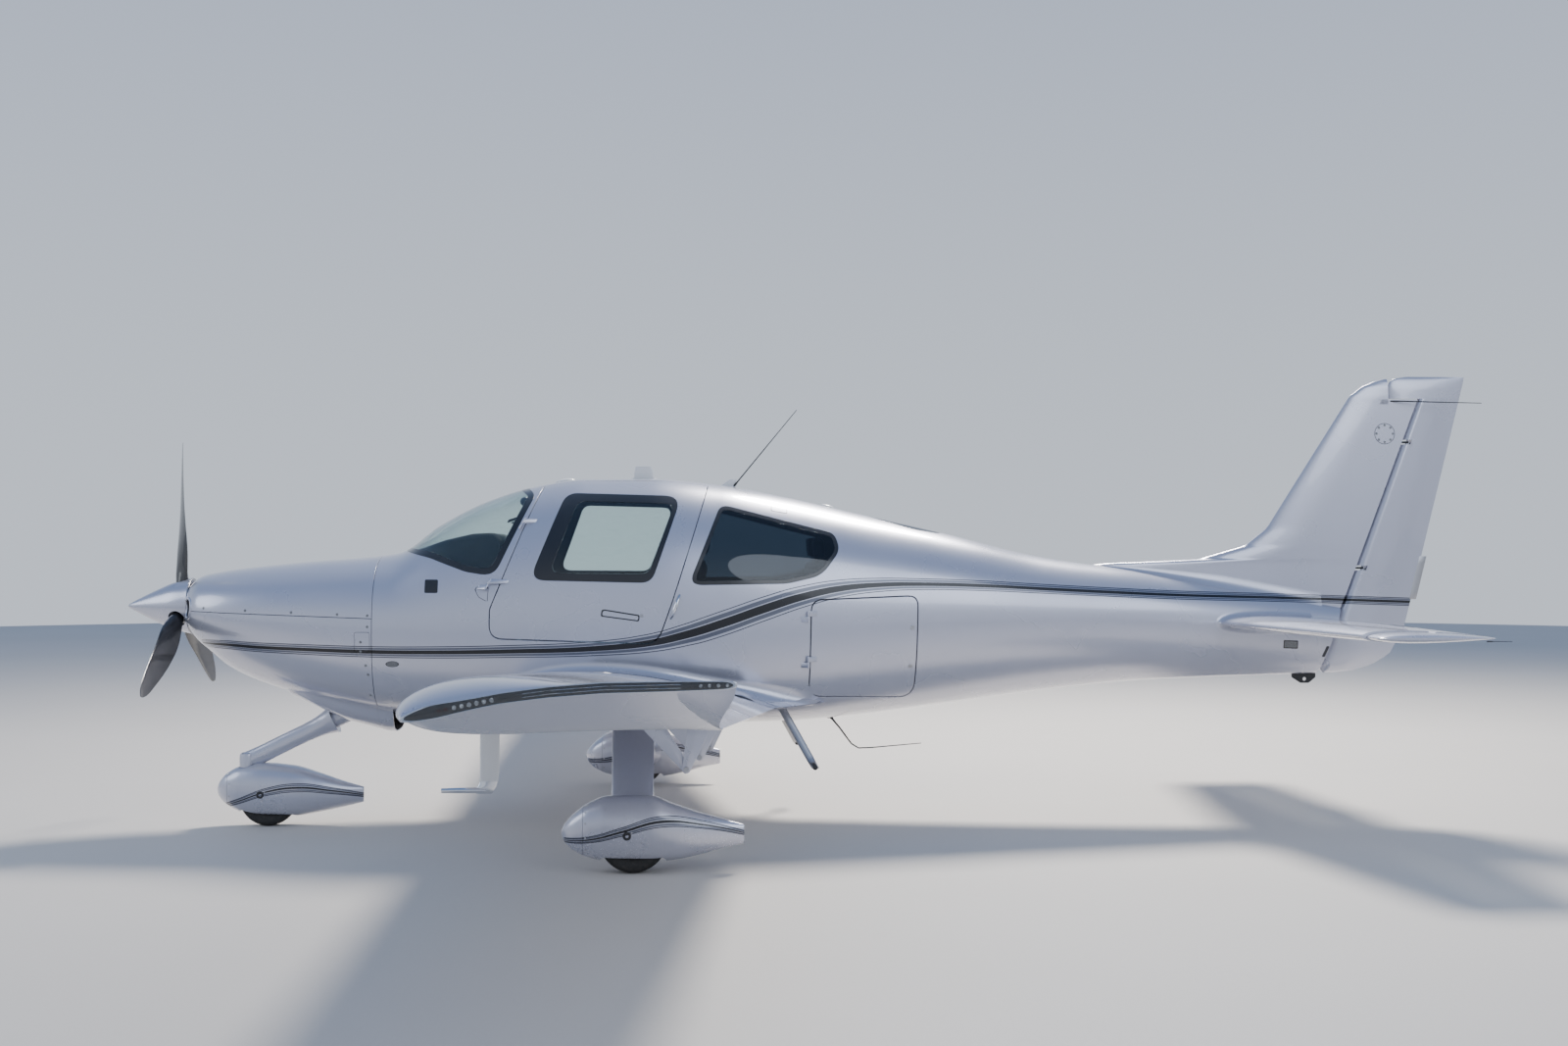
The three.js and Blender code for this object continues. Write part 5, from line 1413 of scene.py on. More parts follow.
class CowlSurface(HullSurface):
    """The cowl: the fuselage's front with a rounded nose bowl and the exhaust chin faired in."""

    front = 375.0
    bowl = 78.0
    pinch = 0.20
    blend = 26.0
    face = 260.0

    def reach(self, x: Array, v: Array) -> Array:
        """Distance from the section's middle to its skin, in the direction of v."""
        up, out = np.cos(v), np.sin(v)
        rise = np.where(up >= 0, CROWN(x) - WAIST(x), WAIST(x) - KEEL(x))
        power = np.where(up >= 0, UPPER(x), LOWER(x))
        hull = (np.abs(up / rise) ** power + np.abs(out / WIDTH(x)) ** power) ** (-1 / power)
        chin = CHIN_SURFACE
        tall = (chin.top - chin.keel(x)) / 2
        middle = chin.top - tall - WAIST(x)
        tried = np.linspace(0, 900, 181).reshape(-1, *([1] * hull.ndim))
        chin_reach = (self.in_chin(tried, up, out, middle, tall, chin.half(x)) * tried).max(0)
        low, high = chin_reach, chin_reach + 5
        for _ in range(10):
            half = (low + high) / 2
            inside = self.in_chin(half, up, out, middle, tall, chin.half(x))
            low, high = np.where(inside, half, low), np.where(inside, high, half)
        chin_reach = np.where((chin_reach > 0) & (up < -0.2) & (x > 885), low, 0.0)
        fade = np.clip((x - 885) / 60, 0, 1)
        chin_reach = np.minimum(chin_reach, hull * 1.5) * fade
        return (hull ** self.blend + chin_reach ** self.blend) ** (1 / self.blend)

    def in_chin(self, half: Array, up: Array, out: Array, middle: Array, tall: Array, wide: Array) -> Array:
        """Whether points at a distance from the section's middle lie inside the chin."""
        return (np.abs((half * up - middle) / tall) ** CHIN_SURFACE.power
                + np.abs(half * out / wide) ** CHIN_SURFACE.power) < 1

    def place(self, u: Array, v: Array) -> Array:
        """Points of the cowl; below the front station u runs across the flat nose face."""
        u = np.asarray(u, float)
        turn = np.clip((self.front + self.bowl - u) / self.bowl, 0, 1) * math.pi / 2
        x = np.where(u > self.front + self.bowl, u, self.front + self.bowl * (1 - np.sin(turn)))
        share = 1 - self.pinch * (1 - np.cos(turn))
        share = share * np.clip(1 - (self.front - u) / self.face, 0.02, 1)
        reach = self.reach(x, v) * share
        return np.stack([x, reach * np.sin(v), WAIST(x) + reach * np.cos(v)
                         + (THRUST_Z - WAIST(x)) * (1 - share)], -1)


CHIN_SURFACE = ChinSurface()
COWL_SURFACE = CowlSurface()


@dataclass
class Fuselage:
    """Cabin, doors, windows and tail cone."""

    shop: Workshop
    pitch: float = 27.0
    around: int = 182
    door_gap: float = 6.0
    pane: float = 6.0
    pane_gap: float = 0.4
    lip: float = 34.0
    eye: tuple[float, float, float] = (2720, 0, 1400)
    baggage_eye: tuple[float, float, float] = (4190, 0, 1080)

    def door_region(self, side: int, gap: float) -> Region:
        """Region of a cabin door, drawn in by a gap."""
        outline = inset(rounded(DOOR), gap)
        return both(side_region(outline), beyond(ROOF_STRIP + gap, side))

    def baggage_region(self, gap: float) -> Region:
        """Region of the baggage door, drawn in by a gap."""
        return both(side_region(inset(rounded(BAGGAGE_DOOR), gap)), beyond(0, -1))

    def cabin_inner(self, outer: Array, normals: Array) -> Array:
        """Inner face of the cabin's skin, flared at the door frames."""
        inner = outer - normals * SKIN
        for region, eye in ((self.door_region(-1, 0), self.eye), (self.door_region(1, 0), self.eye),
                            (self.baggage_region(0), self.baggage_eye)):
            frame_points = np.abs(region(outer)) < 1.5
            inner[frame_points] = toward_eye(eye, SKIN)(outer, normals)[frame_points]
        return inner

    def cabin(self) -> None:
        """Builds the cabin's skin from the firewall to the tail cone."""
        patch = Patch(HULL_SURFACE, steps(CABIN_FRONT, CABIN_END, self.pitch),
                      arc_angles(HULL_SURFACE, 2900, self.around))
        windows = [side_region(rounded(WINDSHIELD, 12)), side_region(rounded(REAR_WINDOW)),
                   both(plan_region(rounded(ROOF_WINDOW)), half_space(2, 1500))]
        patch.trim_all(outside(region) for region in windows)
        patch.trim_all(outside(self.door_region(side, 0)) for _, side in SIDES)
        patch.trim(outside(self.baggage_region(0)))
        shell = Shell(patch, SKIN, 1.6, self.cabin_inner, (CABIN_END, CABIN_FRONT))
        skin = self.shop.fit(shell.build("cabin_skin"), Finishes.BANDED, nodes=("cabin_left", "cabin_right"))
        self.shop.line(skin, shell, Finishes.LINING)

    def tail_cone(self) -> None:
        """Builds the tail cone and the wall that closes it ahead of the rudder."""
        patch = Patch(HULL_SURFACE, steps(CABIN_END, 7150, 34), arc_angles(HULL_SURFACE, 4720, 114))
        patch.trim(lambda points: rudder_axis(points[:, 2]) - rudder_reach(points[:, 2]) - points[:, 0])
        shell = Shell(patch, 12, 1.5, None, (CABIN_END,))
        self.shop.fit(shell.build("tail_cone_skin"), Finishes.BANDED, nodes=("tail_cone",))
        maker = MeshMaker()
        heights = np.linspace(852, 1243, 40)
        x = rudder_axis(heights) - rudder_reach(heights) - 3
        half = np.maximum(hull_y(x, heights) - 5, 1)
        for shift in (0, -5):
            port = np.stack([x + shift, -half, heights], 1)
            starboard = np.stack([x + shift, half, heights], 1)[::-1]
            maker.points.append(np.vstack([port, starboard]))
        rings = maker.points
        maker = MeshMaker().loft(rings)
        self.shop.fit(maker.build("tail_cone_wall"), Finishes.PEARL)
        ring = HULL_SURFACE.place(np.full(96, CABIN_END - 6.0),
                                  arc_angles(HULL_SURFACE, CABIN_END - 6, 97)[:-1])
        middle = np.array((CABIN_END - 6.0, 0, 1185))
        inner = middle + (ring - middle) * 0.95
        wall = MeshMaker().loft([inner, inner + (14, 0, 0)])
        self.shop.fit(wall.build("cabin_rear_wall"), Finishes.LINING, slot="cabin_trim")

    def pane_piece(self, name: str, regions: Sequence[Region], span: tuple[float, float],
                   angles: tuple[float, float],
                   finish: Finish, body: str, nodes: Sequence[str], slot: str, thickness: float = 6.0,
                   pitch: float = 20.0) -> bpy.types.Object:
        """Builds a pane or a border strip flush with the skin.

        Args:
            name: Piece's name.
            regions: Regions that it is trimmed to.
            span: First and last station of its grid.
            angles: First and last angle of its grid.
            finish: Its finish.
            body: Body that it moves with.
            nodes: Solid nodes that it stands for.
            slot: Not used.
            thickness: Its thickness.
            pitch: Grid's pitch.

        Returns:
            The piece.
        """
        girth = abs(angles[1] - angles[0]) * 620
        patch = Patch(HULL_SURFACE, steps(span[0], span[1], pitch),
                      arc_angles(HULL_SURFACE, sum(span) / 2, round(girth / pitch) + 1, *angles),
                      fixed_ends=False)
        shell = Shell(patch.trim_all(regions), thickness, 0.8)
        return self.shop.fit(shell.build(name), finish, body, nodes, slot)

    def windows(self) -> None:
        """Builds the fixed windows with their black borders."""
        edge = rounded(WINDSHIELD, 12)
        whole = side_region(inset(edge, self.pane_gap))
        clear = side_region(inset(rounded(WINDSHIELD, 3), self.lip))
        span, angles = (1545, 2365), (-1.9, 1.9)
        self.pane_piece("windshield_pane", (clear,), span, angles, Finishes.CLEAR, "airframe",
                        ("windshield",), "clear_glazing")
        self.pane_piece("windshield_border", (whole, outside(clear)), span, angles, Finishes.BORDER,
                        "airframe",
                        (), "clear_glazing", self.pane + 2)
        roof_edge = rounded(ROOF_WINDOW)
        up = half_space(2, 1500)
        whole = both(plan_region(inset(roof_edge, self.pane_gap)), up)
        clear = both(plan_region(inset(roof_edge, 16)), up)
        span, angles = (4195, 4718), (-0.75, 0.75)
        self.pane_piece("roof_window_pane", (clear,), span, angles, Finishes.SMOKED, "airframe",
                        ("roof_window",), "smoked_glazing")
        self.pane_piece("roof_window_border", (whole, outside(clear)), span, angles, Finishes.BORDER,
                        "airframe",
                        (), "smoked_glazing", self.pane + 2)
        for side_name, side in SIDES:
            whole = side_region(inset(rounded(REAR_WINDOW), self.pane_gap))
            clear = side_region(inset(rounded(REAR_WINDOW), 22))
            span, angles = (3180, 4090), (side * 0.4, side * 1.75)
            self.pane_piece(f"rear_pane_{side_name}", (clear,), span, angles if side > 0 else angles[::-1],
                            Finishes.SMOKED, "airframe", (f"rear_window_{side_name}",), "smoked_glazing")
            self.pane_piece(f"rear_border_{side_name}", (whole, outside(clear)), span,
                            angles if side > 0 else angles[::-1], Finishes.BORDER, "airframe", (),
                            "smoked_glazing", self.pane + 2)

    def doors(self) -> None:
        """Builds the cabin doors with their windows and hinges."""
        for side_name, side in SIDES:
            body = f"door_{side_name}"
            angles = (0.1, 2.0) if side > 0 else (-2.0, -0.1)
            columns = arc_angles(HULL_SURFACE, 2700, 90, *angles)
            hole = side_region(rounded(DOOR_WINDOW))
            patch = Patch(HULL_SURFACE, steps(2070, 3350, 20), columns, fixed_ends=False)
            patch.trim_all((self.door_region(side, self.door_gap), outside(hole)))
            shell = Shell(patch, SKIN, 1.6, toward_eye(self.eye, SKIN))
            panel = self.shop.fit(shell.build(f"door_panel_{side_name}"), Finishes.BANDED, body, (body,))
            self.shop.line(panel, shell, Finishes.LINING)
            whole = side_region(inset(rounded(DOOR_WINDOW), self.pane_gap))
            clear = side_region(rounded(DOOR_GLASS))
            span = (2310, 3190)
            self.pane_piece(f"door_pane_{side_name}", (clear,), span, angles, Finishes.CLEAR, body,
                            (f"door_window_{side_name}",), "clear_glazing")
            self.pane_piece(f"door_border_{side_name}", (whole, outside(clear)), span, angles,
                            Finishes.BORDER,
                            body, (), "clear_glazing", self.pane + 2)
            self.hinges(side_name, side)

    def hinges(self, side_name: str, side: int) -> None:
        """Builds the two hinge fairings of a cabin door, half on the cabin and half on the door."""
        start, end = (on_hull(x, z, side) + (-6, side * 26, 8) for x, z in DOOR_HINGE)
        along = (end - start) / np.linalg.norm(end - start)
        leaves = (("airframe", "cabin_hinges", ((0, 0.0745, -48), (0.85, 0.9245, 3))),
                  (f"door_{side_name}", "door_hinges", ((0.0755, 0.15, 105), (0.9255, 1, 72))))
        for body, label, rows in leaves:
            maker = MeshMaker()
            for low, high, aft in rows:
                a, b = start + (end - start) * low, start + (end - start) * high
                a, b = a + along * 0.4, b - along * 0.4
                middle = (a + b) / 2
                maker.bar(a, b, 6.0, sides=24, ease=1.2)
                foot_x, foot_z = middle[0] + aft, middle[2]
                foot = on_hull(foot_x, foot_z, side)
                root = on_hull(middle[0] + aft * 0.3, middle[2], side)
                rings = []
                for t in np.linspace(0, 1, 12):
                    spot = (1 - t) ** 2 * middle + 2 * t * (1 - t) * (root + (0, side * 22, 0)) + t * t * foot
                    thick = 4.6 * (1 - t) + 1.2
                    across = np.cross(along, (0, side, 0))
                    across = across / np.linalg.norm(across)
                    angle = np.linspace(0, 2 * math.pi, 20, endpoint=False)
                    half = float(np.linalg.norm(b - a)) / 2 * (1 - 0.25 * t)
                    rings.append(spot + np.outer(np.cos(angle) * half, along)
                                 + np.outer(np.sin(angle) * thick, (0, 1.0, 0)))
                maker.loft(rings)
            self.shop.fit(maker.build(f"{label}_{side_name}", 50), Finishes.PEARL, body)

    def baggage(self) -> None:
        """Builds the baggage door with its hinge and two locks."""
        patch = Patch(HULL_SURFACE, steps(3866, 4530, 20), arc_angles(HULL_SURFACE, 4190, 56, -2.75, -0.9),
                      fixed_ends=False)
        patch.trim(self.baggage_region(self.door_gap))
        shell = Shell(patch, SKIN, 1.6, toward_eye(self.baggage_eye, SKIN))
        panel = self.shop.fit(shell.build("baggage_door_panel"), Finishes.BANDED, "baggage_door",
                              ("baggage_door",))
        self.shop.line(panel, shell, Finishes.LINING)
        y = -float(hull_y(3876, 1090)) - 15
        for body, label, shares, foot in (("airframe", "baggage_hinge_fixed", ((0, 0.099), (0.8, 0.899)),
                                           -40),
                                          ("baggage_door", "baggage_hinge_moving",
                                           ((0.101, 0.2), (0.901, 1)), 50)):
            maker = MeshMaker()
            for low, high in shares:
                z0, z1 = 930 + 320 * low + 0.3, 930 + 320 * high - 0.3
                maker.bar((3876, y, z0), (3876, y, z1), 8, sides=24, ease=1.2)
                x = 3876 + foot
                skin = -float(hull_y(x, (z0 + z1) / 2))
                outline = ((3876, y - 4), (x, skin - 2.0), (x, skin + 5), (3876, y + 5))
                maker.prism(outline, "xy", z0 + 1, z1 - 1)
            self.shop.fit(maker.build(label, 35, 0.8), Finishes.PEARL, body)
        maker = MeshMaker()
        for x, z in ((4468, 930), (4476, 1150)):
            at = on_hull(x, z, -1)
            normal = outward(x, z, -1)
            maker.lathe(at - normal * 3, normal,
                        ((0, 13), (3.6, 13), (4.6, 12), (4.6, 6), (3.4, 5.4), (3.4, 0)), 28)
        self.shop.fit(maker.build("baggage_locks", 30), Finishes.STEEL, "baggage_door", slot="steel")


def outward(x: float, z: float, side: int) -> Array:
    """Outward unit normal of the fuselage's side at a station and height."""
    ahead = on_hull(x + 1, z, side) - on_hull(x - 1, z, side)
    above = on_hull(x, z + 1, side) - on_hull(x, z - 1, side)
    normal = np.cross(ahead, above)
    return normal / np.linalg.norm(normal) * (1 if normal[1] * side > 0 else -1)


RUDDER_REACH = ((600, 66), (1111, 66), (1336, 54), (1959, 46), (2800, 36))


def rudder_axis(z: Array | float) -> Array:
    """Station of the rudder's hinge line at a height."""
    return 7370 + 0.372 * (np.asarray(z, float) - 1716)


def rudder_reach(z: Array | float) -> Array:
    """Distance ahead of the hinge line that the rudder's room takes."""
    return linear(RUDDER_REACH, z, 1)


@dataclass
class Cowl:
    """Engine cowl with its inlets, oil door and outlet."""

    shop: Workshop
    thickness: float = 10.0
    seam: float = 1.5
    inlet_r: float = 58.0
    inlet_y: float = 236.0
    inlet_z: float = 1260.0
    shaft_r: float = 80.0
    leg_room: float = 60.0
    end_gap: float = 3.2
    chin_end: float = 1545.0

    def above_split(self, points: Array) -> Array:
        """Height above the seam between the two cowl halves."""
        return points[:, 2] - (1251 - 42 * (points[:, 0] - 300) / 1220)

    def openings(self) -> list[Region]:
        """Regions left after the inlets, the shaft hole and the leg slot are cut."""
        regions: list[Region] = [
            lambda points: np.where(points[:, 0] < 460, np.hypot(points[:, 1], points[:, 2] - THRUST_Z)
                                    - self.shaft_r, 99.0)]
        for _, side in SIDES:
            regions.append(lambda points, side=side: np.where(
                points[:, 0] < 620, np.hypot(points[:, 1] - side * self.inlet_y, points[:, 2] - self.inlet_z)
                - self.inlet_r, 99.0))
        regions.append(lambda points: np.where(points[:, 2] < 760, near_polyline(
            points, ((640, 0, 352), (760, 0, 407), (1210, 0, 626), (1467.7, 0, 750))) - self.leg_room, 99.0))
        return regions

    def halves(self) -> None:
        """Builds the upper and lower cowl."""
        us = np.concatenate([np.linspace(COWL_SURFACE.front - COWL_SURFACE.face * 0.66, COWL_SURFACE.front,
                                         12)[:-1],
                             np.linspace(COWL_SURFACE.front, COWL_SURFACE.front + COWL_SURFACE.bowl, 10)[:-1],
                             steps(COWL_SURFACE.front + COWL_SURFACE.bowl, COWL_END - self.end_gap, 18)])
        oil = both(side_region(rounded(OIL_DOOR)), beyond(0, -1))
        for name, sign in (("cowl_upper", 1), ("cowl_lower", -1)):
            patch = Patch(COWL_SURFACE, us, arc_angles(COWL_SURFACE, 1200, 196))
            patch.pitch = 18.0
            patch.trim(lambda points, sign=sign: sign * self.above_split(points) - self.seam)
            patch.trim_all(self.openings())
            if sign < 0:
                patch.trim(outside(oil))
            shell = Shell(patch, self.thickness, 1.1)
            skin = self.shop.fit(shell.build(f"{name}_skin"), Finishes.BANDED, nodes=(name,))
            self.shop.line(skin, shell, Finishes.PLASTIC)
        patch = Patch(COWL_SURFACE, steps(1340, 1464, 12), arc_angles(COWL_SURFACE, 1400, 40, -2.1, -1.3),
                      fixed_ends=False)
        patch.trim(both(side_region(inset(rounded(OIL_DOOR), 1.6)), beyond(0, -1)))
        self.shop.fit(Shell(patch, 4, 0.7).build("oil_door"), Finishes.BANDED)
        patch = Patch(COWL_SURFACE, steps(1340, 1464, 12), arc_angles(COWL_SURFACE, 1400, 40, -2.1, -1.3),
                      fixed_ends=False)
        patch.trim(both(side_region(inset(rounded(OIL_DOOR), -8)), beyond(0, -1)))
        lining = Shell(patch, 3, 0)
        for points in lining.points:
            points[:, 1] += 10.2
        self.shop.fit(lining.build("oil_door_frame"), Finishes.SEAM_AND_SHADE)

    def chin_tail(self) -> None:
        """Builds the rear of the exhaust chin, behind the firewall's seam."""
        patch = Patch(COWL_SURFACE, steps(COWL_END - self.end_gap + 0.6, self.chin_end, 9),
                      arc_angles(COWL_SURFACE, 1464, 180, 1.6, 2 * math.pi - 1.6), fixed_ends=False)
        patch.trim(lambda points: np.maximum(hull_excess(points, 1.5), KEEL(points[:, 0]) - 6 - points[:, 2]))
        shell = Shell(patch, 6, 1.0)
        skin = self.shop.fit(shell.build("chin_tail"), Finishes.PEARL)
        self.shop.line(skin, shell, Finishes.SOOT)

    def inlet_path(self, side: int, radius: float) -> Array:
        """Points of the nose where an inlet of a radius meets it."""
        u, v = np.meshgrid(np.linspace(360, 600, 260), np.linspace(0, 2 * math.pi, 900, endpoint=False),
                           indexing="ij")
        cloud = COWL_SURFACE.place(u.ravel(), v.ravel())
        cloud = cloud[side * cloud[:, 1] > 0]
        path = []
        for angle in np.linspace(0, 2 * math.pi, 72, endpoint=False):
            y = side * (self.inlet_y + radius * math.cos(angle))
            z = self.inlet_z + radius * math.sin(angle)
            gap = np.hypot(cloud[:, 1] - y, cloud[:, 2] - z)
            near = np.argsort(gap)[:4]
            weight = 1 / (gap[near] + 0.2)
            path.append((float((cloud[near, 0] * weight).sum() / weight.sum()), y, z))
        ring = np.array(path)
        for _ in range(3):
            ring[:, 0] = (np.roll(ring[:, 0], 1) + ring[:, 0] * 2 + np.roll(ring[:, 0], -1)) / 4
        return ring

    def inlets(self) -> None:
        """Builds the lips and ducts of the cooling inlets."""
        for side_name, side in SIDES:
            edge = self.inlet_path(side, self.inlet_r - 1)
            middle = edge.mean(0)
            out = edge - middle
            out[:, 0] = 0
            out /= np.linalg.norm(out, axis=1, keepdims=True)
            rings = []
            for angle in np.linspace(0, 2 * math.pi, 20, endpoint=False):
                rings.append(edge + out * 8 * math.cos(angle) + np.array((8 * math.sin(angle) + 1.5, 0, 0)))
            maker = MeshMaker()
            maker.loft([*rings, rings[0]], caps=False)
            self.shop.fit(maker.build(f"inlet_lip_{side_name}", 60), Finishes.BANDED)
            outer, inner = edge + out * 1 + (6, 0, 0), edge - out * 3 + (6, 0, 0)
            rings = [outer]
            for x, r in ((590, self.inlet_r + 6), (590, self.inlet_r + 1)):
                ring = middle + out * r
                ring[:, 0] = x
                rings.append(ring)
            rings.append(inner)
            maker = MeshMaker()
            maker.loft([*rings, rings[0]], caps=False)
            self.shop.fit(maker.build(f"inlet_duct_{side_name}", 40), Finishes.PLASTIC)

    def exhaust(self) -> None:
        """Builds the two exhaust pipes in the outlet under the cowl."""
        for side_name, side in SIDES:
            maker = MeshMaker()
            path = np.array(((1380, side * 150, 704), (1430, side * 152, 684), (1466, side * 154, 658),
                             (1494, side * 155, 632), (1508, side * 155, 620)), float)
            maker.tube(path, (27, 27, 27, 26, 26), 28)
            self.shop.fit(maker.build(f"exhaust_pipe_{side_name}", 50), Finishes.SOOT, slot="steel")
            end = path[-1]
            along = (path[-1] - path[-2]) / np.linalg.norm(path[-1] - path[-2])
            # A dark disc just inside each pipe's end: painted shade of the hollow bore, together with its
            # real soot
            dark = MeshMaker().lathe(end - along * 1, along, ((0, 23), (1.6, 23), (1.6, 0)), 28)
            self.shop.fit(dark.build(f"exhaust_mouth_{side_name}", 40), Finishes.SEAM_AND_SHADE, slot="steel")

    def build(self) -> None:
        """Builds the whole cowl."""
        self.halves()
        self.chin_tail()
        self.inlets()
        self.exhaust()


OIL_DOOR = ((1366, 1023, 12), (1453, 1023, 12), (1453, 1137, 12), (1366, 1137, 12))


# Wing sections: distance out, leading and trailing edge, their heights, thickness and camber shares
WING = ((400, 2110, 4030, 802, 736, 0.115, 0.03), (520, 2150, 3900, 794, 722, 0.125, 0.03),
        (600, 2172, 3724, 788, 712, 0.148, 0.03), (700, 2180, 3684, 792, 718, 0.155, 0.03),
        (5500, 2310, 3208, 1150, 1092, 0.185, 0.045))
TIP_EDGE = ((0, 1157), (0.08, 1175), (0.2, 1196), (0.3, 1213), (0.44, 1228), (0.6, 1238), (1, 1244))
TIP_START, TIP_END = 5500.0, 5832.0
TIP_FRONT, TIP_BACK = 2352.0, 3238.0


def section_half(c: Array) -> Array:
    """Half thickness of a wing section, as a share of its thickness."""
    return 5 * (0.2969 * np.sqrt(c) - 0.126 * c - 0.3516 * c ** 2 + 0.2843 * c ** 3 - 0.1015 * c ** 4)


def wing_point(y: Array | float, c: Array | float, face: Array | float) -> Array:
    """Points of the starboard wing.

    Args:
        y: Distances out from the middle.
        c: Shares of the chord from the leading edge.
        face: 1 on the upper surface and -1 on the lower one.

    Returns:
        The points.
    """
    y, c, face = np.broadcast_arrays(np.asarray(y, float), np.asarray(c, float), np.asarray(face, float))
    share = np.clip((y - TIP_START) / (TIP_END - TIP_START), 0, 1)
    lead = linear(WING, y, 1) * (1 - share ** 3) + TIP_FRONT * share ** 3
    trail = linear(WING, y, 2) * (1 - share ** 3) + TIP_BACK * share ** 3
    chord = trail - lead
    middle = (linear(WING, y, 3) * (1 - c) + linear(WING, y, 4) * c
              + 4 * linear(WING, y, 6) * c * (1 - c) * chord)
    z = middle + face * section_half(c) * linear(WING, y, 5) * chord
    edge = linear(TIP_EDGE, c, 1) + face * (3 + 10 * np.sqrt(np.clip(c * (1 - c), 0, 1)))
    turn = np.where(face > 0, 1 - np.sqrt(1 - share ** 2), share ** 1.6)
    return np.stack([lead + c * chord, y, z + (edge - z) * turn], -1)


def nose_axis(y: Array | float, hinge: float) -> tuple[Array, Array, Array]:
    """Station, height and radius of a control surface's nose on the wing."""
    top, bottom = wing_point(y, hinge, 1), wing_point(y, hinge, -1)
    return top[..., 0], (top[..., 2] + bottom[..., 2]) / 2, (top[..., 2] - bottom[..., 2]) / 2


class WingSurface(Surface):
    """A wing: u is the distance out, v runs from the trailing edge round the nose and back.

    On the starboard wing v starts on the upper face, on the port wing on the lower one.
    """

    step_u = 0.5
    step_v = 0.0005

    def __init__(self, side: int) -> None:
        """Takes the wing's side."""
        self.side = side

    def place(self, u: Array, v: Array) -> Array:
        """Points of the wing."""
        face = np.where(v * self.side < 0, 1.0, -1.0)
        points = wing_point(u, np.clip(v * v, 0, 1), face)
        points[..., 1] *= self.side
        return points


def bezier(a: Array, b: Array, c: Array, count: int) -> Array:
    """Points of a curve from a to c that leaves and arrives in the direction of b."""
    t = np.linspace(0, 1, count)[:, None]
    return (1 - t) ** 2 * a + 2 * t * (1 - t) * b + t * t * c


def hull_outline(points: Array) -> Array:
    """Convex outline round points in a plane."""
    rows = sorted(map(tuple, points))
    halves = []
    for line in (rows, rows[::-1]):
        half: list[tuple[float, float]] = []
        for p in line:
            while len(half) > 1 and ((half[-1][0] - half[-2][0]) * (p[1] - half[-2][1])
                                     <= (half[-1][1] - half[-2][1]) * (p[0] - half[-2][0])):
                half.pop()
            half.append(p)
        halves += half[:-1]
    return np.array(halves)


def fillet(rows: Iterable[tuple[Array, Array, Array]], count: int = 11) -> MeshMaker:
    """Filler between two surfaces.

    Args:
        rows: Points on the first surface, on the joint and on the second surface.
        count: Points across the filler.

    Returns:
        A maker that holds the filler.
    """
    rings = []
    for a, corner, b in rows:
        behind = corner + (corner - (a + b) / 2) * 0.35
        rings.append(np.vstack([bezier(a, corner, b, count), behind[None]]))
    return MeshMaker().loft(rings)


def root_rows(place: Callable[[float, float], Array], vs: Array, start: float, side: int,
              radius: Callable[[float], tuple[float, float]]) -> list[tuple[Array, Array, Array]]:
    """Rows of a filler between the fuselage and a wing-like surface.

    Args:
        place: Point of the surface from a distance out and a value of v.
        vs: Values of v along the joint.
        start: First guess of the joint's distance out.
        side: Side of the aircraft.
        radius: Reach of the filler on the surface and on the fuselage, from v.

    Returns:
        Points on the surface, on the joint and on the fuselage.
    """
    joint, outs = [], []
    for v in vs:
        y = start
        for _ in range(25):
            p = place(y, v)
            y = 0.5 * y + 0.5 * max(float(hull_y(p[0], p[2])), 20.0)
        joint.append(place(y, v))
        outs.append(y)
    line = np.array(joint)
    along = np.gradient(line, axis=0)
    rows = []
    for i, v in enumerate(vs):
        reach, rise = radius(v)
        corner = line[i]
        hull_normal = outward(corner[0], corner[2], side)
        away = np.cross(along[i], hull_normal)
        away /= max(float(np.linalg.norm(away)), 1e-9)
        if abs(v) < 0.5:
            inward = away @ (corner - line.mean(0)) < 0
        else:
            inward = (away[2] > 0) != (corner[2] > place(outs[i], -v)[2])
        away = -away if inward else away
        spot = corner + away * rise
        rows.append((place(outs[i] + reach, v), corner, on_hull(spot[0], spot[2], side)))
    return rows


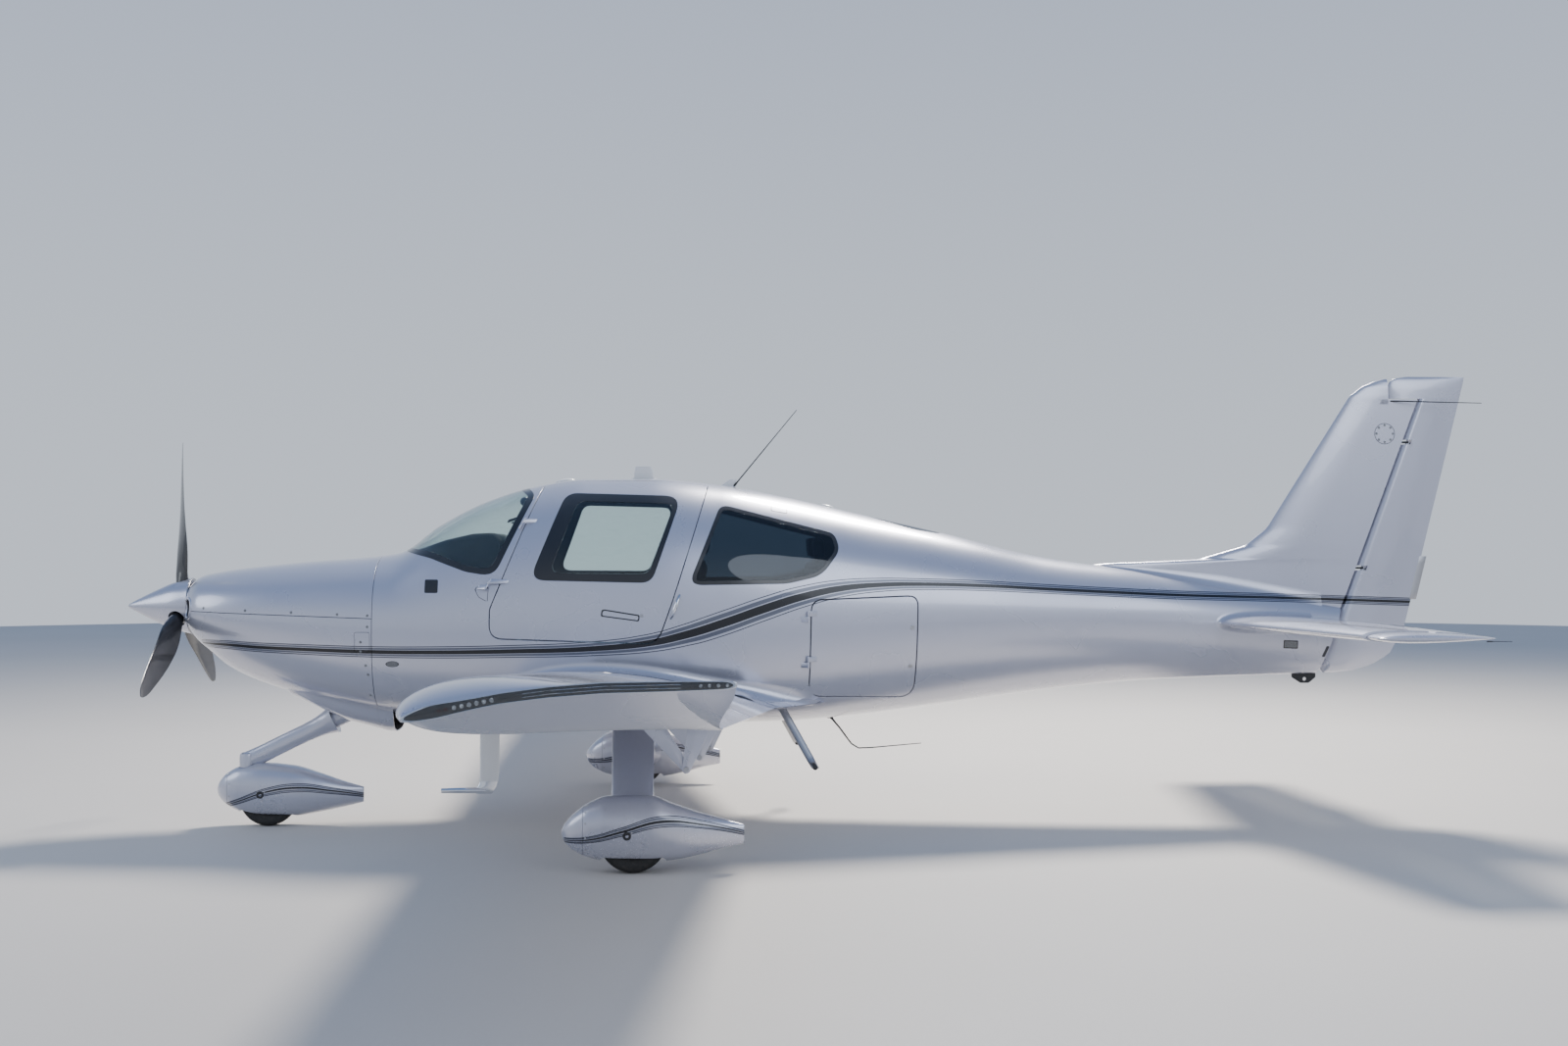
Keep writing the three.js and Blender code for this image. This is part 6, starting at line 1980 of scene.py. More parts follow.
@dataclass
class Wing:
    """One wing with its flap, aileron, tip and fittings."""

    shop: Workshop
    side_name: str
    side: int
    root: float = 400.0
    flap_hinge: float = 0.745
    flap_span: tuple[float, float] = (706, 3640)
    flap_gaps: tuple[float, float] = (7, 20)
    aileron_hinge: float = 0.765
    aileron_span: tuple[float, float] = (3688, 5430)
    bay_gap: float = 7.0
    bracket_stations: tuple[float, ...] = (900, 2200, 3480)
    flap_drop: float = 200.0

    def bay_front(self, y: Array, hinge: float) -> Array:
        """Station of the wall ahead of a control surface."""
        x, _, r = nose_axis(y, hinge)
        return x - r - self.bay_gap

    def bay_region(self, hinge: float, low: float, high: float) -> Region:
        """Region of a control surface's bay, in plan view."""
        def measure(points: Array) -> Array:
            """Distance inside the bay."""
            y = np.abs(points[:, 1])
            front = self.bay_front(y, hinge)
            return np.minimum.reduce([points[:, 0] - front, y - low, high - y])
        return measure

    def inner(self, outer: Array, normals: Array) -> Array:
        """Inner face of the skin, thinner where the section is thin."""
        y = np.abs(outer[:, 1])
        lead, trail = wing_point(y, 0, 1)[:, 0], wing_point(y, 1, 1)[:, 0]
        c = np.clip((outer[:, 0] - lead) / (trail - lead), 0, 1)
        thick = wing_point(y, c, 1)[:, 2] - wing_point(y, c, -1)[:, 2]
        return outer - normals * np.clip(thick * 0.3, 0.4, 7)[:, None]

    def skin(self) -> None:
        """Builds the wing's skin, the bay walls and the tip."""
        half = np.linspace(0, 1, 50)
        vs = np.concatenate([-half[:0:-1], half])
        us = np.concatenate([steps(self.root, 5500, 48), steps(5500, TIP_END, 16)[1:]])
        patch = Patch(WingSurface(self.side), us, vs)
        patch.trim(lambda points: hull_excess(points, -8))
        flap = self.bay_region(self.flap_hinge, self.flap_span[0] - self.flap_gaps[0],
                               self.flap_span[1] + self.flap_gaps[1])
        aileron = self.bay_region(self.aileron_hinge, self.aileron_span[0] - 12, self.aileron_span[1] + 12)
        patch.trim(outside(flap))
        patch.trim(outside(aileron))
        shell = Shell(patch, 7, 1.0, self.inner, (TIP_END,))
        self.shop.fit(shell.build(f"wing_skin_{self.side_name}"), Finishes.WING,
                      nodes=(f"wing_{self.side_name}",))
        maker = MeshMaker()
        for hinge, low, high in ((self.flap_hinge, self.flap_span[0] - 7, self.flap_span[1] + 20),
                                 (self.aileron_hinge, self.aileron_span[0] - 12, self.aileron_span[1] + 12)):
            rings = []
            for y in steps(low - 5, high + 5, 60):
                x = float(self.bay_front(y, hinge))
                lead, trail = wing_point(y, 0, 1)[0], wing_point(y, 1, 1)[0]
                c = (x - lead) / (trail - lead)
                top, bottom = wing_point(y, c, 1)[2] - 1.2, wing_point(y, c, -1)[2] + 1.2
                t = np.linspace(0, 1, 9)
                hollow = np.stack([x - 1.5 - 10 * np.sin(math.pi * t), np.full(9, y),
                                   top + (bottom - top) * t], 1)
                flat = np.array(((x - 18, y, bottom), (x - 18, y, top)))
                rings.append(np.vstack([hollow, flat]) * (1, self.side, 1))
            maker.loft(rings)
            for y, width in ((low - 4.5, 3.5), (high + 1, 3.5)):
                x = float(self.bay_front(y, hinge))
                lead, trail = wing_point(y, 0, 1)[0], wing_point(y, 1, 1)[0]
                cs = np.linspace((x - lead) / (trail - lead), 0.985, 12)
                low_side, high_side = wing_point(y, cs, -1), wing_point(y, cs[::-1], 1)
                ring = np.vstack([low_side + (0, 0, 1.0), high_side - (0, 0, 1.0)])
                rings = [ring * (1, self.side, 1), (ring + (0, width, 0)) * (1, self.side, 1)]
                maker.loft(rings)
        ring = np.vstack([wing_point(TIP_END, np.linspace(0, 1, 40) ** 2, 1),
                          wing_point(TIP_END, np.linspace(1, 0, 40)[:-1] ** 2, -1)])
        inner = ring.copy()
        inner[:, 2] += (linear(TIP_EDGE, np.clip((ring[:, 0] - TIP_FRONT) / (TIP_BACK - TIP_FRONT), 0, 1), 1)
                        - ring[:, 2]) * 0.06
        maker.loft([(inner - (0, 6, 0)) * (1, self.side, 1), (inner - (0, 0.4, 0)) * (1, self.side, 1)])
        self.shop.fit(maker.build(f"wing_bay_walls_{self.side_name}", 30), Finishes.WING)

    def surface_rings(self, hinge: float, low: float, high: float, nose: float = 2.6) -> list[Array]:
        """Closed sections of a control surface from its inner to its outer end."""
        rings = []
        for y in np.concatenate([[low, low + 1.5], steps(low + 8, high - 8, 60), [high - 1.5, high]]):
            ease = 1.6 if y in (low, high) else 0.0
            x, z, r = (float(v) for v in nose_axis(y, hinge))
            cs = hinge + (1 - hinge) * np.linspace(0, 1, 26)
            upper = wing_point(y, cs, 1) - (0, 0, ease)
            lower = wing_point(y, cs[::-1], -1) + (0, 0, ease)
            angle = np.linspace(-math.pi / 2, -3 * math.pi / 2, 20)[1:-1]
            up, out = np.sin(angle), np.cos(angle)
            reach = (np.abs(up) ** nose + np.abs(out) ** nose) ** (-1 / nose) * (r - ease)
            arc = np.stack([x + reach * out, np.full(len(angle), y), z + reach * up], 1)
            rings.append(np.vstack([upper, lower, arc]) * (1, self.side, 1))
        return rings

    def controls(self) -> None:
        """Builds the flap and the aileron with a short pin at each of its ends."""
        maker = MeshMaker().loft(self.surface_rings(self.flap_hinge, *self.flap_span))
        name = f"flap_{self.side_name}"
        self.shop.fit(maker.build(f"{name}_skin", 28), Finishes.WING, name, (name,))
        name = f"aileron_{self.side_name}"
        maker = MeshMaker().loft(self.surface_rings(self.aileron_hinge, *self.aileron_span, nose=2.2))
        for y, step in ((self.aileron_span[0], -1), (self.aileron_span[1], 1)):
            x, z, _ = (float(v) for v in nose_axis(y, self.aileron_hinge))
            maker.bar((x, self.side * (y - step * 3), z), (x, self.side * (y + step * 11.5), z), 6, sides=16)
        self.shop.fit(maker.build(f"{name}_skin", 28), Finishes.WING, name, (name,))

    def brackets(self) -> None:
        """Builds the flap's fixed and moving hinge plates and their bolts."""
        fixed, moving, pins = MeshMaker(), MeshMaker(), MeshMaker()
        lug, plate, apart = 17.0, 11.0, 8.0
        for y in self.bracket_stations:
            x, z, r = (float(v) for v in nose_axis(y, self.flap_hinge))
            pivot = np.array((x + 30, z - r - self.flap_drop))
            lead, trail = wing_point(y, 0, 1)[0], wing_point(y, 1, 1)[0]
            turn = np.linspace(0, 2 * math.pi, 32, endpoint=False)
            boss = pivot + lug * np.stack([np.cos(turn), np.sin(turn)], 1)
            for maker, front, back, shift in ((fixed, x - r - 130, x - r - 20, -1),
                                              (moving, x + 40, x + 150, 1)):
                root = [(s, float(wing_point(y, (s - lead) / (trail - lead), -1)[2]) + 7)
                        for s in np.linspace(front, back, 6)]
                centre = self.side * (y + shift * (apart + plate) / 2)
                maker.prism(hull_outline(np.vstack([root, boss])), "xz", centre - plate / 2,
                            centre + plate / 2)
            centre = self.side * y
            pins.lathe((pivot[0], centre - 19, pivot[1]), (0, 1, 0),
                       ((0, 0), (0, 10), (4, 11), (4, 7.6), (34, 7.6), (34, 11), (38, 10), (38, 0)), 20)
        name = f"flap_{self.side_name}"
        self.shop.fit(fixed.build(f"flap_supports_{self.side_name}", 35, 2.2), Finishes.WING)
        self.shop.fit(moving.build(f"flap_arms_{self.side_name}", 35, 2.2), Finishes.WING, name)
        self.shop.fit(pins.build(f"flap_bolts_{self.side_name}", 30), Finishes.STEEL, name, slot="steel")

    def fairing(self) -> None:
        """Builds the filler at the wing's root."""
        def place(y: float, v: float) -> Array:
            """Point of this wing."""
            face = 1.0 if v < 0 else -1.0
            return wing_point(y, min(v * v, 1.0), face) * (1, self.side, 1)

        def radius(v: float) -> tuple[float, float]:
            """Reach on the wing and on the fuselage."""
            size = 46 + 62 * v * v if v < 0 else 46 + 16 * v * v
            return size, size * (0.9 if v < 0 else 0.6)

        half = np.linspace(0, 0.985, 46)
        vs = np.concatenate([-half[:0:-1], half])
        maker = fillet(root_rows(place, vs, 600, self.side, radius), 12)
        self.shop.fit(maker.build(f"wing_root_fairing_{self.side_name}", 40), Finishes.WING)

    def tip_ring(self, c0: float, c1: float, shrink: float, y: float) -> Array:
        """Outline of the light strip at a distance out, between two shares of its length."""
        cs = c0 + (c1 - c0) * (1 - np.cos(np.linspace(0, math.pi, 40))) / 2
        x = TIP_FRONT + (TIP_BACK - TIP_FRONT) * cs
        share = (cs - c0) / (c1 - c0)
        half = np.minimum(9 + 13 * np.sqrt(cs * (1 - cs)) + 8 * np.exp(-((cs - 0.05) / 0.12) ** 2),
                          60 * np.sqrt(np.clip(share * (1 - share), 0, 1)) + 3)
        half = np.maximum(half - shrink, 0.4)
        middle = linear(TIP_EDGE, cs, 1)
        upper = np.stack([x, np.full(40, y), middle + half], 1)
        lower = np.stack([x, np.full(40, y), middle - half], 1)[::-1]
        return np.vstack([upper, lower]) * (1, self.side, 1)

    def tip_strip(self) -> None:
        """Builds the light strip along the tip: bright housing, dark bed, lamp cells and lens."""
        housing = MeshMaker().loft([self.tip_ring(0.0, 1.0, 0.0, 5831.2),
                                    self.tip_ring(0.0, 1.0, 0.0, 5834.2),
                                    self.tip_ring(0.003, 0.997, 1.0, 5835.2)])
        self.shop.fit(housing.build(f"tip_housing_{self.side_name}", 40), Finishes.CHROME,
                      nodes=(f"tip_light_{self.side_name}",), slot="lens")
        strip = MeshMaker()
        strip.loft([self.tip_ring(0.012, 0.988, 2.6, 5834.8), self.tip_ring(0.013, 0.987, 3.4, 5836.0)])
        self.shop.fit(strip.build(f"tip_strip_{self.side_name}", 40), Finishes.BORDER, slot="lens")
        lens = MeshMaker().loft([self.tip_ring(0.006, 0.994, 1.8, 5835.4),
                                 self.tip_ring(0.006, 0.994, 1.8, 5838.4),
                                 self.tip_ring(0.010, 0.990, 4.2, 5840.0)])
        self.shop.fit(lens.build(f"tip_lens_{self.side_name}", 40), Finishes.LENS, slot="lens")
        for label, c0, c1, count, reach, finish in (
                ("colour", 0.115, 0.135, 2, 5.0, Finishes.RED if self.side < 0 else Finishes.GREEN),
                ("front", 0.16, 0.27, 6, 6.0, Finishes.LAMP), ("back", 0.89, 0.97, 4, 4.6, Finishes.LAMP)):
            cells = MeshMaker()
            for c in np.linspace(c0, c1, count):
                x = TIP_FRONT + (TIP_BACK - TIP_FRONT) * c
                z = float(linear(TIP_EDGE, c, 1))
                cells.lathe((x, self.side * 5835.2, z), (0, self.side, 0),
                            ((0, reach), (1.6, reach), (2.2, reach - 0.6), (1.4, reach - 1.6), (1.4, 0)), 20)
            self.shop.fit(cells.build(f"tip_cells_{label}_{self.side_name}", 30), finish, slot="lens")
        rail = MeshMaker()
        for shift in (-4.5, 4.5):
            path = []
            for c in np.linspace(0.36, 0.83, 30):
                x = TIP_FRONT + (TIP_BACK - TIP_FRONT) * c
                path.append((x, self.side * 5836.4, float(linear(TIP_EDGE, c, 1)) + shift))
            rail.tube(path, 0.9, 6)
        self.shop.fit(rail.build(f"tip_rails_{self.side_name}", 60), Finishes.CHROME, slot="lens")

    def surface_patch(self, name: str, region: Region, lift: float, finish: Finish, span: tuple[float, float],
                      thickness: float = 1.2, slot: str = "airframe_paint") -> None:
        """Builds a thin piece on the wing's upper skin."""
        sign = -1 if self.side > 0 else 1
        vs = np.sort(sign * np.linspace(0.3, 0.98, 64))
        patch = Patch(WingSurface(self.side), steps(span[0], span[1], 24), vs, fixed_ends=False)
        patch.trim(region)
        shell = Shell(patch, thickness, 0.5)
        for points in shell.points:
            points[:, 2] += lift
        self.shop.fit(shell.build(f"{name}_{self.side_name}"), finish, slot=slot)

    def fittings(self) -> None:
        """Builds the walkway, fuel cap and stall strips."""
        side = self.side
        grip = rounded(((2620, 660, 30), (3560, 655, 60), (3560, 905, 60), (2700, 905, 60)))
        region = plan_region(grip * (1, side))
        self.surface_patch("walkway", region, 0.5, Finishes.GRIP, (610, 950), 1.0)
        for label, x, y, radius in (("fuel_cap", 2760, 1560, 46),):
            lead, trail = wing_point(y, 0, 1)[0], wing_point(y, 1, 1)[0]
            at = wing_point(y, (x - lead) / (trail - lead), 1) * (1, side, 1)
            ahead = wing_point(y, (x + 5 - lead) / (trail - lead), 1) * (1, side, 1) - at
            beside = wing_point(y + 5, (x - lead) / (trail - lead), 1) * (1, side, 1) - at
            normal = np.cross(ahead, beside) * side
            normal /= np.linalg.norm(normal)
            cap = MeshMaker()
            cap.lathe(at - normal * 4, normal, ((0, radius), (5.0, radius), (6.0, radius - 1.2),
                                                (6.0, radius - 8),
                                                (4.8, radius - 9.2), (4.8, 20), (6.8, 18), (6.8, 6), (5.6, 5),
                                                (5.6, 0)), 40)
            self.shop.fit(cap.build(f"{label}_{self.side_name}", 30), Finishes.STEEL, slot="steel")
        for label, low, high in (("inner", 1180, 1560), ("outer", 3900, 4150)):
            rings = []
            for y in steps(low, high, 24):
                share = min((y - low) / 14, (high - y) / 14, 1)
                c = 0.0015
                base = wing_point(y, c, -1)
                size = 2 + 9 * math.sqrt(max(share, 0))
                top, bottom = wing_point(y, 0.004, 1), wing_point(y, 0.006, -1)
                front = base + (-size, 0, -1.5)
                rings.append(np.array([top + (1, 0, -1), front, bottom + (1, 0, 1), bottom + (8, 0, 6)])
                             * (1, side, 1))
            self.shop.fit(MeshMaker().loft(rings).build(f"stall_strip_{label}_{self.side_name}", 25),
                          Finishes.WING)

    def build(self) -> None:
        """Builds the whole wing."""
        self.skin()
        self.controls()
        self.brackets()
        self.fairing()
        self.tip_strip()
        self.fittings()


FIN = ((1180, 5480, 44), (1500, 5620, 40), (1510, 5720, 40), (1534, 6282, 40), (1614, 6559, 40),
       (1722, 6697, 39),
       (1959, 6849, 36), (2515, 7208, 27), (2575, 7286, 24), (2606, 7362, 16), (2622, 7425, 6))
RUDDER = ((850, 7110, 10), (866, 7235, 34), (900, 7345, 52), (960, 7448, 58), (1111, 7538, 56),
          (1336, 7597, 44),
          (1959, 7755, 37), (2503, 7893, 28))
RUDDER_HORN = ((2503, 7452, 7893, 26), (2560, 7446, 7907, 24), (2598, 7455, 7917, 19), (2626, 7490, 7922, 11),
               (2637, 7560, 7923, 4))
TAILPLANE = ((0, 6326, 7262), (200, 6345, 7256), (1800, 6560, 7190))
FIN_NOSE = 0.42
ELEVATOR_HORN = ((1800, 6586, 7190, 27), (1900, 6588, 7188, 26), (1945, 6596, 7184, 18),
                 (1962, 6612, 7176, 6))


def fin_half(x: Array | float, z: Array | float) -> Array:
    """Half thickness of the fin at a station and height."""
    lead = linear(FIN, z, 1)
    c = np.clip((x - lead) / (rudder_axis(z) - lead), 0, 1)
    nose = np.sqrt(1 - (1 - np.minimum(c / FIN_NOSE, 1)) ** 2)
    return linear(FIN, z, 2) * nose * (1 - 0.12 * c)


def tail_point(y: Array | float, c: Array | float, face: Array | float) -> Array:
    """Points of the starboard stabiliser."""
    y, c, face = np.broadcast_arrays(np.asarray(y, float), np.asarray(c, float), np.asarray(face, float))
    lead, trail = linear(TAILPLANE, y, 1), linear(TAILPLANE, y, 2)
    chord = trail - lead
    return np.stack([lead + c * chord, y, TAIL_Z + face * section_half(c) * 0.098 * chord], -1)


def hinge_x(y: Array | float) -> Array:
    """Station of the elevator's nose axis."""
    return 6962 - 12 * np.asarray(y, float) / 1800


@dataclass
class Tail:
    """Fin, rudder, stabiliser and elevator."""

    shop: Workshop
    notch_z: float = 2497.0
    horn_x: float = 7441.0
    hinge_z: tuple[float, float] = (1480, 2240)
    notch: float = 14.0
    bay: float = 43.0

    def fin(self) -> None:
        """Builds the fin with its dorsal strake, hinge lugs and filler."""
        heights = np.concatenate([np.arange(1200, 1500, 25), np.arange(1500, 1536, 3),
                                  np.arange(1538, 1640, 8),
                                  np.arange(1640, self.notch_z - 5, 24), [self.notch_z - 1.5, self.notch_z]])
        maker = MeshMaker().loft([self.fin_ring(z, float(rudder_axis(z) - rudder_reach(z))) for z in heights])
        self.shop.fit(maker.build("fin_skin", 32), Finishes.BANDED, nodes=("fin",))
        tops = np.concatenate([np.linspace(self.notch_z - 30, 2600, 14), (2606, 2611, 2616, 2619.5, 2622)])
        cap = MeshMaker().loft([self.fin_ring(z, self.horn_x) for z in tops])
        self.shop.fit(cap.build("fin_cap", 40), Finishes.PEARL)
        lugs = MeshMaker()
        for z in self.hinge_z:
            axis = float(rudder_axis(z))
            outline = [(axis - 90, -9), (axis, -11)]
            outline += [(axis + 11 * math.sin(a),
                         -11 * math.cos(a)) for a in np.linspace(0.2, math.pi - 0.2, 10)]
            outline += [(axis, 11), (axis - 90, 9)]
            lugs.prism(outline, "xy", z - 6, z + 6)
        self.shop.fit(lugs.build("rudder_lugs", 30, 1.0), Finishes.PLASTIC, slot="steel")
        for side_name, side in SIDES:
            rows = []
            for x in steps(5700, 7015, 30):
                low, high = 1150.0, 1640.0
                for _ in range(30):
                    middle = (low + high) / 2
                    if hull_y(x, middle) > fin_half(x, middle):
                        low = middle
                    else:
                        high = middle
                y = float(fin_half(x, low))
                size = 12 + 62 * min((x - 5700) / 700, 1)
                top = low + size * 0.9
                rows.append((np.array((x, side * float(fin_half(x, top)), top)), np.array((x, side * y, low)),
                             np.array((x, side * (y + size), float(hull_z(x, y + size))))))
            self.shop.fit(fillet(rows, 10).build(f"fin_fairing_{side_name}", 40), Finishes.BANDED)

    def fin_ring(self, z: float, back: float) -> Array:
        """Outline of the fin at a height, from its back round the nose."""
        lead = float(linear(FIN, z, 1))
        t = np.linspace(0, 1, 34) ** 2
        x = lead + (back - lead) * t
        half = fin_half(x, z)
        port = np.stack([x, -half, np.full(34, z)], 1)[::-1]
        starboard = np.stack([x, half, np.full(34, z)], 1)[1:]
        return np.vstack([port, starboard])

    def rudder_ring(self, z: float, cut: bool) -> Array:
        """Outline of the rudder at a height, with its nose cut back in a hinge notch."""
        axis, back, half = float(rudder_axis(z)), float(linear(RUDDER, z, 1)), float(linear(RUDDER, z, 2))
        shares = np.array((0, 0.35, 0.75, 1.0))
        taper = SmoothColumn(np.stack([shares, (1.0, 0.82, 0.34, 0.06)], 1), 1)
        t = np.linspace(0, 1, 22)
        x = axis + (back - axis) * t
        port = np.stack([x, -half * taper(t), np.full(22, z)], 1)
        starboard = np.stack([x, half * taper(t), np.full(22, z)], 1)[::-1]
        angle = np.linspace(math.pi / 2, 3 * math.pi / 2, 22)[1:-1]
        nose = np.stack([axis + half * np.cos(angle), half * np.sin(angle), np.full(20, z)], 1)
        if cut:
            nose[:, 0] = axis + 15
            port[:, 0] = np.maximum(port[:, 0], axis + 15)
            starboard[:, 0] = np.maximum(starboard[:, 0], axis + 15)
        return np.vstack([port, starboard, nose])

    def rudder(self) -> None:
        """Builds the rudder with its horn and tab."""
        heights = {float(z): False for z in np.concatenate([
            (850, 852, 856, 861, 866, 874, 884, 895, 908, 925, 945, 970), np.arange(1000, 2495, 30),
            (2497, 2501, 2503)])}
        for z in self.hinge_z:
            for away in (-self.notch - 0.2, self.notch + 0.2):
                heights[z + away] = False
            for away in (-self.notch, self.notch):
                heights[z + away] = True
            heights = {h: cut for h, cut in heights.items() if abs(h - z) >= self.notch}
        maker = MeshMaker().loft([self.rudder_ring(z, heights[z]) for z in sorted(heights)])
        for z in self.hinge_z:
            axis = float(rudder_axis(z))
            lean = np.array((0.34866, 0, 0.93725))
            spot = np.array((axis, 0, z))
            maker.bar(spot - lean * 20, spot + lean * 20, 5.6, sides=16)
        self.shop.fit(maker.build("rudder_skin", 30), Finishes.BANDED, "rudder", ("rudder",))
        rings = []
        keys = np.array([row[0] for row in RUDDER_HORN], float)
        front, back, half = (SmoothColumn(RUDDER_HORN, i) for i in (1, 2, 3))
        for z in np.concatenate([np.linspace(keys[0], 2600, 12), np.linspace(2606, keys[-1], 10)]):
            turn = np.linspace(0, 2 * math.pi, 56, endpoint=False)
            c = (1 - np.cos(turn)) / 2
            x = front(z) + (back(z) - front(z)) * c
            rings.append(np.stack([x, half(z) * np.sin(turn) * (1.2 - 0.7 * c), np.full(56, z)], 1))
        self.shop.fit(MeshMaker().loft(rings).build("rudder_horn", 40), Finishes.PEARL, "rudder")
        tab = MeshMaker()
        rows = []
        for z in steps(1290, 1550, 40):
            back_x = float(linear(RUDDER, z, 1))
            rows.append(np.array([(back_x - 12, -4.2, z), (back_x + 34, -0.8, z), (back_x + 34, 0.8, z),
                                  (back_x - 12, 4.2, z)]))
        tab.loft(rows)
        self.shop.fit(tab.build("rudder_tab", 30, 0.5), Finishes.STEEL, "rudder", slot="steel")

    def stabiliser(self) -> None:
        """Builds the stabiliser and its root filler."""
        rings = []
        for y in np.concatenate([steps(-1793, -60, 60), steps(60, 1793, 60)]):
            lead, trail = linear(TAILPLANE, abs(y), 1), linear(TAILPLANE, abs(y), 2)
            c = (hinge_x(abs(y)) - self.bay - lead) / (trail - lead)
            t = np.linspace(0, 1, 32) ** 2 * c
            upper, lower = tail_point(abs(y), t[::-1], 1), tail_point(abs(y), t[1:], -1)
            ring = np.vstack([upper, lower])
            ring[:, 1] = y
            rings.append(ring)
        self.shop.fit(MeshMaker().loft(rings).build("stabiliser_skin", 32), Finishes.WING,
                      nodes=("stabiliser",))
        for side_name, side in SIDES:
            def place(y: float, v: float, side: int = side) -> Array:
                """Point of this side's stabiliser."""
                return tail_point(y, min(v * v, 1.0), 1.0 if v < 0 else -1.0) * (1, side, 1)

            half = np.linspace(0, 0.8, 34)
            vs = np.concatenate([-half[:0:-1], half])
            rows = root_rows(place, vs, 180, side, lambda v: (34.0, 30.0))
            self.shop.fit(fillet(rows, 9).build(f"stabiliser_fairing_{side_name}", 40), Finishes.BANDED)

    def elevator(self) -> None:
        """Builds both halves of the elevator, its horns and its torque tube."""
        maker = MeshMaker()
        for side in (-1, 1):
            rings = []
            for y in np.concatenate([(138, 140), steps(146, 1795, 60), (1799, 1801)]):
                lead, trail = float(linear(TAILPLANE, y, 1)), float(linear(TAILPLANE, y, 2))
                hinge = (float(hinge_x(y)) - lead) / (trail - lead)
                cs = hinge + (1 - hinge) * np.linspace(0, 1, 22)
                ease = 1.2 if y in (138, 1801) else 0.0
                upper = tail_point(y, cs, 1) - (0, 0, ease)
                lower = tail_point(y, cs[::-1], -1) + (0, 0, ease)
                r = (upper[0, 2] - lower[-1, 2]) / 2
                angle = np.linspace(-math.pi / 2, -3 * math.pi / 2, 18)[1:-1]
                arc = np.stack([hinge_x(y) + r * np.cos(angle), np.full(16, y), TAIL_Z + r * np.sin(angle)],
                               1)
                rings.append(np.vstack([upper, lower, arc]) * (1, side, 1))
            maker.loft(rings)
            front, back, half = (SmoothColumn(ELEVATOR_HORN, i) for i in (1, 2, 3))
            rings = []
            for y in np.concatenate([np.linspace(1800, 1940, 10), np.linspace(1945, 1962, 8)]):
                turn = np.linspace(0, 2 * math.pi, 52, endpoint=False)
                c = (1 - np.cos(turn)) / 2
                x = front(y) + (back(y) - front(y)) * c
                z = TAIL_Z - 4 + half(y) * np.sin(turn) * (1.25 - 0.75 * c)
                rings.append(np.stack([x, np.full(52, y), z], 1) * (1, side, 1))
            maker.loft(rings)
        maker.bar((6962, -158, TAIL_Z), (6962, 158, TAIL_Z), 15, sides=24)
        self.shop.fit(maker.build("elevator_skin", 30), Finishes.WING, "elevator", ("elevator",))
        for side_name, side in SIDES:
            tab = MeshMaker()
            rings = []
            for y in steps(560, 900, 40):
                back_x = float(linear(TAILPLANE, y, 2))
                rings.append(np.array([(back_x - 8, y, TAIL_Z - 3.4), (back_x + 26, y, TAIL_Z - 0.8),
                                       (back_x + 26, y, TAIL_Z + 0.8), (back_x - 8, y, TAIL_Z + 3.4)])
                             * (1, side, 1))
            tab.loft(rings)
            self.shop.fit(tab.build(f"elevator_tab_{side_name}", 30, 0.4), Finishes.STEEL, "elevator",
                          slot="steel")

    def build(self) -> None:
        """Builds the whole tail."""
        self.fin()
        self.rudder()
        self.stabiliser()
        self.elevator()


SPINNER = ((0, 0), (4, 8), (24, 21), (80, 51), (170, 96), (270, 138), (362, 162))
# Blade sections: radius, chord, thickness, pitch angle, how far the middle lies toward the leading edge
BLADE = ((60, 74, 74, 58, 0), (118, 76, 70, 56, 0), (165, 88, 56, 52, 0), (230, 110, 34, 44, -2),
         (316, 137, 26, 36, -6), (409, 149, 20, 29, -9), (500, 147, 16, 24, -9), (600, 140, 13, 20, -5),
         (680, 127, 11, 18.4, 0), (754, 112, 9, 17, 6), (827, 95, 7.4, 15.8, 11), (869, 80, 6, 15, 15),
         (905, 58, 5, 14.4, 19), (926, 36, 4.4, 14, 20), (940, 12, 3.6, 14, 19))
NOSE_PANT = ((505, 214, 210, 2), (508, 226, 198, 9), (525, 262, 162, 38), (565, 306, 124, 66),
             (650, 347, 80, 96),
             (770, 361, 59, 112), (940, 345, 55, 112), (1080, 303, 75, 92), (1230, 250, 104, 54),
             (1338, 218, 130, 14))
MAIN_PANT = ((2561, 201, 197, 2), (2564, 216, 182, 10), (2588, 256, 140, 46), (2637, 304, 102, 76),
             (2705, 348, 74, 99), (2792, 377, 56, 113), (3000, 377, 51, 114), (3112, 337, 60, 104),
             (3247, 291, 86, 76), (3349, 263, 112, 50), (3463, 231, 136, 15))
MAIN_LEG = ((820, 790, 118, 24), (880, 700, 114, 23), (1180, 447, 108, 21), (1512, 172, 102, 18))
FORK_ARM = ((648, 272), (648, 300), (700, 300), (735, 288), (822, 165), (800, 145), (778, 165), (690, 272))


def carve(thing: bpy.types.Object, cutter: bpy.types.Object, angle: float = 30.0) -> bpy.types.Object:
    """Cuts one object's shape out of another and removes the cutter."""
    cut = thing.modifiers.new("cut", "BOOLEAN")
    cut.operation = "DIFFERENCE"
    cut.solver = "EXACT"
    cut.object = cutter
    apply_modifiers(thing)
    bpy.data.objects.remove(cutter)
    thing.data.shade_smooth()
    thing.data.set_sharp_from_angle(angle=math.radians(angle))
    return thing


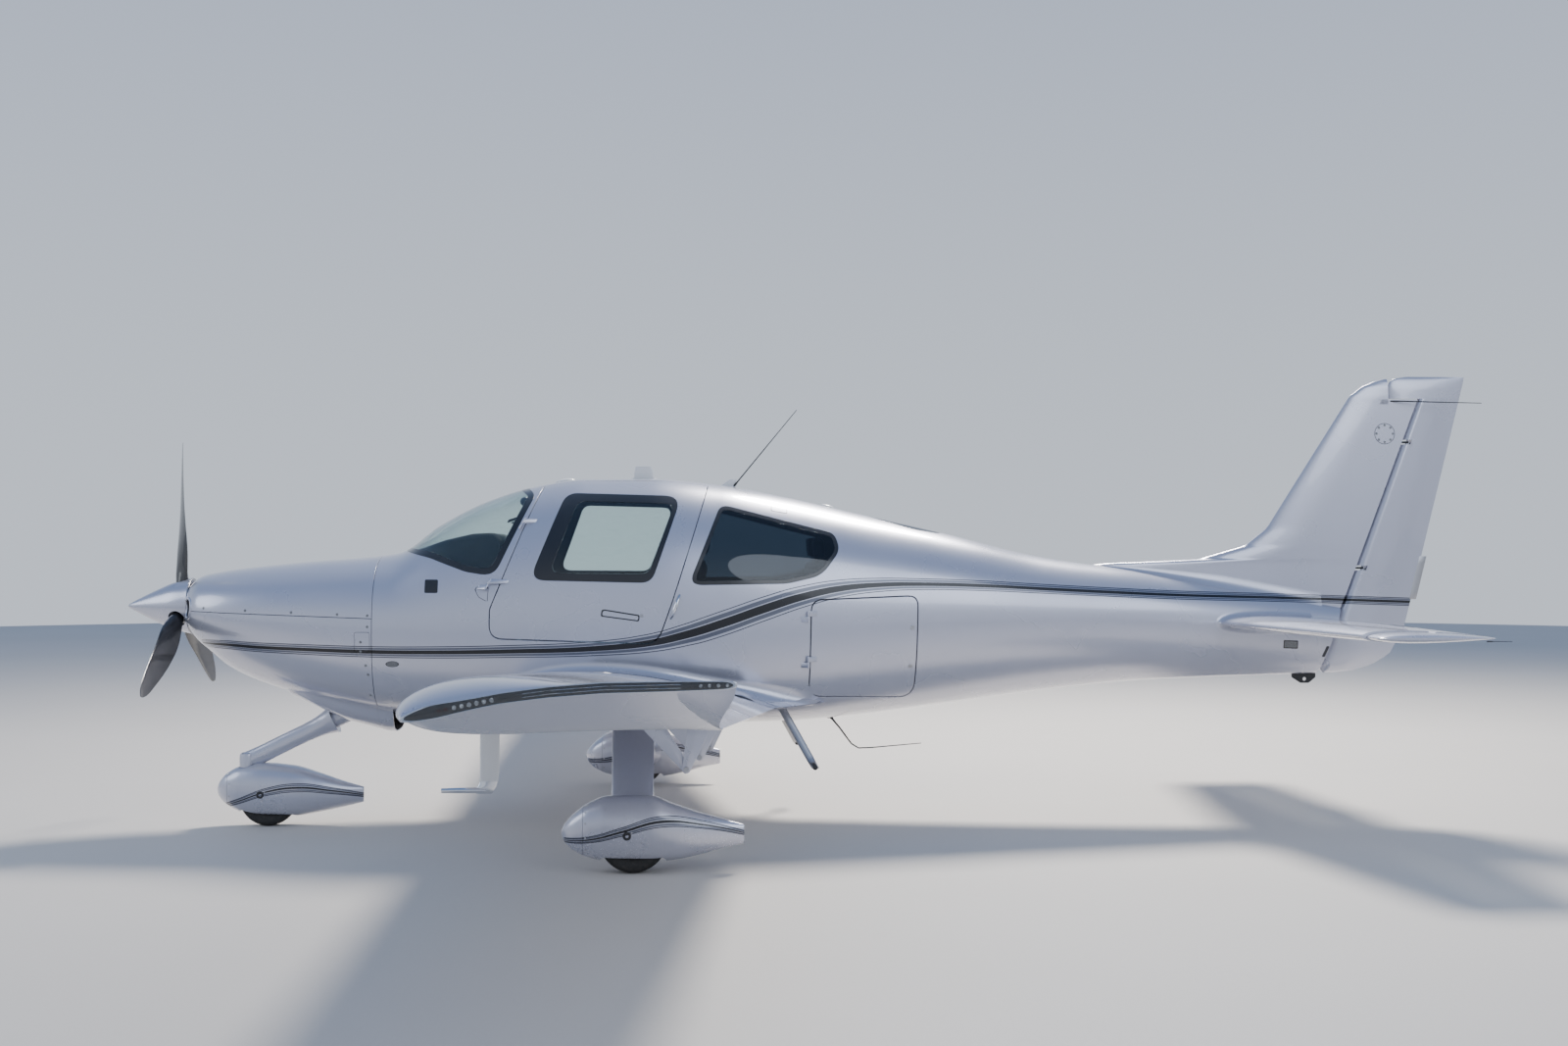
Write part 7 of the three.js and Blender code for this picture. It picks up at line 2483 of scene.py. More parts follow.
@dataclass
class Propeller:
    """Three blades, hub, back plate and spinner."""

    shop: Workshop
    blade_station: float = 304.0
    hole: float = 50.0
    angles: tuple[float, float, float] = (0.0, 2 * math.pi / 3, 4 * math.pi / 3)

    def around(self, points: Array, angle: float) -> Array:
        """Points turned about the shaft."""
        y, z = points[..., 1], points[..., 2] - THRUST_Z
        return np.stack([points[..., 0], y * math.cos(angle) - z * math.sin(angle),
                         THRUST_Z + y * math.sin(angle) + z * math.cos(angle)], -1)

    def blade_rings(self) -> list[Array]:
        """Sections of the upright blade."""
        chord, thick, pitch, shift = (SmoothColumn(BLADE, i) for i in (1, 2, 3, 4))
        radii = np.concatenate([steps(60, 250, 9), steps(262, 860, 20), steps(872, 938, 6), [939.4, 940]])
        half = np.linspace(0, 1, 21)[1:-1] ** 1.4
        rings = []
        for radius in radii:
            blend = float(np.clip((radius - 125) / 110, 0, 1))
            blend = blend * blend * (3 - 2 * blend)
            shares = np.concatenate([[0], half, [1]])
            oval = np.sqrt(np.clip(1 - (2 * shares - 1) ** 2, 0, 1)) / 2
            wing = section_half(shares)
            body = oval * (1 - blend) + wing * blend
            arch = 0.035 * blend * 4 * shares * (1 - shares) * chord(radius)
            along = (0.5 - shares) * chord(radius) + shift(radius)
            front = -arch - body * thick(radius)
            back = -arch + body * thick(radius)
            a = np.concatenate([along, along[-2:0:-1]])
            b = np.concatenate([front, back[-2:0:-1]])
            turn = -math.radians(float(pitch(radius)))
            rings.append(np.stack([self.blade_station + a * math.sin(turn) + b * math.cos(turn),
                                   a * math.cos(turn) - b * math.sin(turn),
                                   np.full(len(a), THRUST_Z + radius)], 1))
        return rings

    def blades(self) -> None:
        """Builds the blades and the clamps at their roots."""
        rings = self.blade_rings()
        maker, clamps = MeshMaker(), MeshMaker()
        for angle in self.angles:
            maker.loft([self.around(ring, angle) for ring in rings])
            foot = self.around(np.array((self.blade_station, 0, THRUST_Z)), angle)
            out = self.around(np.array((self.blade_station, 0, THRUST_Z + 1)), angle) - foot
            clamps.lathe(foot, out, ((66, 44), (70, 46), (84, 46), (86, 41), (98, 41), (100, 44), (110, 44),
                                     (112, 42)), 32)
        self.shop.fit(maker.build("propeller_blades", 40), Finishes.BLADE, "propeller", ("propeller",),
                      "propeller_black")
        self.shop.fit(clamps.build("blade_clamps", 30), Finishes.CAST, "propeller", slot="steel")

    def hub(self) -> None:
        """Builds the hub and the back plate."""
        maker = MeshMaker()
        maker.lathe((240, 0, THRUST_Z), (1, 0, 0),
                    ((0, 30), (2, 52), (8, 62), (16, 66), (121, 66), (161.4, 66)), 40)
        self.shop.fit(maker.build("propeller_hub", 30), Finishes.CAST, "propeller", slot="steel")
        plate = MeshMaker()
        plate.lathe((362.4, 0, THRUST_Z), (1, 0, 0), ((0, 155), (0.5, 158), (4.6, 158), (5.6, 157)), 96)
        self.shop.fit(plate.build("spinner_plate", 30), Finishes.STEEL, "propeller", slot="steel")

    def spinner(self) -> None:
        """Builds the hollow spinner with its blade openings."""
        radius = SmoothColumn(SPINNER, 1)
        outer = [(x, float(radius(x)) if x > 8 else 4.1 * math.sqrt(x)) for x in
                 np.concatenate([[0.02, 0.3, 1, 2, 4, 6], steps(9, 361.2, 11)])]
        rows = [*outer, (361.9, 161.4), (362, 155.4),
                *[(x, float(radius(x)) - 7) for x in steps(340, 90, 16)],
                (40, 20), (26, 0.02)]
        maker = MeshMaker()
        maker.lathe((0, 0, THRUST_Z), (1, 0, 0), rows, 120)
        cutters = MeshMaker()
        for angle in self.angles:
            foot = self.around(np.array((self.blade_station, 0, THRUST_Z)), angle)
            out = self.around(np.array((self.blade_station, 0, THRUST_Z + 1)), angle) - foot
            cutters.bar(foot + out * 90, foot + out * 200, self.hole, sides=48)
        thing = carve(maker.build("spinner_shell", 30), cutters.build("spinner_cutter"))
        self.shop.fit(thing, Finishes.SPINNER, "propeller", ("spinner",))

    def build(self) -> None:
        """Builds the propeller."""
        self.blades()
        self.hub()
        self.spinner()


class PantSurface(Surface):
    """A wheel pant: u is the station and v the angle from its top towards starboard."""

    power = 2.5

    def __init__(self, table: Table, centre: float) -> None:
        """Takes the pant's outline table and its distance from the middle."""
        self.top, self.bottom, self.half = (SmoothColumn(table, i) for i in (1, 2, 3))
        self.centre = centre

    def place(self, u: Array, v: Array) -> Array:
        """Points of the pant."""
        up, out = np.cos(v), np.sin(v)
        tall = (self.top(u) - self.bottom(u)) / 2
        middle = (self.top(u) + self.bottom(u)) / 2
        reach = ellipse_reach(up, out, tall, self.half(u), self.power)
        return np.stack([u, self.centre + reach * out, middle + reach * up], -1)


@dataclass
class WheelPant:
    """One wheel pant of two shells, with its tail plate and fasteners."""

    shop: Workshop
    name: str
    node: str
    body: str
    table: Table
    centre: float
    seam: float
    wheel: float
    slot_half: tuple[float, float]
    finish: Finish
    hole: tuple[float, float] | None = None
    wall: float = 8.0

    def build(self) -> None:
        """Builds the pant."""
        surface = PantSurface(self.table, self.centre)
        start, end = self.table[0][0] + 0.1, self.table[-1][0]
        reach, wide = self.slot_half
        slot = both(plan_region(rounded(((self.wheel - reach, self.centre - wide, 34),
                                         (self.wheel + reach, self.centre - wide, 34),
                                         (self.wheel + reach, self.centre + wide, 34),
                                         (self.wheel - reach, self.centre + wide, 34)))),
                    half_space(2, 150, -1))
        vs = np.linspace(-math.pi, math.pi, 121)
        first = True
        for label, low, high, pitch in (("front", start, self.seam - 0.7, 7),
                                        ("rear", self.seam + 0.7, end, 14)):
            us = steps(low, high, pitch)
            if label == "front":
                us = np.concatenate([[low, low + 0.6, low + 1.5], steps(low + 3, low + 14, 2),
                                     steps(low + 18, high, 6)])
            patch = Patch(surface, us, vs)
            patch.trim(outside(slot))
            if self.hole:
                station, radius = self.hole
                patch.trim(both(outside(lambda points: np.where(
                    points[:, 2] > 240, radius - np.hypot(points[:, 0] - station,
                                                          points[:, 1] - self.centre), -50.0))))
            shell = Shell(patch, self.wall, 0.7)
            thing = shell.build(f"{self.name}_{label}")
            self.shop.fit(thing, self.finish, self.body, (self.node,) if first else ())
            self.shop.line(thing, shell, Finishes.PLASTIC)
            first = False
        angle = np.linspace(-math.pi, math.pi, 72, endpoint=False)
        ring = surface.place(np.full(72, end), angle)
        centre = ring.mean(0)
        plate = MeshMaker()
        plate.loft([centre + (ring - centre) * scale + (shift, 0, 0)
                    for scale, shift in ((0.93, -6.0), (0.985, -1.0), (0.985, 0.0), (0.93, 1.0), (0.6, 1.6))])
        self.shop.fit(plate.build(f"{self.name}_tail", 40), self.finish, self.body)
        self.fasteners(surface)

    def spot(self, surface: PantSurface, x: float, z: float, side: int) -> tuple[Array, Array]:
        """Point of the pant at a station and height on one side, with the way out from there."""
        v = np.linspace(0.05, math.pi - 0.05, 400) * side
        points = surface.place(np.full(400, x), v)
        index = int(np.argmin(np.abs(points[:, 2] - z)))
        return points[index], surface.normals(np.full(1, x), v[index:index + 1])[0]

    def fasteners(self, surface: PantSurface) -> None:
        """Adds the axle access cover, screws along the seam and the small inspection plugs."""
        screws, covers = MeshMaker(), MeshMaker()
        mid = float(surface.top(self.wheel) + surface.bottom(self.wheel)) / 2
        for side in (-1, 1):
            for height in (-90, -30, 40, 92):
                at, out = self.spot(surface, self.seam + 14, mid + height, side)
                screws.lathe(at - out * 1.5, out, ((0, 5.2), (1.9, 5.2), (2.3, 4.6), (1.7, 2.4), (1.7, 0)),
                             16)
            at, out = self.spot(surface, self.wheel - 30, mid - 20, side)
            covers.lathe(at - out * 2, out, ((0, 21), (2.2, 21), (2.8, 20), (2.8, 9), (1.4, 8), (1.4, 0)), 40)
            for dx, dz in ((24, 16), (12, -30), (70, -34)):
                at, out = self.spot(surface, self.wheel - 30 + dx, mid - 20 + dz, side)
                screws.lathe(at - out * 1.5, out, ((0, 4.2), (1.7, 4.2), (2.0, 3.6), (1.5, 2.0), (1.5, 0)),
                             14)
        self.shop.fit(screws.build(f"{self.name}_screws", 30), Finishes.STEEL, self.body, slot="steel")
        self.shop.fit(covers.build(f"{self.name}_covers", 30), Finishes.PLASTIC, self.body, slot="steel")


@dataclass
class Wheel:
    """One tyre on its rim."""

    shop: Workshop
    name: str
    node: str
    centre: tuple[float, float, float]
    radius: float
    half: float
    bore: float = 15.0

    def turned(self, rows: Table, sides: int) -> MeshMaker:
        """A ring turned about the axle from a closed profile of distance along the axle and radius."""
        turn = np.linspace(0, 2 * math.pi, sides, endpoint=False)
        at = np.array(self.centre)
        rings = [at + np.stack([r * np.cos(turn), np.full(sides, s), r * np.sin(turn)], 1) for s, r in rows]
        return MeshMaker().loft([*rings, rings[0]], caps=False)

    def build(self) -> None:
        """Builds the tyre and the rim."""
        r, h = self.radius, self.half
        side = [(-h * 0.70, r * 0.56), (-h * 0.90, r * 0.62), (-h * 0.985, r * 0.72), (-h, r * 0.80),
                (-h * 0.965, r * 0.88), (-h * 0.86, r * 0.935), (-h * 0.80, r * 0.948),
                (-h * 0.66, r * 0.976)]
        tread: list[tuple[float, float]] = []
        for groove in (-0.42, -0.14, 0.14, 0.42):
            level = r * (0.9985 - 0.05 * abs(groove) ** 2)
            tread += [((groove - 0.05) * h, level), ((groove - 0.035) * h, level - 4.5),
                      ((groove + 0.035) * h, level - 4.5), ((groove + 0.05) * h, level)]
        tread.insert(8, (0.0, r))
        other = [(-s, q) for s, q in reversed(side)]
        tyre = self.turned([*side, *tread, *other, (h * 0.62, r * 0.54), (-h * 0.62, r * 0.54)], 96)
        self.shop.fit(tyre.build(f"{self.name}_tyre", 40), Finishes.TYRE, self.name, (self.node,), "tyre")
        rim = self.turned([(-h * 0.72, r * 0.565), (-h * 0.60, r * 0.58), (-h * 0.55, r * 0.50),
                           (-h * 0.30, r * 0.40),
                           (-h * 0.42, r * 0.24), (-h * 0.78, r * 0.20), (-h * 0.80, self.bore + 1),
                           (h * 0.80, self.bore + 1), (h * 0.78, r * 0.20), (h * 0.42, r * 0.24),
                           (h * 0.30, r * 0.40),
                           (h * 0.55, r * 0.50), (h * 0.60, r * 0.58), (h * 0.72, r * 0.565),
                           (h * 0.66, r * 0.545),
                           (-h * 0.66, r * 0.545)], 64)
        for angle in np.linspace(0, 2 * math.pi, 8, endpoint=False):
            spot = np.array(self.centre) + (r * 0.31 * math.cos(angle), 0, r * 0.31 * math.sin(angle))
            rim.bar(spot - (0, h * 0.5, 0), spot + (0, h * 0.5, 0), 5.5, sides=6)
        self.shop.fit(rim.build(f"{self.name}_rim", 30), Finishes.STEEL, self.name, slot="steel")


@dataclass
class Gear:
    """Nose leg, main legs, pants and wheels."""

    shop: Workshop
    main_middle: float = 2907.0
    main_wheel: tuple[float, float, float] = (2915, 1650, 172)
    nose_wheel: tuple[float, float, float] = (800, 0, 165)

    def nose_leg(self) -> None:
        """Builds the nose leg with its stub and the cuff at the cowl."""
        path = np.array(((640, 358), (652, 364), (676, 374), (760, 410), (900, 480), (1210, 628),
                         (1467.7, 750)), float)
        share = np.concatenate([[0], np.cumsum(np.hypot(*np.diff(path, axis=0).T))])
        fine = np.linspace(0, share[-1], 60)
        rows = np.stack([np.interp(fine, share, path[:, i]) for i in (0, 1)], 1)
        for _ in range(6):
            rows[1:-1] = (rows[:-2] + 2 * rows[1:-1] + rows[2:]) / 4
        along = np.gradient(rows, axis=0)
        along /= np.linalg.norm(along, axis=1, keepdims=True)
        turn = np.linspace(0, 2 * math.pi, 44, endpoint=False)
        rings = []
        for i, (at, way) in enumerate(zip(rows, along)):
            size = min(1.0, math.sqrt(max(fine[i] / 38, 0)) * 0.9 + 0.12)
            tall, wide = 51 * size, 33 * min(1.0, size * 1.1)
            normal = np.array((-way[1], way[0]))
            high, out = np.cos(turn) * tall, np.sin(turn) * wide
            rings.append(np.stack([at[0] + normal[0] * high, out, at[1] + normal[1] * high], 1))
        maker = MeshMaker().loft(rings)
        maker.lathe((675, 0, 336), (0, 0, 1), ((0, 42), (2, 44), (60, 44), (78, 40), (86, 26)), 40)
        cuff = []
        for t in np.linspace(0, 1, 12):
            grow = t ** 2.2
            k = float(np.interp(1020 + 150 * t, rows[:, 0], np.arange(60)))
            i = int(k)
            at, way = rows[i] + (rows[i + 1] - rows[i]) * (k - i), along[i]
            normal = np.array((-way[1], way[0]))
            high = np.cos(turn) * (52.5 + 30 * grow)
            cuff.append(np.stack([at[0] + normal[0] * high, np.sin(turn) * (34.5 + 40 * grow),
                                  at[1] + normal[1] * high], 1))
        maker.loft(cuff)
        self.shop.fit(maker.build("nose_leg_fairing", 35), Finishes.GEAR, nodes=("nose_leg",))

    def fork(self) -> None:
        """Builds the nose fork, its axle and its pivot."""
        arms = MeshMaker()
        for side in (-1, 1):
            low, high = sorted((side * 58, side * 66))
            arms.prism(FORK_ARM, "xz", low, high)
        arms.prism(((-66, 272), (66, 291), (40, 328), (-40, 328), (-66, 291))[:0] or
                   ((-66, 272), (-66, 291), (-40, 328), (40, 328), (66, 291), (66, 272)), "yz", 648, 702)
        self.shop.fit(arms.build("nose_fork_arms", 30, 2.5), Finishes.GEAR, "nose_fork", ("nose_fork",))
        pins = MeshMaker()
        x, _, z = self.nose_wheel
        pins.lathe((x, -105, z), (0, 1, 0), ((0, 12), (1.5, 14), (208.5, 14), (210, 12)), 28)
        for side in (-1, 1):
            pins.lathe((x, side * 66, z), (0, side, 0), ((0, 24), (9, 24), (10, 22), (10, 14)), 6)
        pins.lathe((675, 0, 317), (0, 0, 1), ((0, 15), (86, 15), (87.5, 13)), 28)
        self.shop.fit(pins.build("nose_axle", 30), Finishes.STEEL, "nose_fork", slot="steel")

    def leg_ring(self, y: float, z: float, half: float, thick: float, side: int) -> Array:
        """Section of a main leg with a round front and a finer back."""
        turn = np.linspace(0, 2 * math.pi, 56, endpoint=False)
        cosine, sine = np.cos(turn), np.sin(turn)
        body = thick * sine * (0.82 - 0.34 * cosine) * 1.15
        return np.stack([self.main_middle + half * cosine, side * (y + 0.66 * body), z + 0.75 * body], 1)

    def main_leg(self, side_name: str, side: int) -> None:
        """Builds one main leg with the cuff over its pant, its foot and its axle."""
        z_of, half_of, thick_of = (SmoothColumn(MAIN_LEG, i) for i in (1, 2, 3))
        maker = MeshMaker().loft([self.leg_ring(y, float(z_of(y)), float(half_of(y)), float(thick_of(y)),
                                                side)
                                  for y in steps(820, 1512, 18)])
        turn = np.linspace(0, 2 * math.pi, 56, endpoint=False)
        cuff = []
        for s in np.linspace(0, 1, 22):
            y = 1165 + 407 * s
            leg_z, leg_half, leg_thick = (float(f(min(y, 1512))) for f in (z_of, half_of, thick_of))
            if y > 1512:
                leg_z -= (y - 1512) * 0.8
            start_top, start_low = leg_z + 0.75 * leg_thick + 1.0, leg_z - 0.75 * leg_thick - 1.0
            ease = s * s * (3 - 2 * s)
            top = start_top * (1 - ease) + (350 + 26 * (1 - s)) * ease
            top = max(top, start_top)
            low = start_low * (1 - ease) + 120 * ease
            half = (leg_half + 1.5) * (1 - s ** 3) + 172 * s ** 3
            middle, tall = (top + low) / 2, (top - low) / 2
            power = 2 + 0.4 * ease
            up, out = np.cos(turn), np.sin(turn)
            reach = (np.abs(up / tall) ** power + np.abs(out / half) ** power) ** (-1 / power)
            slope = (1 - ease) * 0.62
            cuff.append(np.stack([self.main_middle + reach * out, side * (y + slope * (reach * up)),
                                  middle + reach * up], 1))
        maker.loft(cuff)
        self.shop.fit(maker.build(f"main_leg_fairing_{side_name}", 35), Finishes.GEAR,
                      nodes=(f"main_leg_{side_name}",))
        axle = MeshMaker()
        x, y, z = self.main_wheel
        axle.lathe((x, side * 1494, z), (0, side, 0), ((0, 30), (3, 34), (31, 34), (34, 30), (34, 15),
                                                       (232, 15),
                                                       (234, 13)), 36)
        self.shop.fit(axle.build(f"main_axle_{side_name}", 30), Finishes.STEEL, slot="steel")

    def build(self) -> None:
        """Builds the landing gear."""
        self.nose_leg()
        self.fork()
        WheelPant(self.shop, "nose_pant", "nose_pant", "nose_fork", NOSE_PANT, 0.0, 574.0, self.nose_wheel[0],
                  (163, 62), Finishes.NOSE_PANT, (675.0, 53.0)).build()
        Wheel(self.shop, "nose_wheel", "nose_wheel", self.nose_wheel, 165, 52).build()
        for side_name, side in SIDES:
            self.main_leg(side_name, side)
            x, y, z = self.main_wheel
            WheelPant(self.shop, f"main_pant_{side_name}", f"main_pant_{side_name}", "airframe", MAIN_PANT,
                      side * y,
                      2668.0, x, (163, 76), Finishes.MAIN_PANT).build()
            Wheel(self.shop, f"main_wheel_{side_name}", f"main_wheel_{side_name}", (x, side * y, z), 172,
                  66).build()


PANEL = ((2058, 1000, 4), (2082, 1000, 4), (2094, 1430, 20), (2150, 1476, 40), (2180, 1540, 40),
         (2182, 1640, 50),
         (2120, 1686, 60), (2000, 1680, 60), (1850, 1647, 60), (1700, 1596, 20), (1640, 1572, 6),
         (1640, 1545, 6),
         (1768, 1522, 20), (1940, 1452, 20), (2058, 1425, 10))
FRONT_BACK = ((3064, 892, 26), (3168, 892, 34), (3327, 1552, 36), (3243, 1562, 36))
FRONT_HEAD = ((3240, 1558, 20), (3330, 1552, 20), (3349, 1722, 36), (3271, 1727, 36))
REAR_BACK = ((3842, 902, 26), (3933, 902, 34), (4028, 1538, 40), (3942, 1543, 40))
REAR_HEAD = ((3932, 1536, 16), (4012, 1536, 16), (4004, 1668, 36), (3916, 1675, 36))
SEAT_BASE_TOP = 880.0
FLOOR_TOP = 742.0
STITCH, SCREW = "stitch", "screw"


class Repeater:
    """Geometry tree that sets a small shape on each point of a mesh, turned by the point's directions."""

    def __init__(self, name: str, kind: str) -> None:
        """Builds the tree for a kind of small shape."""
        self.tree = bpy.data.node_groups.new(name, "GeometryNodeTree")
        face = self.tree.interface
        face.new_socket("Geometry", in_out="OUTPUT", socket_type="NodeSocketGeometry")
        face.new_socket("Geometry", in_out="INPUT", socket_type="NodeSocketGeometry")
        self.sockets = {"Width": face.new_socket("Width", in_out="INPUT",
                                                 socket_type="NodeSocketFloat").identifier}
        self.sockets["Height"] = face.new_socket("Height", in_out="INPUT",
                                                 socket_type="NodeSocketFloat").identifier
        self.sockets["Finish"] = face.new_socket("Finish", in_out="INPUT",
                                                 socket_type="NodeSocketMaterial").identifier
        self.sockets["Seed"] = face.new_socket("Seed", in_out="INPUT", socket_type="NodeSocketInt").identifier
        nodes = NodeTree(self.tree)
        source = nodes.add("NodeGroupInput")
        shape = self._screw(nodes, source) if kind == SCREW else self._stitch(nodes, source)
        out = self._attribute(nodes, "out")
        along = self._attribute(nodes, "along")
        upright = nodes.add("FunctionNodeAlignRotationToVector", {"Vector": out}, axis="Z")
        turned = nodes.add("FunctionNodeAlignRotationToVector",
                           {"Rotation": upright.outputs[0], "Vector": along},
                           axis="X", pivot_axis="Z")
        spread = 3.0 if kind == SCREW else 0.06
        wobble = nodes.add("FunctionNodeRandomValue", {"Min": (0, 0, -spread), "Max": (0, 0, spread),
                                                       "Seed": source.outputs["Seed"]},
                                                       data_type="FLOAT_VECTOR")
        spin = nodes.add("FunctionNodeEulerToRotation", {0: wobble.outputs[0]})
        final = nodes.add("FunctionNodeRotateRotation",
                          {"Rotation": turned.outputs[0], "Rotate By": spin.outputs[0]},
                          rotation_space="LOCAL")
        copies = nodes.add("GeometryNodeInstanceOnPoints", {"Points": source.outputs["Geometry"],
                                                            "Instance": shape,
                                                            "Rotation": final.outputs[0]})
        real = nodes.add("GeometryNodeRealizeInstances", {"Geometry": copies.outputs[0]})
        dressed = nodes.add("GeometryNodeSetMaterial", {"Geometry": real.outputs[0],
                                                        "Material": source.outputs["Finish"]})
        nodes.add("NodeGroupOutput", {"Geometry": dressed.outputs[0]})

    def _attribute(self, nodes: NodeTree, name: str) -> object:
        """A named vector of the points."""
        return nodes.add("GeometryNodeInputNamedAttribute", {"Name": name},
                         data_type="FLOAT_VECTOR").outputs[0]

    def _screw(self, nodes: NodeTree, source: bpy.types.Node) -> object:
        """A low screw head: a rim, a dome and a recess."""
        width, height = source.outputs["Width"], source.outputs["Height"]
        rim = nodes.add("GeometryNodeMeshCone", {"Vertices": 14,
                                                 "Radius Top": nodes.sum("MULTIPLY", width, 0.84),
                                                 "Radius Bottom": width, "Depth": height}, fill_type="NGON")
        lobe = nodes.add("GeometryNodeMeshCone", {"Vertices": 6,
                                                  "Radius Top": nodes.sum("MULTIPLY", width, 0.30),
                                                  "Radius Bottom": nodes.sum("MULTIPLY", width, 0.46),
                                                  "Depth": nodes.sum("MULTIPLY", height, 1.25)},
                                                  fill_type="NGON")
        joined = nodes.add("GeometryNodeJoinGeometry")
        for part in (lobe, rim):
            nodes.tree.links.new(part.outputs[0], joined.inputs[0])
        return joined.outputs[0]

    def _stitch(self, nodes: NodeTree, source: bpy.types.Node) -> object:
        """A short thread: a small ball drawn out along the seam."""
        ball = nodes.add("GeometryNodeMeshIcoSphere", {"Radius": 1.0, "Subdivisions": 1})
        size = nodes.add("ShaderNodeCombineXYZ", {0: source.outputs["Width"],
                                                  1: nodes.sum("MULTIPLY", source.outputs["Height"], 0.9),
                                                  2: source.outputs["Height"]})
        return nodes.add("GeometryNodeTransform",
                         {"Geometry": ball.outputs[0], "Scale": size.outputs[0]}).outputs[0]

    def make(self, name: str, points: Array, outs: Array, alongs: Array, width: float, height: float,
             finish: bpy.types.Material, seed: int = 7) -> bpy.types.Object:
        """One plain mesh of the repeated shape.

        Args:
            name: Object's name.
            points: Places, in millimetres.
            outs: Ways out of the surface at the places.
            alongs: Ways along the row at the places.
            width: Half width of the shape, in millimetres.
            height: Height of the shape, in millimetres.
            finish: Its material.
            seed: Seed of the small turns.

        Returns:
            The object.
        """
        thing = mesh_object(name, metres(np.asarray(points, float)), [])
        for label, rows in (("out", outs), ("along", alongs)):
            field_values = thing.data.attributes.new(label, "FLOAT_VECTOR", "POINT")
            field_values.data.foreach_set("vector", np.asarray(rows, np.float32).ravel())
        modifier = thing.modifiers.new("repeat", "NODES")
        modifier.node_group = self.tree
        for label, value in (("Width", width / 1000), ("Height", height / 1000), ("Finish", finish),
                             ("Seed", seed)):
            modifier[self.sockets[label]] = value
        apply_modifiers(thing)
        thing.data.shade_smooth()
        thing.data.set_sharp_from_angle(angle=math.radians(25))
        return thing


@dataclass(frozen=True)
class Pad:
    """One padded piece: its blocks in side view, its width and where its panels are sewn."""

    name: str
    node: str
    blocks: tuple[tuple[Table, float, float], ...]
    centre: float
    sitting: bool
    insert: tuple[float, float, float, float]
    channels: tuple[float, ...]
    cap: float = 24.0


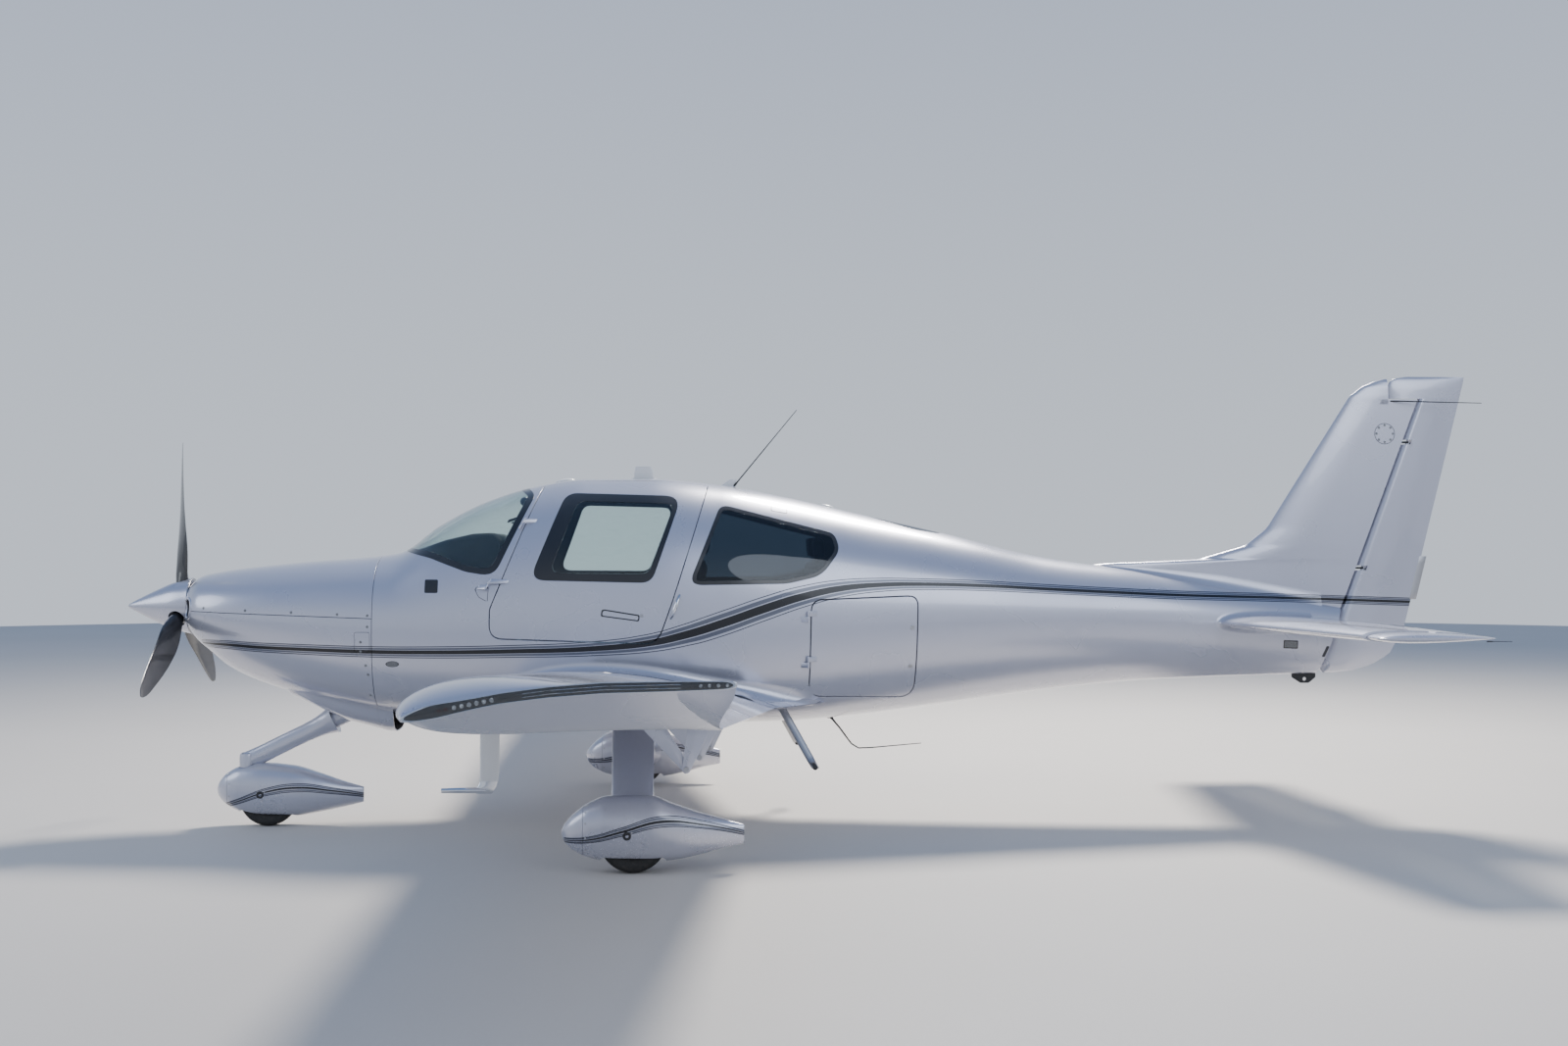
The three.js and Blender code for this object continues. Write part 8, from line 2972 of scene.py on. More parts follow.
@dataclass
class Seats:
    """Padded seats with sewn panels and stitches."""

    shop: Workshop
    stitches: Repeater
    voxel: float = 0.007
    shrink: float = 13.0
    round_end: float = 30.0
    frames: int = 20
    pressure: float = 4.0

    def cushion_outline(self, front: float, height: float, foot: float, lean: float) -> Table:
        """Side view of a seat cushion whose back meets the seat back."""
        low = SEAT_BASE_TOP + 1.5
        return ((front, low, 12), (foot - 4, low, 8), (foot + lean * height - 4, low + height, 16),
                (front + 10, low + height + 38, 46))

    def pads(self) -> list[Pad]:
        """The padded pieces of all four seats."""
        pads = []
        front_lean, rear_lean = 180 / 672, 98 / 643
        for side_name, side in SIDES:
            low, high = sorted((side * 46, side * 499))
            middle = (low + high) / 2
            pads.append(Pad(f"front_seat_{side_name}", f"front_cushion_{side_name}",
                            ((self.cushion_outline(2592, 84, 3062, front_lean), low, high),), middle, True,
                            (2650, 3040, middle - 150, middle + 150), (2730, 2810, 2890, 2970)))
            pads.append(Pad(f"front_seat_back_{side_name}", f"front_back_{side_name}",
                            ((FRONT_BACK, low, high), (FRONT_HEAD, middle - 124, middle + 124)), middle,
                            False,
                            (960, 1500, middle - 145, middle + 145), (1050, 1140, 1230, 1320, 1410)))
        pads.append(Pad("rear_seat", "rear_cushion",
                        ((self.cushion_outline(3393, 90, 3840, rear_lean), -499, 499),),
                        0.0, True, (3450, 3800, -430, 430), (3540, 3630, 3720)))
        pads.append(Pad("rear_seat_back", "rear_back",
                        ((REAR_BACK, -429, 429), (REAR_HEAD, -299, -91), (REAR_HEAD, 91, 299)), 0.0, False,
                        (960, 1480, -370, 370), (1060, 1160, 1260, 1360)))
        return pads

    def start_shape(self, pad: Pad) -> bpy.types.Object:
        """The slack shape of a pad before it is filled."""
        maker = MeshMaker()
        for outline, low, high in pad.blocks:
            edge = rounded(outline)
            rings = []
            shares = ((0, 1.0), (0.10, 0.62), (0.28, 0.32), (0.55, 0.10), (1, 0))
            for y, extra in [(low + self.shrink + t * self.round_end, e) for t, e in shares] + \
                    [(high - self.shrink - t * self.round_end, e) for t, e in reversed(shares)]:
                ring = inset(edge, self.shrink + extra * self.round_end * 0.7)
                rings.append(np.stack([ring[:, 0], np.full(len(ring), y), ring[:, 1]], 1))
            maker.loft(rings)
        thing = maker.build(pad.name, 60)
        mesh = thing.modifiers.new("even_mesh", "REMESH")
        mesh.mode = "VOXEL"
        mesh.voxel_size = self.voxel
        return apply_modifiers(thing)

    def fill(self, things: Sequence[bpy.types.Object], pads: Sequence[Pad]) -> None:
        """Fills the pads under pressure with cloth simulation and keeps the result."""
        starts = [self.points(thing) for thing in things]
        for thing in things:
            cloth = thing.modifiers.new("filling", "CLOTH")
            cloth.settings.quality = 4
            cloth.settings.mass = 0.3
            cloth.settings.tension_stiffness = 12
            cloth.settings.compression_stiffness = 12
            cloth.settings.shear_stiffness = 6
            cloth.settings.bending_stiffness = 0.8
            cloth.settings.use_pressure = True
            cloth.settings.uniform_pressure_force = self.pressure
            cloth.settings.effector_weights.gravity = 0
            cloth.collision_settings.use_collision = False
            cloth.point_cache.frame_start = 1
            cloth.point_cache.frame_end = self.frames
        scene = bpy.context.scene
        for frame_number in range(1, self.frames + 1):
            scene.frame_set(frame_number)
            bpy.context.view_layer.update()
        graph = bpy.context.evaluated_depsgraph_get()
        results = []
        for thing, start, pad in zip(things, starts, pads):
            mesh = thing.evaluated_get(graph).to_mesh()
            end = np.zeros(len(mesh.vertices) * 3)
            mesh.vertices.foreach_get("co", end)
            shift = end.reshape(-1, 3) - start
            length = np.linalg.norm(shift, axis=1, keepdims=True)
            limit = pad.cap / 1000
            results.append(start + shift * (limit * np.tanh(length / limit) / np.maximum(length, 1e-9)))
            thing.evaluated_get(graph).to_mesh_clear()
        for thing, end in zip(things, results):
            thing.modifiers.clear()
            self.move(thing, end)
        scene.frame_set(1)

    def points(self, thing: bpy.types.Object) -> Array:
        """Points of an object's mesh, in metres."""
        flat = np.zeros(len(thing.data.vertices) * 3)
        thing.data.vertices.foreach_get("co", flat)
        return flat.reshape(-1, 3)

    def move(self, thing: bpy.types.Object, points: Array) -> None:
        """Moves an object's points."""
        thing.data.vertices.foreach_set("co", np.asarray(points, np.float32).ravel())
        thing.data.update()

    def hold(self, thing: bpy.types.Object, pad: Pad) -> None:
        """Keeps a pad inside the room of its solid node, flat where it rests."""
        low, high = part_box(pad.node)
        points = self.points(thing)
        margin = 0.0015
        for axis in range(3):
            bottom, top = low[axis] + margin, high[axis] - margin
            if axis == 2 and pad.sitting:
                top += 0.008
            points[:, axis] = np.clip(points[:, axis], bottom, top)
        self.move(thing, points)

    def frame_of(self, pad: Pad, points: Array) -> tuple[Array, Array]:
        """Coordinates of points over a pad's front: along its length, and across."""
        station = points[:, 0] * 1000 + MID_STATION
        length = station if pad.sitting else points[:, 2] * 1000
        return length, points[:, 1] * 1000

    def sew(self, thing: bpy.types.Object, pad: Pad) -> Array:
        """Presses the sewn lines into a pad.

        Args:
            thing: The pad's object.
            pad: Its description.

        Returns:
            Whether each point lies inside the insert panel.
        """
        points = self.points(thing)
        normals = np.zeros(len(points) * 3)
        thing.data.vertices.foreach_get("normal", normals)
        normals = normals.reshape(-1, 3)
        facing = normals[:, 2] > 0.45 if pad.sitting else normals[:, 0] < -0.45
        length, across = self.frame_of(pad, points)
        start, end, low, high = pad.insert
        edge = np.minimum.reduce([length - start, end - length, across - low, high - across])
        inside = (edge > 0) & facing
        depth = np.exp(-(edge / 7.5) ** 2) * 5.0
        for line in pad.channels:
            depth = np.maximum(depth, np.exp(-((length - line) / 7.0) ** 2) * 4.5 * (edge > -2))
        if pad.insert[3] - pad.insert[2] > 500:
            depth = np.maximum(depth, np.exp(-(across / 7.0) ** 2) * 4.5 * (edge > -2))
        soft = np.where(facing, depth, 0) / 1000
        crown = np.where(inside, np.clip(edge / 60, 0, 1) * 0.003, 0)
        self.move(thing, points - normals * (soft - crown)[:, None])
        return inside

    def stitch(self, thing: bpy.types.Object, pad: Pad) -> None:
        """Runs a line of stitches round the insert panel."""
        start, end, low, high = (pad.insert[0] - 6, pad.insert[1] + 6, pad.insert[2] - 6, pad.insert[3] + 6)
        corners = ((start, low), (end, low), (end, high), (start, high), (start, low))
        places, outs, alongs = [], [], []
        graph = bpy.context.evaluated_depsgraph_get()
        tree = BVHTree.FromObject(thing, graph)
        for (a0, b0), (a1, b1) in zip(corners, corners[1:]):
            count = int(math.hypot(a1 - a0, b1 - b0) / 8.5)
            for k in range(count):
                a, b = a0 + (a1 - a0) * k / count, b0 + (b1 - b0) * k / count
                if pad.sitting:
                    origin, way = Vector(((a - MID_STATION) / 1000, b / 1000, 1.4)), Vector((0, 0, -1))
                    along = ((a1 - a0), (b1 - b0), 0)
                else:
                    origin, way = Vector((-1.6, b / 1000, a / 1000)), Vector((1, 0, 0))
                    along = (0, (b1 - b0), (a1 - a0))
                    if pad.name == "rear_seat_back":
                        origin.x = -0.5
                hit, normal, _, _ = tree.ray_cast(origin, way)
                if hit is None:
                    continue
                places.append(np.array(hit) * 1000 + (MID_STATION, 0, 0) + np.array(normal) * 0.5)
                outs.append(tuple(normal))
                alongs.append(along)
        seam = self.stitches.make(f"{pad.name}_stitches", np.array(places), np.array(outs), np.array(alongs),
                                  3.1, 0.75, self.shop.finishes.material(Finishes.THREAD))
        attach(seam, "airframe")

    def build(self) -> None:
        """Builds every seat."""
        pads = self.pads()
        things = [self.start_shape(pad) for pad in pads]
        self.fill(things, pads)
        for thing, pad in zip(things, pads):
            self.hold(thing, pad)
            inside = self.sew(thing, pad)
            self.shop.fit(thing, Finishes.HIDE, "airframe", (pad.node,), "seat_leather")
            thing.data.materials.append(self.shop.finishes.material(Finishes.INSERT))
            for polygon in thing.data.polygons:
                if all(inside[v] for v in polygon.vertices):
                    polygon.material_index = 1
            thing.data.shade_smooth()
            self.stitch(thing, pad)
        self.fittings()

    def fittings(self) -> None:
        """Builds seat rails, hinge covers and belt latches."""
        rails, covers, belts = MeshMaker(), MeshMaker(), MeshMaker()
        for side in (-1, 1):
            for y in (120, 430):
                rails.box((2540, side * y - 11, FLOOR_TOP + 0.5), (3040, side * y + 11, FLOOR_TOP + 12))
            for y in (40, 504):
                covers.lathe((3092, side * y - 5, 920), (0, 1, 0), ((0, 30), (2, 34), (8, 34), (10, 30)), 32)
            belts.tube(((3030, side * 30, 884), (3022, side * 30, 950), (3010, side * 32, 1010)), 5, 10)
            belts.box((2994, side * 33 - 13, 1004), (3030, side * 33 + 13, 1066))
        self.shop.fit(rails.build("seat_rails", 30, 1.5), Finishes.STEEL, slot="steel")
        self.shop.fit(covers.build("seat_hinge_covers", 30), Finishes.PLASTIC, slot="cabin_trim")
        self.shop.fit(belts.build("belt_latches", 30, 2.0), Finishes.PLASTIC, slot="cabin_trim")


@dataclass
class Cockpit:
    """Instrument panel, console, controls, floor and small cabin pieces."""

    shop: Workshop
    half_wide: float = 585.0

    def room(self, x: float, z: float) -> float:
        """Half width that is free inside the cabin's skin."""
        return float(hull_y(x, z)) - SKIN - 3

    def panel(self) -> None:
        """Builds the instrument panel with its hood, trimmed to the cabin's width."""
        outline = rounded(PANEL, 5)
        maker = MeshMaker()
        rings = []
        shares = (0, 0.012, 0.03, 0.06, *np.linspace(0.1, 0.9, 17), 0.94, 0.97, 0.988, 1)
        centre = outline.mean(0)
        for share in shares:
            across = 2 * share - 1
            ring = []
            ends = max(0.0, (abs(across) - 0.88) / 0.12)
            for x, z in outline:
                wide = min(self.half_wide, self.room(x, z))
                ring.append((x + (centre[0] - x) * 0.10 * ends ** 2, across * wide,
                             z + (centre[1] - z) * 0.05 * ends ** 2))
            rings.append(np.array(ring))
        maker.loft(rings)
        self.shop.fit(maker.build("instrument_panel_hood", 50), Finishes.PLASTIC,
                      nodes=("instrument_panel",), slot="cabin_trim")

    def face_point(self, y: float, z: float, lift: float = 0.0) -> Array:
        """Point on the panel's face."""
        share = (z - 1000) / 440
        return np.array((2082 + 12 * share + lift, y, z))

    def displays(self) -> None:
        """Builds the two large displays, the standby display and the rows of keys and knobs."""
        bezels, glass, knobs, keys = MeshMaker(), MeshMaker(), MeshMaker(), MeshMaker()
        for y, z, wide, tall in ((-300, 1314, 165, 102), (70, 1314, 165, 102), (-480, 1120, 46, 46)):
            for maker, grow, low, high in ((bezels, 0, -4, 7), (glass, -15, 5, 7.8)):
                outline = rounded(((y - wide - grow, z - tall - grow, 10),
                                   (y + wide + grow, z - tall - grow, 10),
                                   (y + wide + grow, z + tall + grow, 10),
                                   (y - wide - grow, z + tall + grow, 10)))
                rings = [np.array([self.face_point(a, b, lift) for a, b in outline]) for lift in (low, high)]
                maker.loft(rings)
        for y in (-455, -145, -85, 225):
            for z in (1240, 1394):
                at = self.face_point(y, z, 6)
                knobs.lathe(at, (1, 0, 0), ((0, 9), (10, 8.4), (11, 7.6), (11, 5), (19, 4.6), (20, 3.8)), 24)
        for z in (1184, 1146, 1108):
            for column in range(11):
                y = -290 + column * 40
                keys.box(self.face_point(y - 14, z - 11, 0), self.face_point(y + 14, z + 11, 5.5))
        self.shop.fit(bezels.build("display_bezels", 30, 1.5), Finishes.PLASTIC, slot="cabin_trim")
        self.shop.fit(glass.build("display_glass", 30, 0.5), Finishes.SCREEN, slot="cabin_trim")
        self.shop.fit(knobs.build("panel_knobs", 30), Finishes.STEEL, slot="steel")
        self.shop.fit(keys.build("panel_keys", 30, 1.5), Finishes.TRIM, slot="cabin_trim")

    def yokes(self) -> None:
        """Builds the side yokes and the pedals."""
        yokes, grips, pedals = MeshMaker(), MeshMaker(), MeshMaker()
        for side in (-1, 1):
            y = side * 440
            yokes.bar((2088, y, 1075), (2205, y, 1100), 14, sides=24, ease=2)
            grips.tube(((2205, y, 1100), (2226, y, 1112), (2238, y, 1150), (2232, y, 1195), (2222, y, 1215)),
                       (17, 19, 18, 17, 14), 20)
            yokes.lathe((2088, y, 1075), (1, 0, 0.21), ((0, 34), (3, 34), (6, 24), (16, 20)), 32)
            for offset in (-95, 95):
                middle = side * 235 + offset
                pedals.tube(((1560, middle, 800), (1600, middle, 850), (1640, middle, 900)), 7, 10)
                pedals.box((1625, middle - 40, 880), (1639, middle + 40, 965))
        self.shop.fit(yokes.build("yoke_shafts", 30), Finishes.STEEL, slot="steel")
        self.shop.fit(grips.build("yoke_grips", 40), Finishes.HIDE, slot="cabin_trim")
        self.shop.fit(pedals.build("rudder_pedals", 30, 2.0), Finishes.STEEL, slot="steel")

    def console(self) -> None:
        """Builds the centre console with its lever, key pads and arm rest."""
        foot = FLOOR_TOP + 0.4
        outline = rounded(((2040, foot, 4), (2540, foot, 4), (2540, 960, 24), (2400, 985, 40),
                           (2190, 1010, 40),
                           (2060, 990, 10)), 5)
        maker = MeshMaker()
        rings = []
        for y, extra in ((-95, 5), (-93, 1.5), (-89, 0), (89, 0), (93, 1.5), (95, 5)):
            ring = inset(outline, extra)
            rings.append(np.stack([ring[:, 0], np.full(len(ring), y), ring[:, 1]], 1))
        maker.loft(rings)
        self.shop.fit(maker.build("console_shell", 40), Finishes.TRIM, nodes=("centre_console",),
                      slot="cabin_trim")
        details, lever, screens = MeshMaker(), MeshMaker(), MeshMaker()
        slope = (985 - 1010) / (2400 - 2190)
        for x, long, wide in ((2130, 40, 60), (2235, 46, 60)):
            z = 1010 + (x - 2190) * slope if x > 2190 else 990 + (x - 2060) * 0.154
            screens.box((x - long, -wide, z - 6), (x + long, wide, z + 2.5))
        lever.bar((2330, -40, 985), (2316, -40, 1085), 5, sides=14)
        lever.bar((2316, -66, 1088), (2316, -14, 1088), 12, sides=20, ease=4)
        lever.bar((2330, 34, 985), (2322, 34, 1050), 4, sides=14)
        lever.lathe((2322, 34, 1044), (0, 0, 1), ((0, 6), (4, 12), (14, 13), (20, 9), (22, 3)), 20)
        details.box((2400, -74, 962), (2532, 74, 990))
        self.shop.fit(screens.build("console_screens", 30, 1.5), Finishes.SCREEN, slot="cabin_trim")
        self.shop.fit(lever.build("power_lever", 30), Finishes.STEEL, slot="steel")
        self.shop.fit(details.build("console_lid", 30, 10.0, 3), Finishes.HIDE, slot="cabin_trim")

    def overhead(self) -> None:
        """Builds the sun visors with their rods and the compass case."""
        visors, compass = MeshMaker(), MeshMaker()
        for side in (-1, 1):
            outline = rounded(((2170, side * 120, 20), (2310, side * 120, 20), (2290, side * 360, 30),
                               (2195, side * 340, 30)))
            rings = []
            for lift in (0, 7):
                tops = [float(hull_z(x, abs(y))) - SKIN - 42 for x, y in outline]
                base = min(tops)
                rings.append(np.array([(x, y, base + lift + (x - 2240) * 0.32) for x, y in outline]))
            visors.loft(rings)
            visors.tube(((2305, side * 130, rings[0][:, 2].max() + 4),
                         (2322, side * 130, rings[0][:, 2].max() + 30)),
                        4, 10)
        compass.lathe((2262, -24, float(hull_z(2262, 0)) - SKIN - 42), (0, 1, 0),
                      ((0, 20), (5, 26), (43, 26), (48, 20)), 28)
        self.shop.fit(visors.build("sun_visors", 30, 2.0), Finishes.PLASTIC, slot="cabin_trim")
        self.shop.fit(compass.build("compass_case", 30), Finishes.PLASTIC, slot="cabin_trim")

    def carried_over(self) -> None:
        """Finishes the solid nodes that stay."""
        for node, finish in (("cabin_floor", Finishes.CARPET), ("firewall", Finishes.STEEL),
                             ("engine_block", Finishes.CAST)):
            self.shop.finishes.dress_node(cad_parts[node], finish)

    def build(self) -> None:
        """Builds the cockpit."""
        self.panel()
        self.displays()
        self.yokes()
        self.console()
        self.overhead()
        self.carried_over()


# Screws of the cowl's seams: station and height on the fuselage's side
COWL_SCREWS = ((509, 1266), (753, 1254), (1013, 1244), (1271, 1234), (1439, 1228), (1439, 1166), (1402, 1083),
               (1402, 1030), (1429, 952), (1439, 900), (1439, 779))
# Round panel of the fin: distance ahead of the rudder's hinge line, height and radius
FIN_PANEL = (167, 2290, 62)
FIN_PANEL_SCREWS = 0.82
# Ends of an entry step's tread, out from the middle
STEP_TREAD = (560, 690)
# Outlines on the fuselage's side: station, z, corner radius
HANDLE_BED = ((2722, 1224, 11), (2935, 1195, 11), (2938, 1232, 11), (2729, 1266, 15))
HANDLE_PADDLE = ((2731, 1230, 8), (2928, 1203, 8), (2930, 1225, 8), (2737, 1257, 12))
BLANK_SQUARE = ((1752, 1353, 8), (1826, 1353, 8), (1826, 1427, 8), (1752, 1427, 8))
HINGE_COVER = ((2030, 1372, 8), (2052, 1330, 8), (2102, 1302, 3), (2107, 1384, 3), (2040, 1388, 10))
ROOF_PANEL = ((3682, 1812, 8), (3774, 1796, 8), (3776, 1828, 8), (3684, 1846, 8))
DRAIN_SLOT = ((6992, 950, 9), (7012, 948, 9), (7040, 1014, 9), (7020, 1016, 9))
# Lock and ends of the grab handle: station and z
DOOR_LOCK = (2948, 1228)
GRAB_TOP, GRAB_FOOT = (3158, 1341), (3110, 1212)
GRAB_RISE = 24
# Antennas: points of the whip, of the belly antenna and of a fin whisker, and radii along the last two
WHIP = ((3440, 0, 1910), (3857, 0, 2417))
BELLY_ANTENNA = ((4060, 0, 600), (4110, 0, 540), (4180, 0, 445), (4223, 0, 418), (4300, 0, 420),
                 (4597, 0, 444))
BELLY_RADII = (6, 5, 4.4, 4, 3.6, 2.2)
WHISKER = ((7440, 12, 2486), (7470, 34, 2487), (7916, 250, 2460))
WHISKER_RADII = (5, 4.2, 2.2)
# Static wick of the elevator's tip: points and radii
WICK = ((7170, 1880, 1135), (7196, 1880, 1135), (7200, 1880, 1135), (7300, 1880, 1134))
WICK_RADII = (3.6, 3.4, 1.9, 1.4)
# Entry step: its top and knee, the chord and thickness of its strut as half widths
STEP_TOP, STEP_KNEE = (3735, 430, 700.0), (3905, 560, 392.0)
STEP_STRUT = (22, 7.5)
PITOT_Y = 3600
TIE_DOWN = ((6846, 850, 4), (6992, 850, 4), (6992, 822, 14), (6950, 788, 18), (6900, 788, 18),
            (6846, 822, 14))
# Static port: station, z, half length and half height
STATIC_PORT = (1577, 961, 38, 17)


@dataclass
class Trim:
    """Handles, screws, blank plates, antennas, entry steps and the other small outer pieces."""

    shop: Workshop
    screws: Repeater

    def plate(self, name: str, outline: Table, finish: Finish, lift: float = 0.5, thickness: float = 1.2,
              body: str = "airframe", side: int = -1, slot: str = "steel") -> None:
        """Builds a thin plate that follows the fuselage's side.

        Args:
            name: Piece's name.
            outline: Its outline in side view, with corner radii.
            finish: Its finish.
            lift: Height of its face over the skin.
            thickness: Its thickness.
            body: Body that it moves with.
            side: Side of the fuselage.
            slot: Not used.
        """
        edge = rounded(outline)
        low, high = edge[:, 0].min() - 6, edge[:, 0].max() + 6
        angles = (0.1, 2.8) if side > 0 else (-2.8, -0.1)
        patch = Patch(HULL_SURFACE, steps(low, high, 12),
                      arc_angles(HULL_SURFACE, (low + high) / 2, 130, *angles),
                      fixed_ends=False)
        patch.trim(both(side_region(edge), beyond(0, side)))
        shell = Shell(patch, thickness, min(0.4, thickness / 3))
        for points in shell.points:
            points[:, 1] += side * lift
        self.shop.fit(shell.build(name), finish, body, (), slot)

    def outlined(self, name: str, outline: Table, finish: Finish, gap: float = 3.0, body: str = "airframe",
                 side: int = -1) -> None:
        """Builds a cover with a dark seam round it."""
        self.plate(f"{name}_seam", outline, Finishes.BORDER, 0.3, 1.0, body, side)
        inner = tuple((x, z, 0) for x, z in inset(rounded(outline), gap))
        self.plate(f"{name}_cover", inner, finish, 0.7, 1.2, body, side, "airframe_paint")

    def handles(self) -> None:
        """Builds the door handles, locks and grab handles."""
        for side_name, side in SIDES:
            body = f"door_{side_name}"
            self.plate(f"handle_bed_{side_name}", HANDLE_BED, Finishes.BORDER, 0.5, 1.2, body, side)
            self.plate(f"handle_paddle_{side_name}", HANDLE_PADDLE, Finishes.PEARL, 4.0, 4.4, body, side,
                       "airframe_paint")
            at, normal = on_hull(*DOOR_LOCK, side), outward(*DOOR_LOCK, side)
            lock = MeshMaker().lathe(at - normal * 3, normal,
                                     ((0, 10), (3.8, 10), (4.6, 9.2), (4.6, 3), (3.2, 2.4), (3.2, 0)), 28)
            self.shop.fit(lock.build(f"door_lock_{side_name}", 30), Finishes.STEEL, body, slot="steel")
            path = []
            for share in np.linspace(0, 1, 18):
                x, z = (top + (foot - top) * share for top, foot in zip(GRAB_TOP, GRAB_FOOT))
                rise = GRAB_RISE * math.sin(math.pi * share) ** 0.5 - 3
                path.append(on_hull(x, z, side) + outward(x, z, side) * rise)
            grab = MeshMaker().tube(path, [7 + 4 * math.sin(math.pi * s) for s in np.linspace(0, 1, 18)], 18)
            self.shop.fit(grab.build(f"grab_handle_{side_name}", 40), Finishes.CHROME, slot="steel")

    def plates(self) -> None:
        """Builds the flush plates and blank panels of the near side."""
        x, z, long, tall = STATIC_PORT
        for label, size, lift, finish in (("rim", 1.0, 0.4, Finishes.BORDER),
                                          ("face", 0.86, 0.9, Finishes.CAST)):
            ring = tuple((x + long * size * math.cos(a), z + tall * size * math.sin(a), 0)
                         for a in np.linspace(0, 2 * math.pi, 32, endpoint=False))
            self.plate(f"static_port_{label}", ring, finish, lift)
        self.plate("blank_square", BLANK_SQUARE, Finishes.BORDER, slot="cabin_trim")
        self.outlined("hinge_cover", HINGE_COVER, Finishes.PEARL)
        self.outlined("roof_panel", ROOF_PANEL, Finishes.PEARL)
        for label, edge, lift, finish in (("rim", 0, 0.4, Finishes.BORDER), ("face", 7, 0.9, Finishes.CAST)):
            self.plate(f"blank_plate_{label}", (
                (6745 + edge, 1004 + edge, 3), (6838 - edge, 1000 + edge, 3), (6838 - edge, 1050 - edge, 3),
                (6745 + edge, 1054 - edge, 3)), finish, lift, 0.9)
        # The dark drain slot plate is painted shade standing in for the slot's opening
        self.plate("drain_slot", DRAIN_SLOT, Finishes.SEAM_AND_SHADE, 0.3, 0.9)

    def screw_rows(self) -> None:
        """Sets the screws of the cowl and of the fin's round panel."""
        places, outs = [], []
        for side in (-1, 1):
            for x, z in COWL_SCREWS:
                vs = np.linspace(0.2, 2.9, 900) * side
                surface = COWL_SURFACE if x < COWL_END else HULL_SURFACE
                cloud = surface.place(np.full(900, float(x)), vs)
                near = int(np.abs(cloud[:, 2] - z).argmin())
                places.append(cloud[near])
                outs.append(surface.normals(np.array([float(x)]), vs[near:near + 1])[0])
            before, z, radius = FIN_PANEL
            for turn in np.linspace(0, 2 * math.pi, 8, endpoint=False):
                high = z + radius * FIN_PANEL_SCREWS * math.sin(turn)
                x = float(rudder_axis(z)) - before + radius * FIN_PANEL_SCREWS * math.cos(turn)
                places.append(np.array((x, side * float(fin_half(x, high)), high)))
                outs.append(np.array((0.0, side, 0.0)))
        alongs = np.tile((1.0, 0, 0), (len(places), 1))
        thing = self.screws.make("cowl_screws", np.array(places), np.array(outs), alongs, 7.5, 1.4,
                                 self.shop.finishes.material(Finishes.CAST))
        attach(thing, "airframe")
        LOG.info("%s: %d screws", thing.name, len(places))

    def dome(self, name: str, x: float, half: float, wide: float, tall: float) -> None:
        """Builds a low oval antenna on the roof's middle line."""
        rings = []
        for share in (1.0, 0.999, 0.96, 0.88, 0.74, 0.54, 0.28, 0.02):
            angle = np.linspace(0, 2 * math.pi, 40, endpoint=False)
            xs, ys = x + half * share * np.cos(angle), wide * share * np.sin(angle)
            base = np.array([float(hull_z(a, abs(b))) for a, b in zip(xs, ys)])
            lift = -2.5 if share == 1.0 else tall * math.sqrt(max(1 - share * share, 0.02))
            rings.append(np.stack([xs, ys, base + lift], 1))
        self.shop.fit(MeshMaker().loft(rings).build(name, 40), Finishes.WHITE)

    def blade(self, rows: Sequence[tuple[float, float, float, float]], count: int = 28) -> MeshMaker:
        """Builds a thin upright blade.

        Args:
            rows: Height, front station, back station and half thickness of its sections.
            count: Points round a section.

        Returns:
            A maker that holds it.
        """
        rings = []
        for z, front, back, half in rows:
            angle = np.linspace(0, 2 * math.pi, count, endpoint=False)
            share = (1 - np.cos(angle)) / 2
            rings.append(np.stack([front + (back - front) * share,
                                   half * np.sin(angle) * (1.15 - 0.5 * share),
                                   np.full(count, z)], 1))
        return MeshMaker().loft(rings)

    def antennas(self) -> None:
        """Builds the roof, belly and fin antennas."""
        foot = float(hull_z(2956, 0))
        maker = self.blade(((foot - 3, 2882, 3030, 17), (foot + 3.5, 2884, 3028, 16),
                            (foot + 6, 2889, 3022, 8), (1998, 2891, 3020, 6), (2060, 2903, 3004, 5.4),
                            (2074, 2907, 3000, 4.2), (2078.5, 2912, 2994, 2)))
        self.shop.fit(maker.build("roof_antenna_blade", 40), Finishes.WHITE, nodes=("roof_antenna",))
        line = np.array(WHIP, float)
        low = float(hull_z(line[0][0], 0))
        whip = MeshMaker()
        way = (line[1] - line[0]) / np.linalg.norm(line[1] - line[0])
        start = line[0] + way * max(0.0, (low - line[0][2] - 4) / way[2])
        length = float(np.linalg.norm(line[1] - start))
        whip.lathe(start, way, ((0, 7), (26, 6.8), (34, 5), (60, 4), (length - 40, 2.2), (length - 3, 2.0),
                                (length, 1.2)), 14)
        base = self.blade(((low - 4, 3398, 3500, 13), (low + 3, 3400, 3496, 12), (low + 6, 3408, 3486, 8),
                           (low + 34, 3450, 3500, 7), (low + 40, 3460, 3500, 4)), 24)
        self.shop.fit(whip.build("whip_antenna_rod", 40), Finishes.PLASTIC, nodes=("whip_antenna",))
        self.shop.fit(base.build("whip_antenna_foot", 40), Finishes.WHITE)
        self.dome("roof_puck_front", 2498, 57, 40, 17)
        self.dome("roof_puck_rear", 4037, 41, 36, 15)
        under = MeshMaker()
        under.tube(BELLY_ANTENNA, BELLY_RADII, 12)
        under.lathe((4052, 0, 612), (0.62, 0, -0.78), ((0, 20), (6, 20), (14, 10), (26, 8), (30, 5)), 24)
        self.shop.fit(under.build("belly_antenna", 40), Finishes.PLASTIC, slot="cabin_trim")
        whiskers = MeshMaker()
        for side in (-1, 1):
            whiskers.tube([(x, side * y, z) for x, y, z in WHISKER], WHISKER_RADII, 10)
        self.shop.fit(whiskers.build("fin_whiskers", 40), Finishes.PLASTIC, slot="cabin_trim")

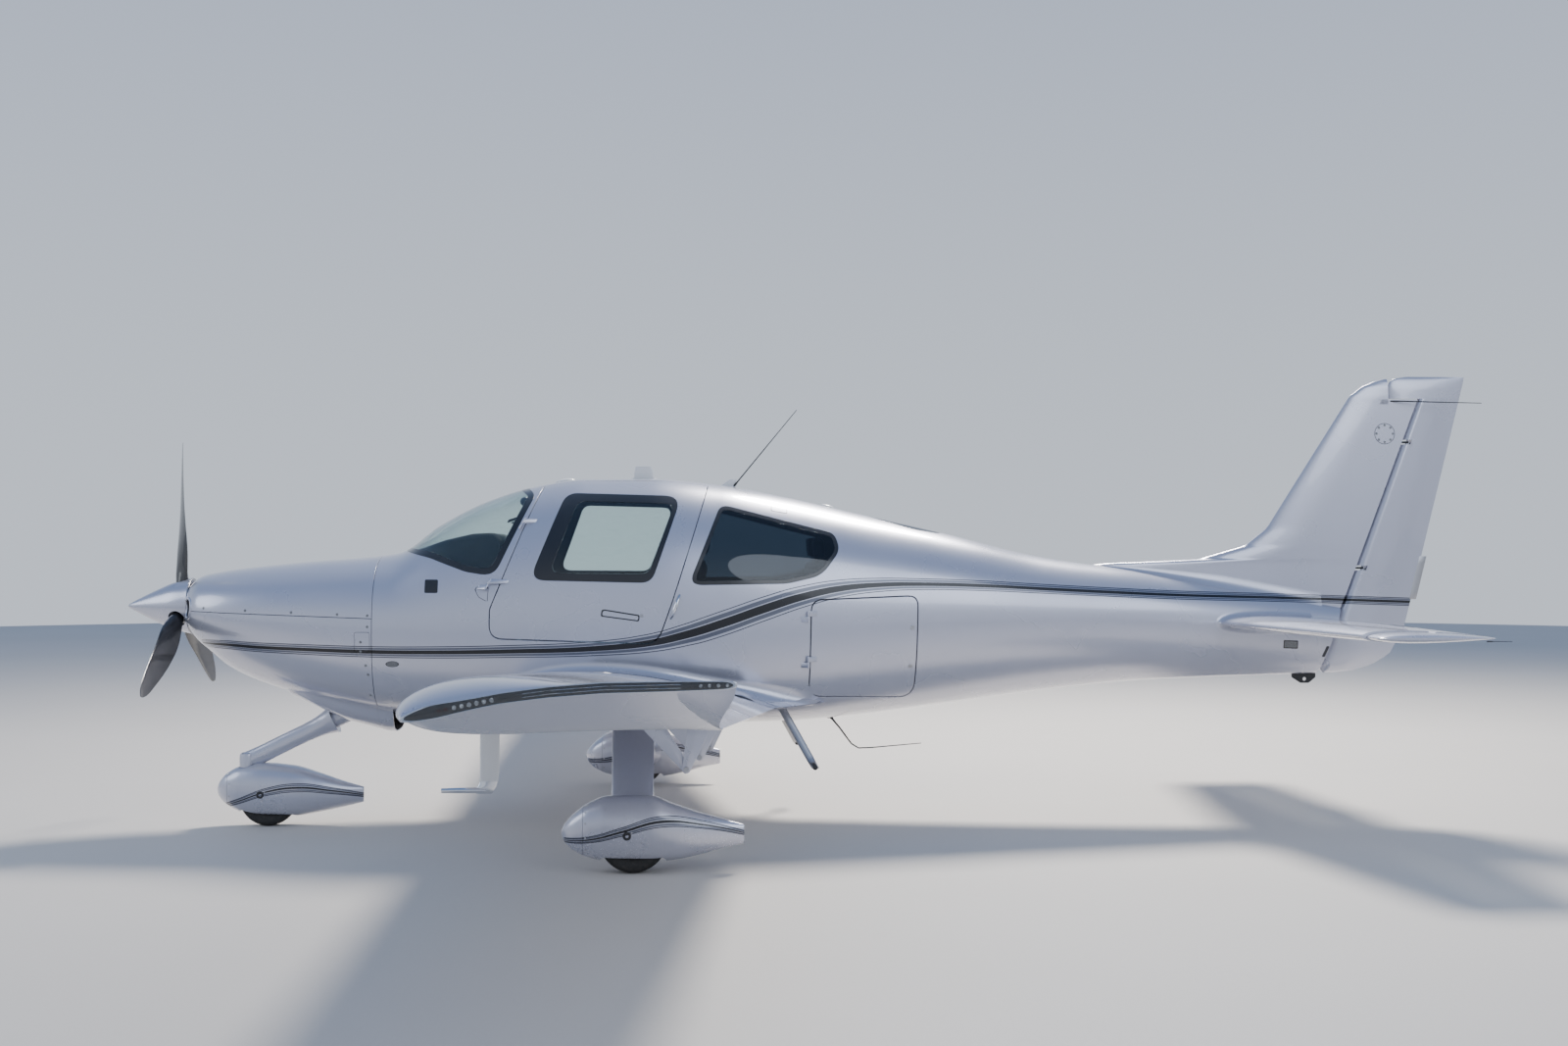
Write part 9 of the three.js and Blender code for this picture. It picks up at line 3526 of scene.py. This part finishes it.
    def entry_steps(self) -> None:
        """Builds the two entry steps, each a bent strut with a tread."""
        half_wide, half_thick = STEP_STRUT
        for side_name, side in SIDES:
            maker, tread = MeshMaker(), MeshMaker()
            top, knee = (np.array(point) * (1, side, 1) for point in (STEP_TOP, STEP_KNEE))
            rings = []
            end = np.array((3905, side * STEP_TREAD[1], 388.0))
            bend = [knee + (top - knee) / np.linalg.norm(top - knee) * 44]
            bend += [bend[0] * (1 - t) ** 2 + 2 * t * (1 - t) * knee + t * t * (knee + (end - knee) * 0.3)
                     for t in (0.25, 0.5, 0.75, 1.0)]
            path = np.array([top, *bend, end - (0, side * 4, 0)])
            turn = np.linspace(0, 2 * math.pi, 24, endpoint=False)[:, None]
            for place, along in zip(path, np.gradient(path, axis=0)):
                along = along / np.linalg.norm(along)
                wide = np.array((1.0, 0, 0)) - along * along[0]
                wide /= np.linalg.norm(wide)
                thick = np.cross(along, wide)
                rings.append(place + half_wide * np.cos(turn) * wide + half_thick * np.sin(turn) * thick)
            maker.loft(rings)
            self.shop.fit(maker.build(f"entry_step_tube_{side_name}", 40), Finishes.STEEL,
                          nodes=(f"entry_step_{side_name}",), slot="steel")
            low, high = sorted((side * (STEP_TREAD[0] + 14), side * STEP_TREAD[1]))
            tread.bar((3905, low, 388.5), (3905, high, 388), 14.2, sides=28, ease=2)
            self.shop.fit(tread.build(f"entry_step_tread_{side_name}", 40), Finishes.GRIP, slot="cabin_trim")

    def pitot(self) -> None:
        """Builds the pitot tube on its mast under the port wing."""
        y = -float(PITOT_Y)
        lead, trail = wing_point(PITOT_Y, 0, 1)[0], wing_point(PITOT_Y, 1, 1)[0]
        skin = float(wing_point(PITOT_Y, (2386 - lead) / (trail - lead), -1)[2])
        mast = self.blade(((skin + 4, 2346, 2426, 8), (skin - 8, 2348, 2424, 7), (740, 2349, 2422, 6.6),
                           (704, 2348, 2416, 6.8)))
        mast.points = [np.asarray(p) + (0, y, 0) for p in mast.points]
        self.shop.fit(mast.build("pitot_mast_blade", 40), Finishes.WHITE, nodes=("pitot_mast",))
        elbow = self.blade(((706, 2348, 2416, 7.6), (690, 2342, 2412, 8.4), (676, 2330, 2404, 9.4),
                            (664, 2330, 2398, 8.4), (659, 2334, 2392, 5)))
        elbow.points = [np.asarray(p) + (0, y, 0) for p in elbow.points]
        elbow.lathe((2201, y, 672), (1, 0, 0), ((0, 5), (0, 8.2), (2, 9), (60, 10.6), (150, 11), (172, 10)),
                    24)
        self.shop.fit(elbow.build("pitot_tube", 40), Finishes.CHROME, slot="steel")

    def tie_down(self) -> None:
        """Builds the tie-down plate under the tail, with its hole."""
        maker = MeshMaker()
        maker.prism(rounded(TIE_DOWN), "xz", -5, 5)
        plate = maker.build("tie_down_plate")
        hole = MeshMaker().bar((6924, -12, 812), (6924, 12, 812), 11, sides=28).build("tie_down_cutter")
        self.shop.fit(ease_edges(carve(plate, hole), 1.2, 2, 35), Finishes.PLASTIC, nodes=("tail_tie_down",),
                      slot="steel")

    def tail_details(self) -> None:
        """Builds the seam of the fin's round panel and the static wicks of the elevator's tips."""
        before, level, radius = FIN_PANEL
        seams, wicks = MeshMaker(), MeshMaker()
        for side in (-1, 1):
            turn = np.linspace(0, 2 * math.pi, 49)
            along = float(rudder_axis(level)) - before + radius * np.cos(turn)
            high = level + radius * np.sin(turn)
            seams.tube(np.stack([along, side * fin_half(along, high), high], 1), 1.7, 8)
            wicks.tube([(x, side * y, z) for x, y, z in WICK], WICK_RADII, 12)
        self.shop.fit(seams.build("fin_panel_seam", 40), Finishes.SEAM_AND_SHADE, slot="cabin_trim")
        self.shop.fit(wicks.build("static_wicks", 40), Finishes.PLASTIC, "elevator", slot="cabin_trim")

    def build(self) -> None:
        """Builds every small outer piece."""
        self.handles()
        self.plates()
        self.screw_rows()
        self.antennas()
        self.entry_steps()
        self.pitot()
        self.tie_down()
        self.tail_details()


@dataclass(frozen=True)
class Light:
    """One soft disc light, in metres and watts."""

    name: str
    place: tuple[float, float, float]
    target: tuple[float, float, float]
    size: float
    power: float
    tone: tuple[float, float, float]


LIGHTS = (
    Light("key", (3.0, 6.5, 10.5), (0.2, 0, 0.9), size=3.2, power=3000.0, tone=(1.0, 0.96, 0.90)),
    Light("fill", (6.0, -11.0, 7.5), (0.5, 0, 1.0), size=8.0, power=420.0, tone=(0.86, 0.92, 1.0)),
    Light("side", (-11.0, -3.0, 6.0), (0, 0, 1.0), size=6.0, power=240.0, tone=(0.90, 0.95, 1.0)))
FLOOR_RADIUS = 30000
FLOOR_DEPTH = 120.0


@dataclass
class Stage:
    """Pale floor, soft light and the camera."""

    shop: Workshop
    camera_place: tuple[float, float, float] = (-0.9435, -10.624, 1.614)
    camera_yaw: float = 4.11
    camera_pitch: float = 0.72
    lens: float = 41.4

    def floor(self) -> None:
        """Lays a large pale floor."""
        maker = MeshMaker()
        ring = np.linspace(0, 2 * math.pi, 96, endpoint=False)
        rows = []
        for radius, z in ((FLOOR_RADIUS, 0.0), (FLOOR_RADIUS, -FLOOR_DEPTH)):
            rows.append(np.stack([MID_STATION + radius * np.cos(ring), radius * np.sin(ring),
                                  np.full(96, z)], 1))
        maker.loft(rows)
        thing = maker.build("studio_floor", 30)
        material, nodes, shader = new_material("pale_floor")
        place = nodes.place()
        cloud, fine = nodes.noise(0.35, 4, place), nodes.noise(60, 4, place)
        base = nodes.mix(cloud, colour(0.60, 0.565, 0.52), colour(0.67, 0.635, 0.59))
        bump = nodes.add("ShaderNodeBump", {"Height": fine, "Strength": 0.06, "Distance": 0.002})
        link_inputs(nodes, shader, {"Base Color": base, "Roughness": nodes.ramp(fine, 0.3, 0.7, 0.62, 0.75),
                                    "Normal": bump.outputs[0]})
        thing.data.materials.append(material)

    def lights(self) -> None:
        """Sets a broad light from behind and above, two fills and a pale sky."""
        for lamp in LIGHTS:
            light = bpy.data.lights.new(lamp.name, "AREA")
            light.shape = "DISK"
            light.size = lamp.size
            light.energy = lamp.power
            light.color = lamp.tone
            thing = bpy.data.objects.new(lamp.name, light)
            thing.location = lamp.place
            way = Vector(lamp.target) - Vector(lamp.place)
            thing.rotation_euler = way.to_track_quat("-Z", "Y").to_euler()
            bpy.context.scene.collection.objects.link(thing)
        world = bpy.data.worlds.new("studio_sky")
        world.use_nodes = True
        nodes = NodeTree(world.node_tree)
        up = nodes.add("ShaderNodeSeparateXYZ",
                       {0: nodes.add("ShaderNodeTexCoord").outputs["Generated"]}).outputs[2]
        sky = nodes.mix(nodes.ramp(up, -0.02, 0.8), colour(0.70, 0.76, 0.86), colour(0.20, 0.31, 0.56))
        back = world.node_tree.nodes["Background"]
        world.node_tree.links.new(sky, back.inputs["Color"])
        back.inputs["Strength"].default_value = 1.0
        bpy.context.scene.world = world

    def camera(self) -> None:
        """Sets the camera at the photograph's viewpoint."""
        camera = bpy.data.cameras.new("viewpoint")
        camera.lens = self.lens
        camera.sensor_width = 36.0
        camera.clip_end = 200.0
        thing = bpy.data.objects.new("viewpoint", camera)
        thing.location = self.camera_place
        thing.rotation_euler = Euler((math.radians(90 + self.camera_pitch), 0,
                                      math.radians(-self.camera_yaw)))
        bpy.context.scene.collection.objects.link(thing)
        bpy.context.scene.camera = thing

    def build(self) -> None:
        """Builds the whole stage."""
        self.floor()
        self.lights()
        self.camera()


def main() -> None:
    """Builds the aircraft and its stage."""
    logging.basicConfig(level=logging.INFO, format="%(message)s", stream=sys.stdout)
    shop = Workshop()
    Stage(shop).build()
    fuselage = Fuselage(shop)
    fuselage.cabin()
    fuselage.tail_cone()
    fuselage.windows()
    fuselage.doors()
    fuselage.baggage()
    Cowl(shop).build()
    for side_name, side in SIDES:
        Wing(shop, side_name, side).build()
    Tail(shop).build()
    Propeller(shop).build()
    Gear(shop).build()
    Seats(shop, Repeater("stitch_row", STITCH)).build()
    Cockpit(shop).build()
    Trim(shop, Repeater("screw_row", SCREW)).build()


if __name__ == "__main__":
    main()
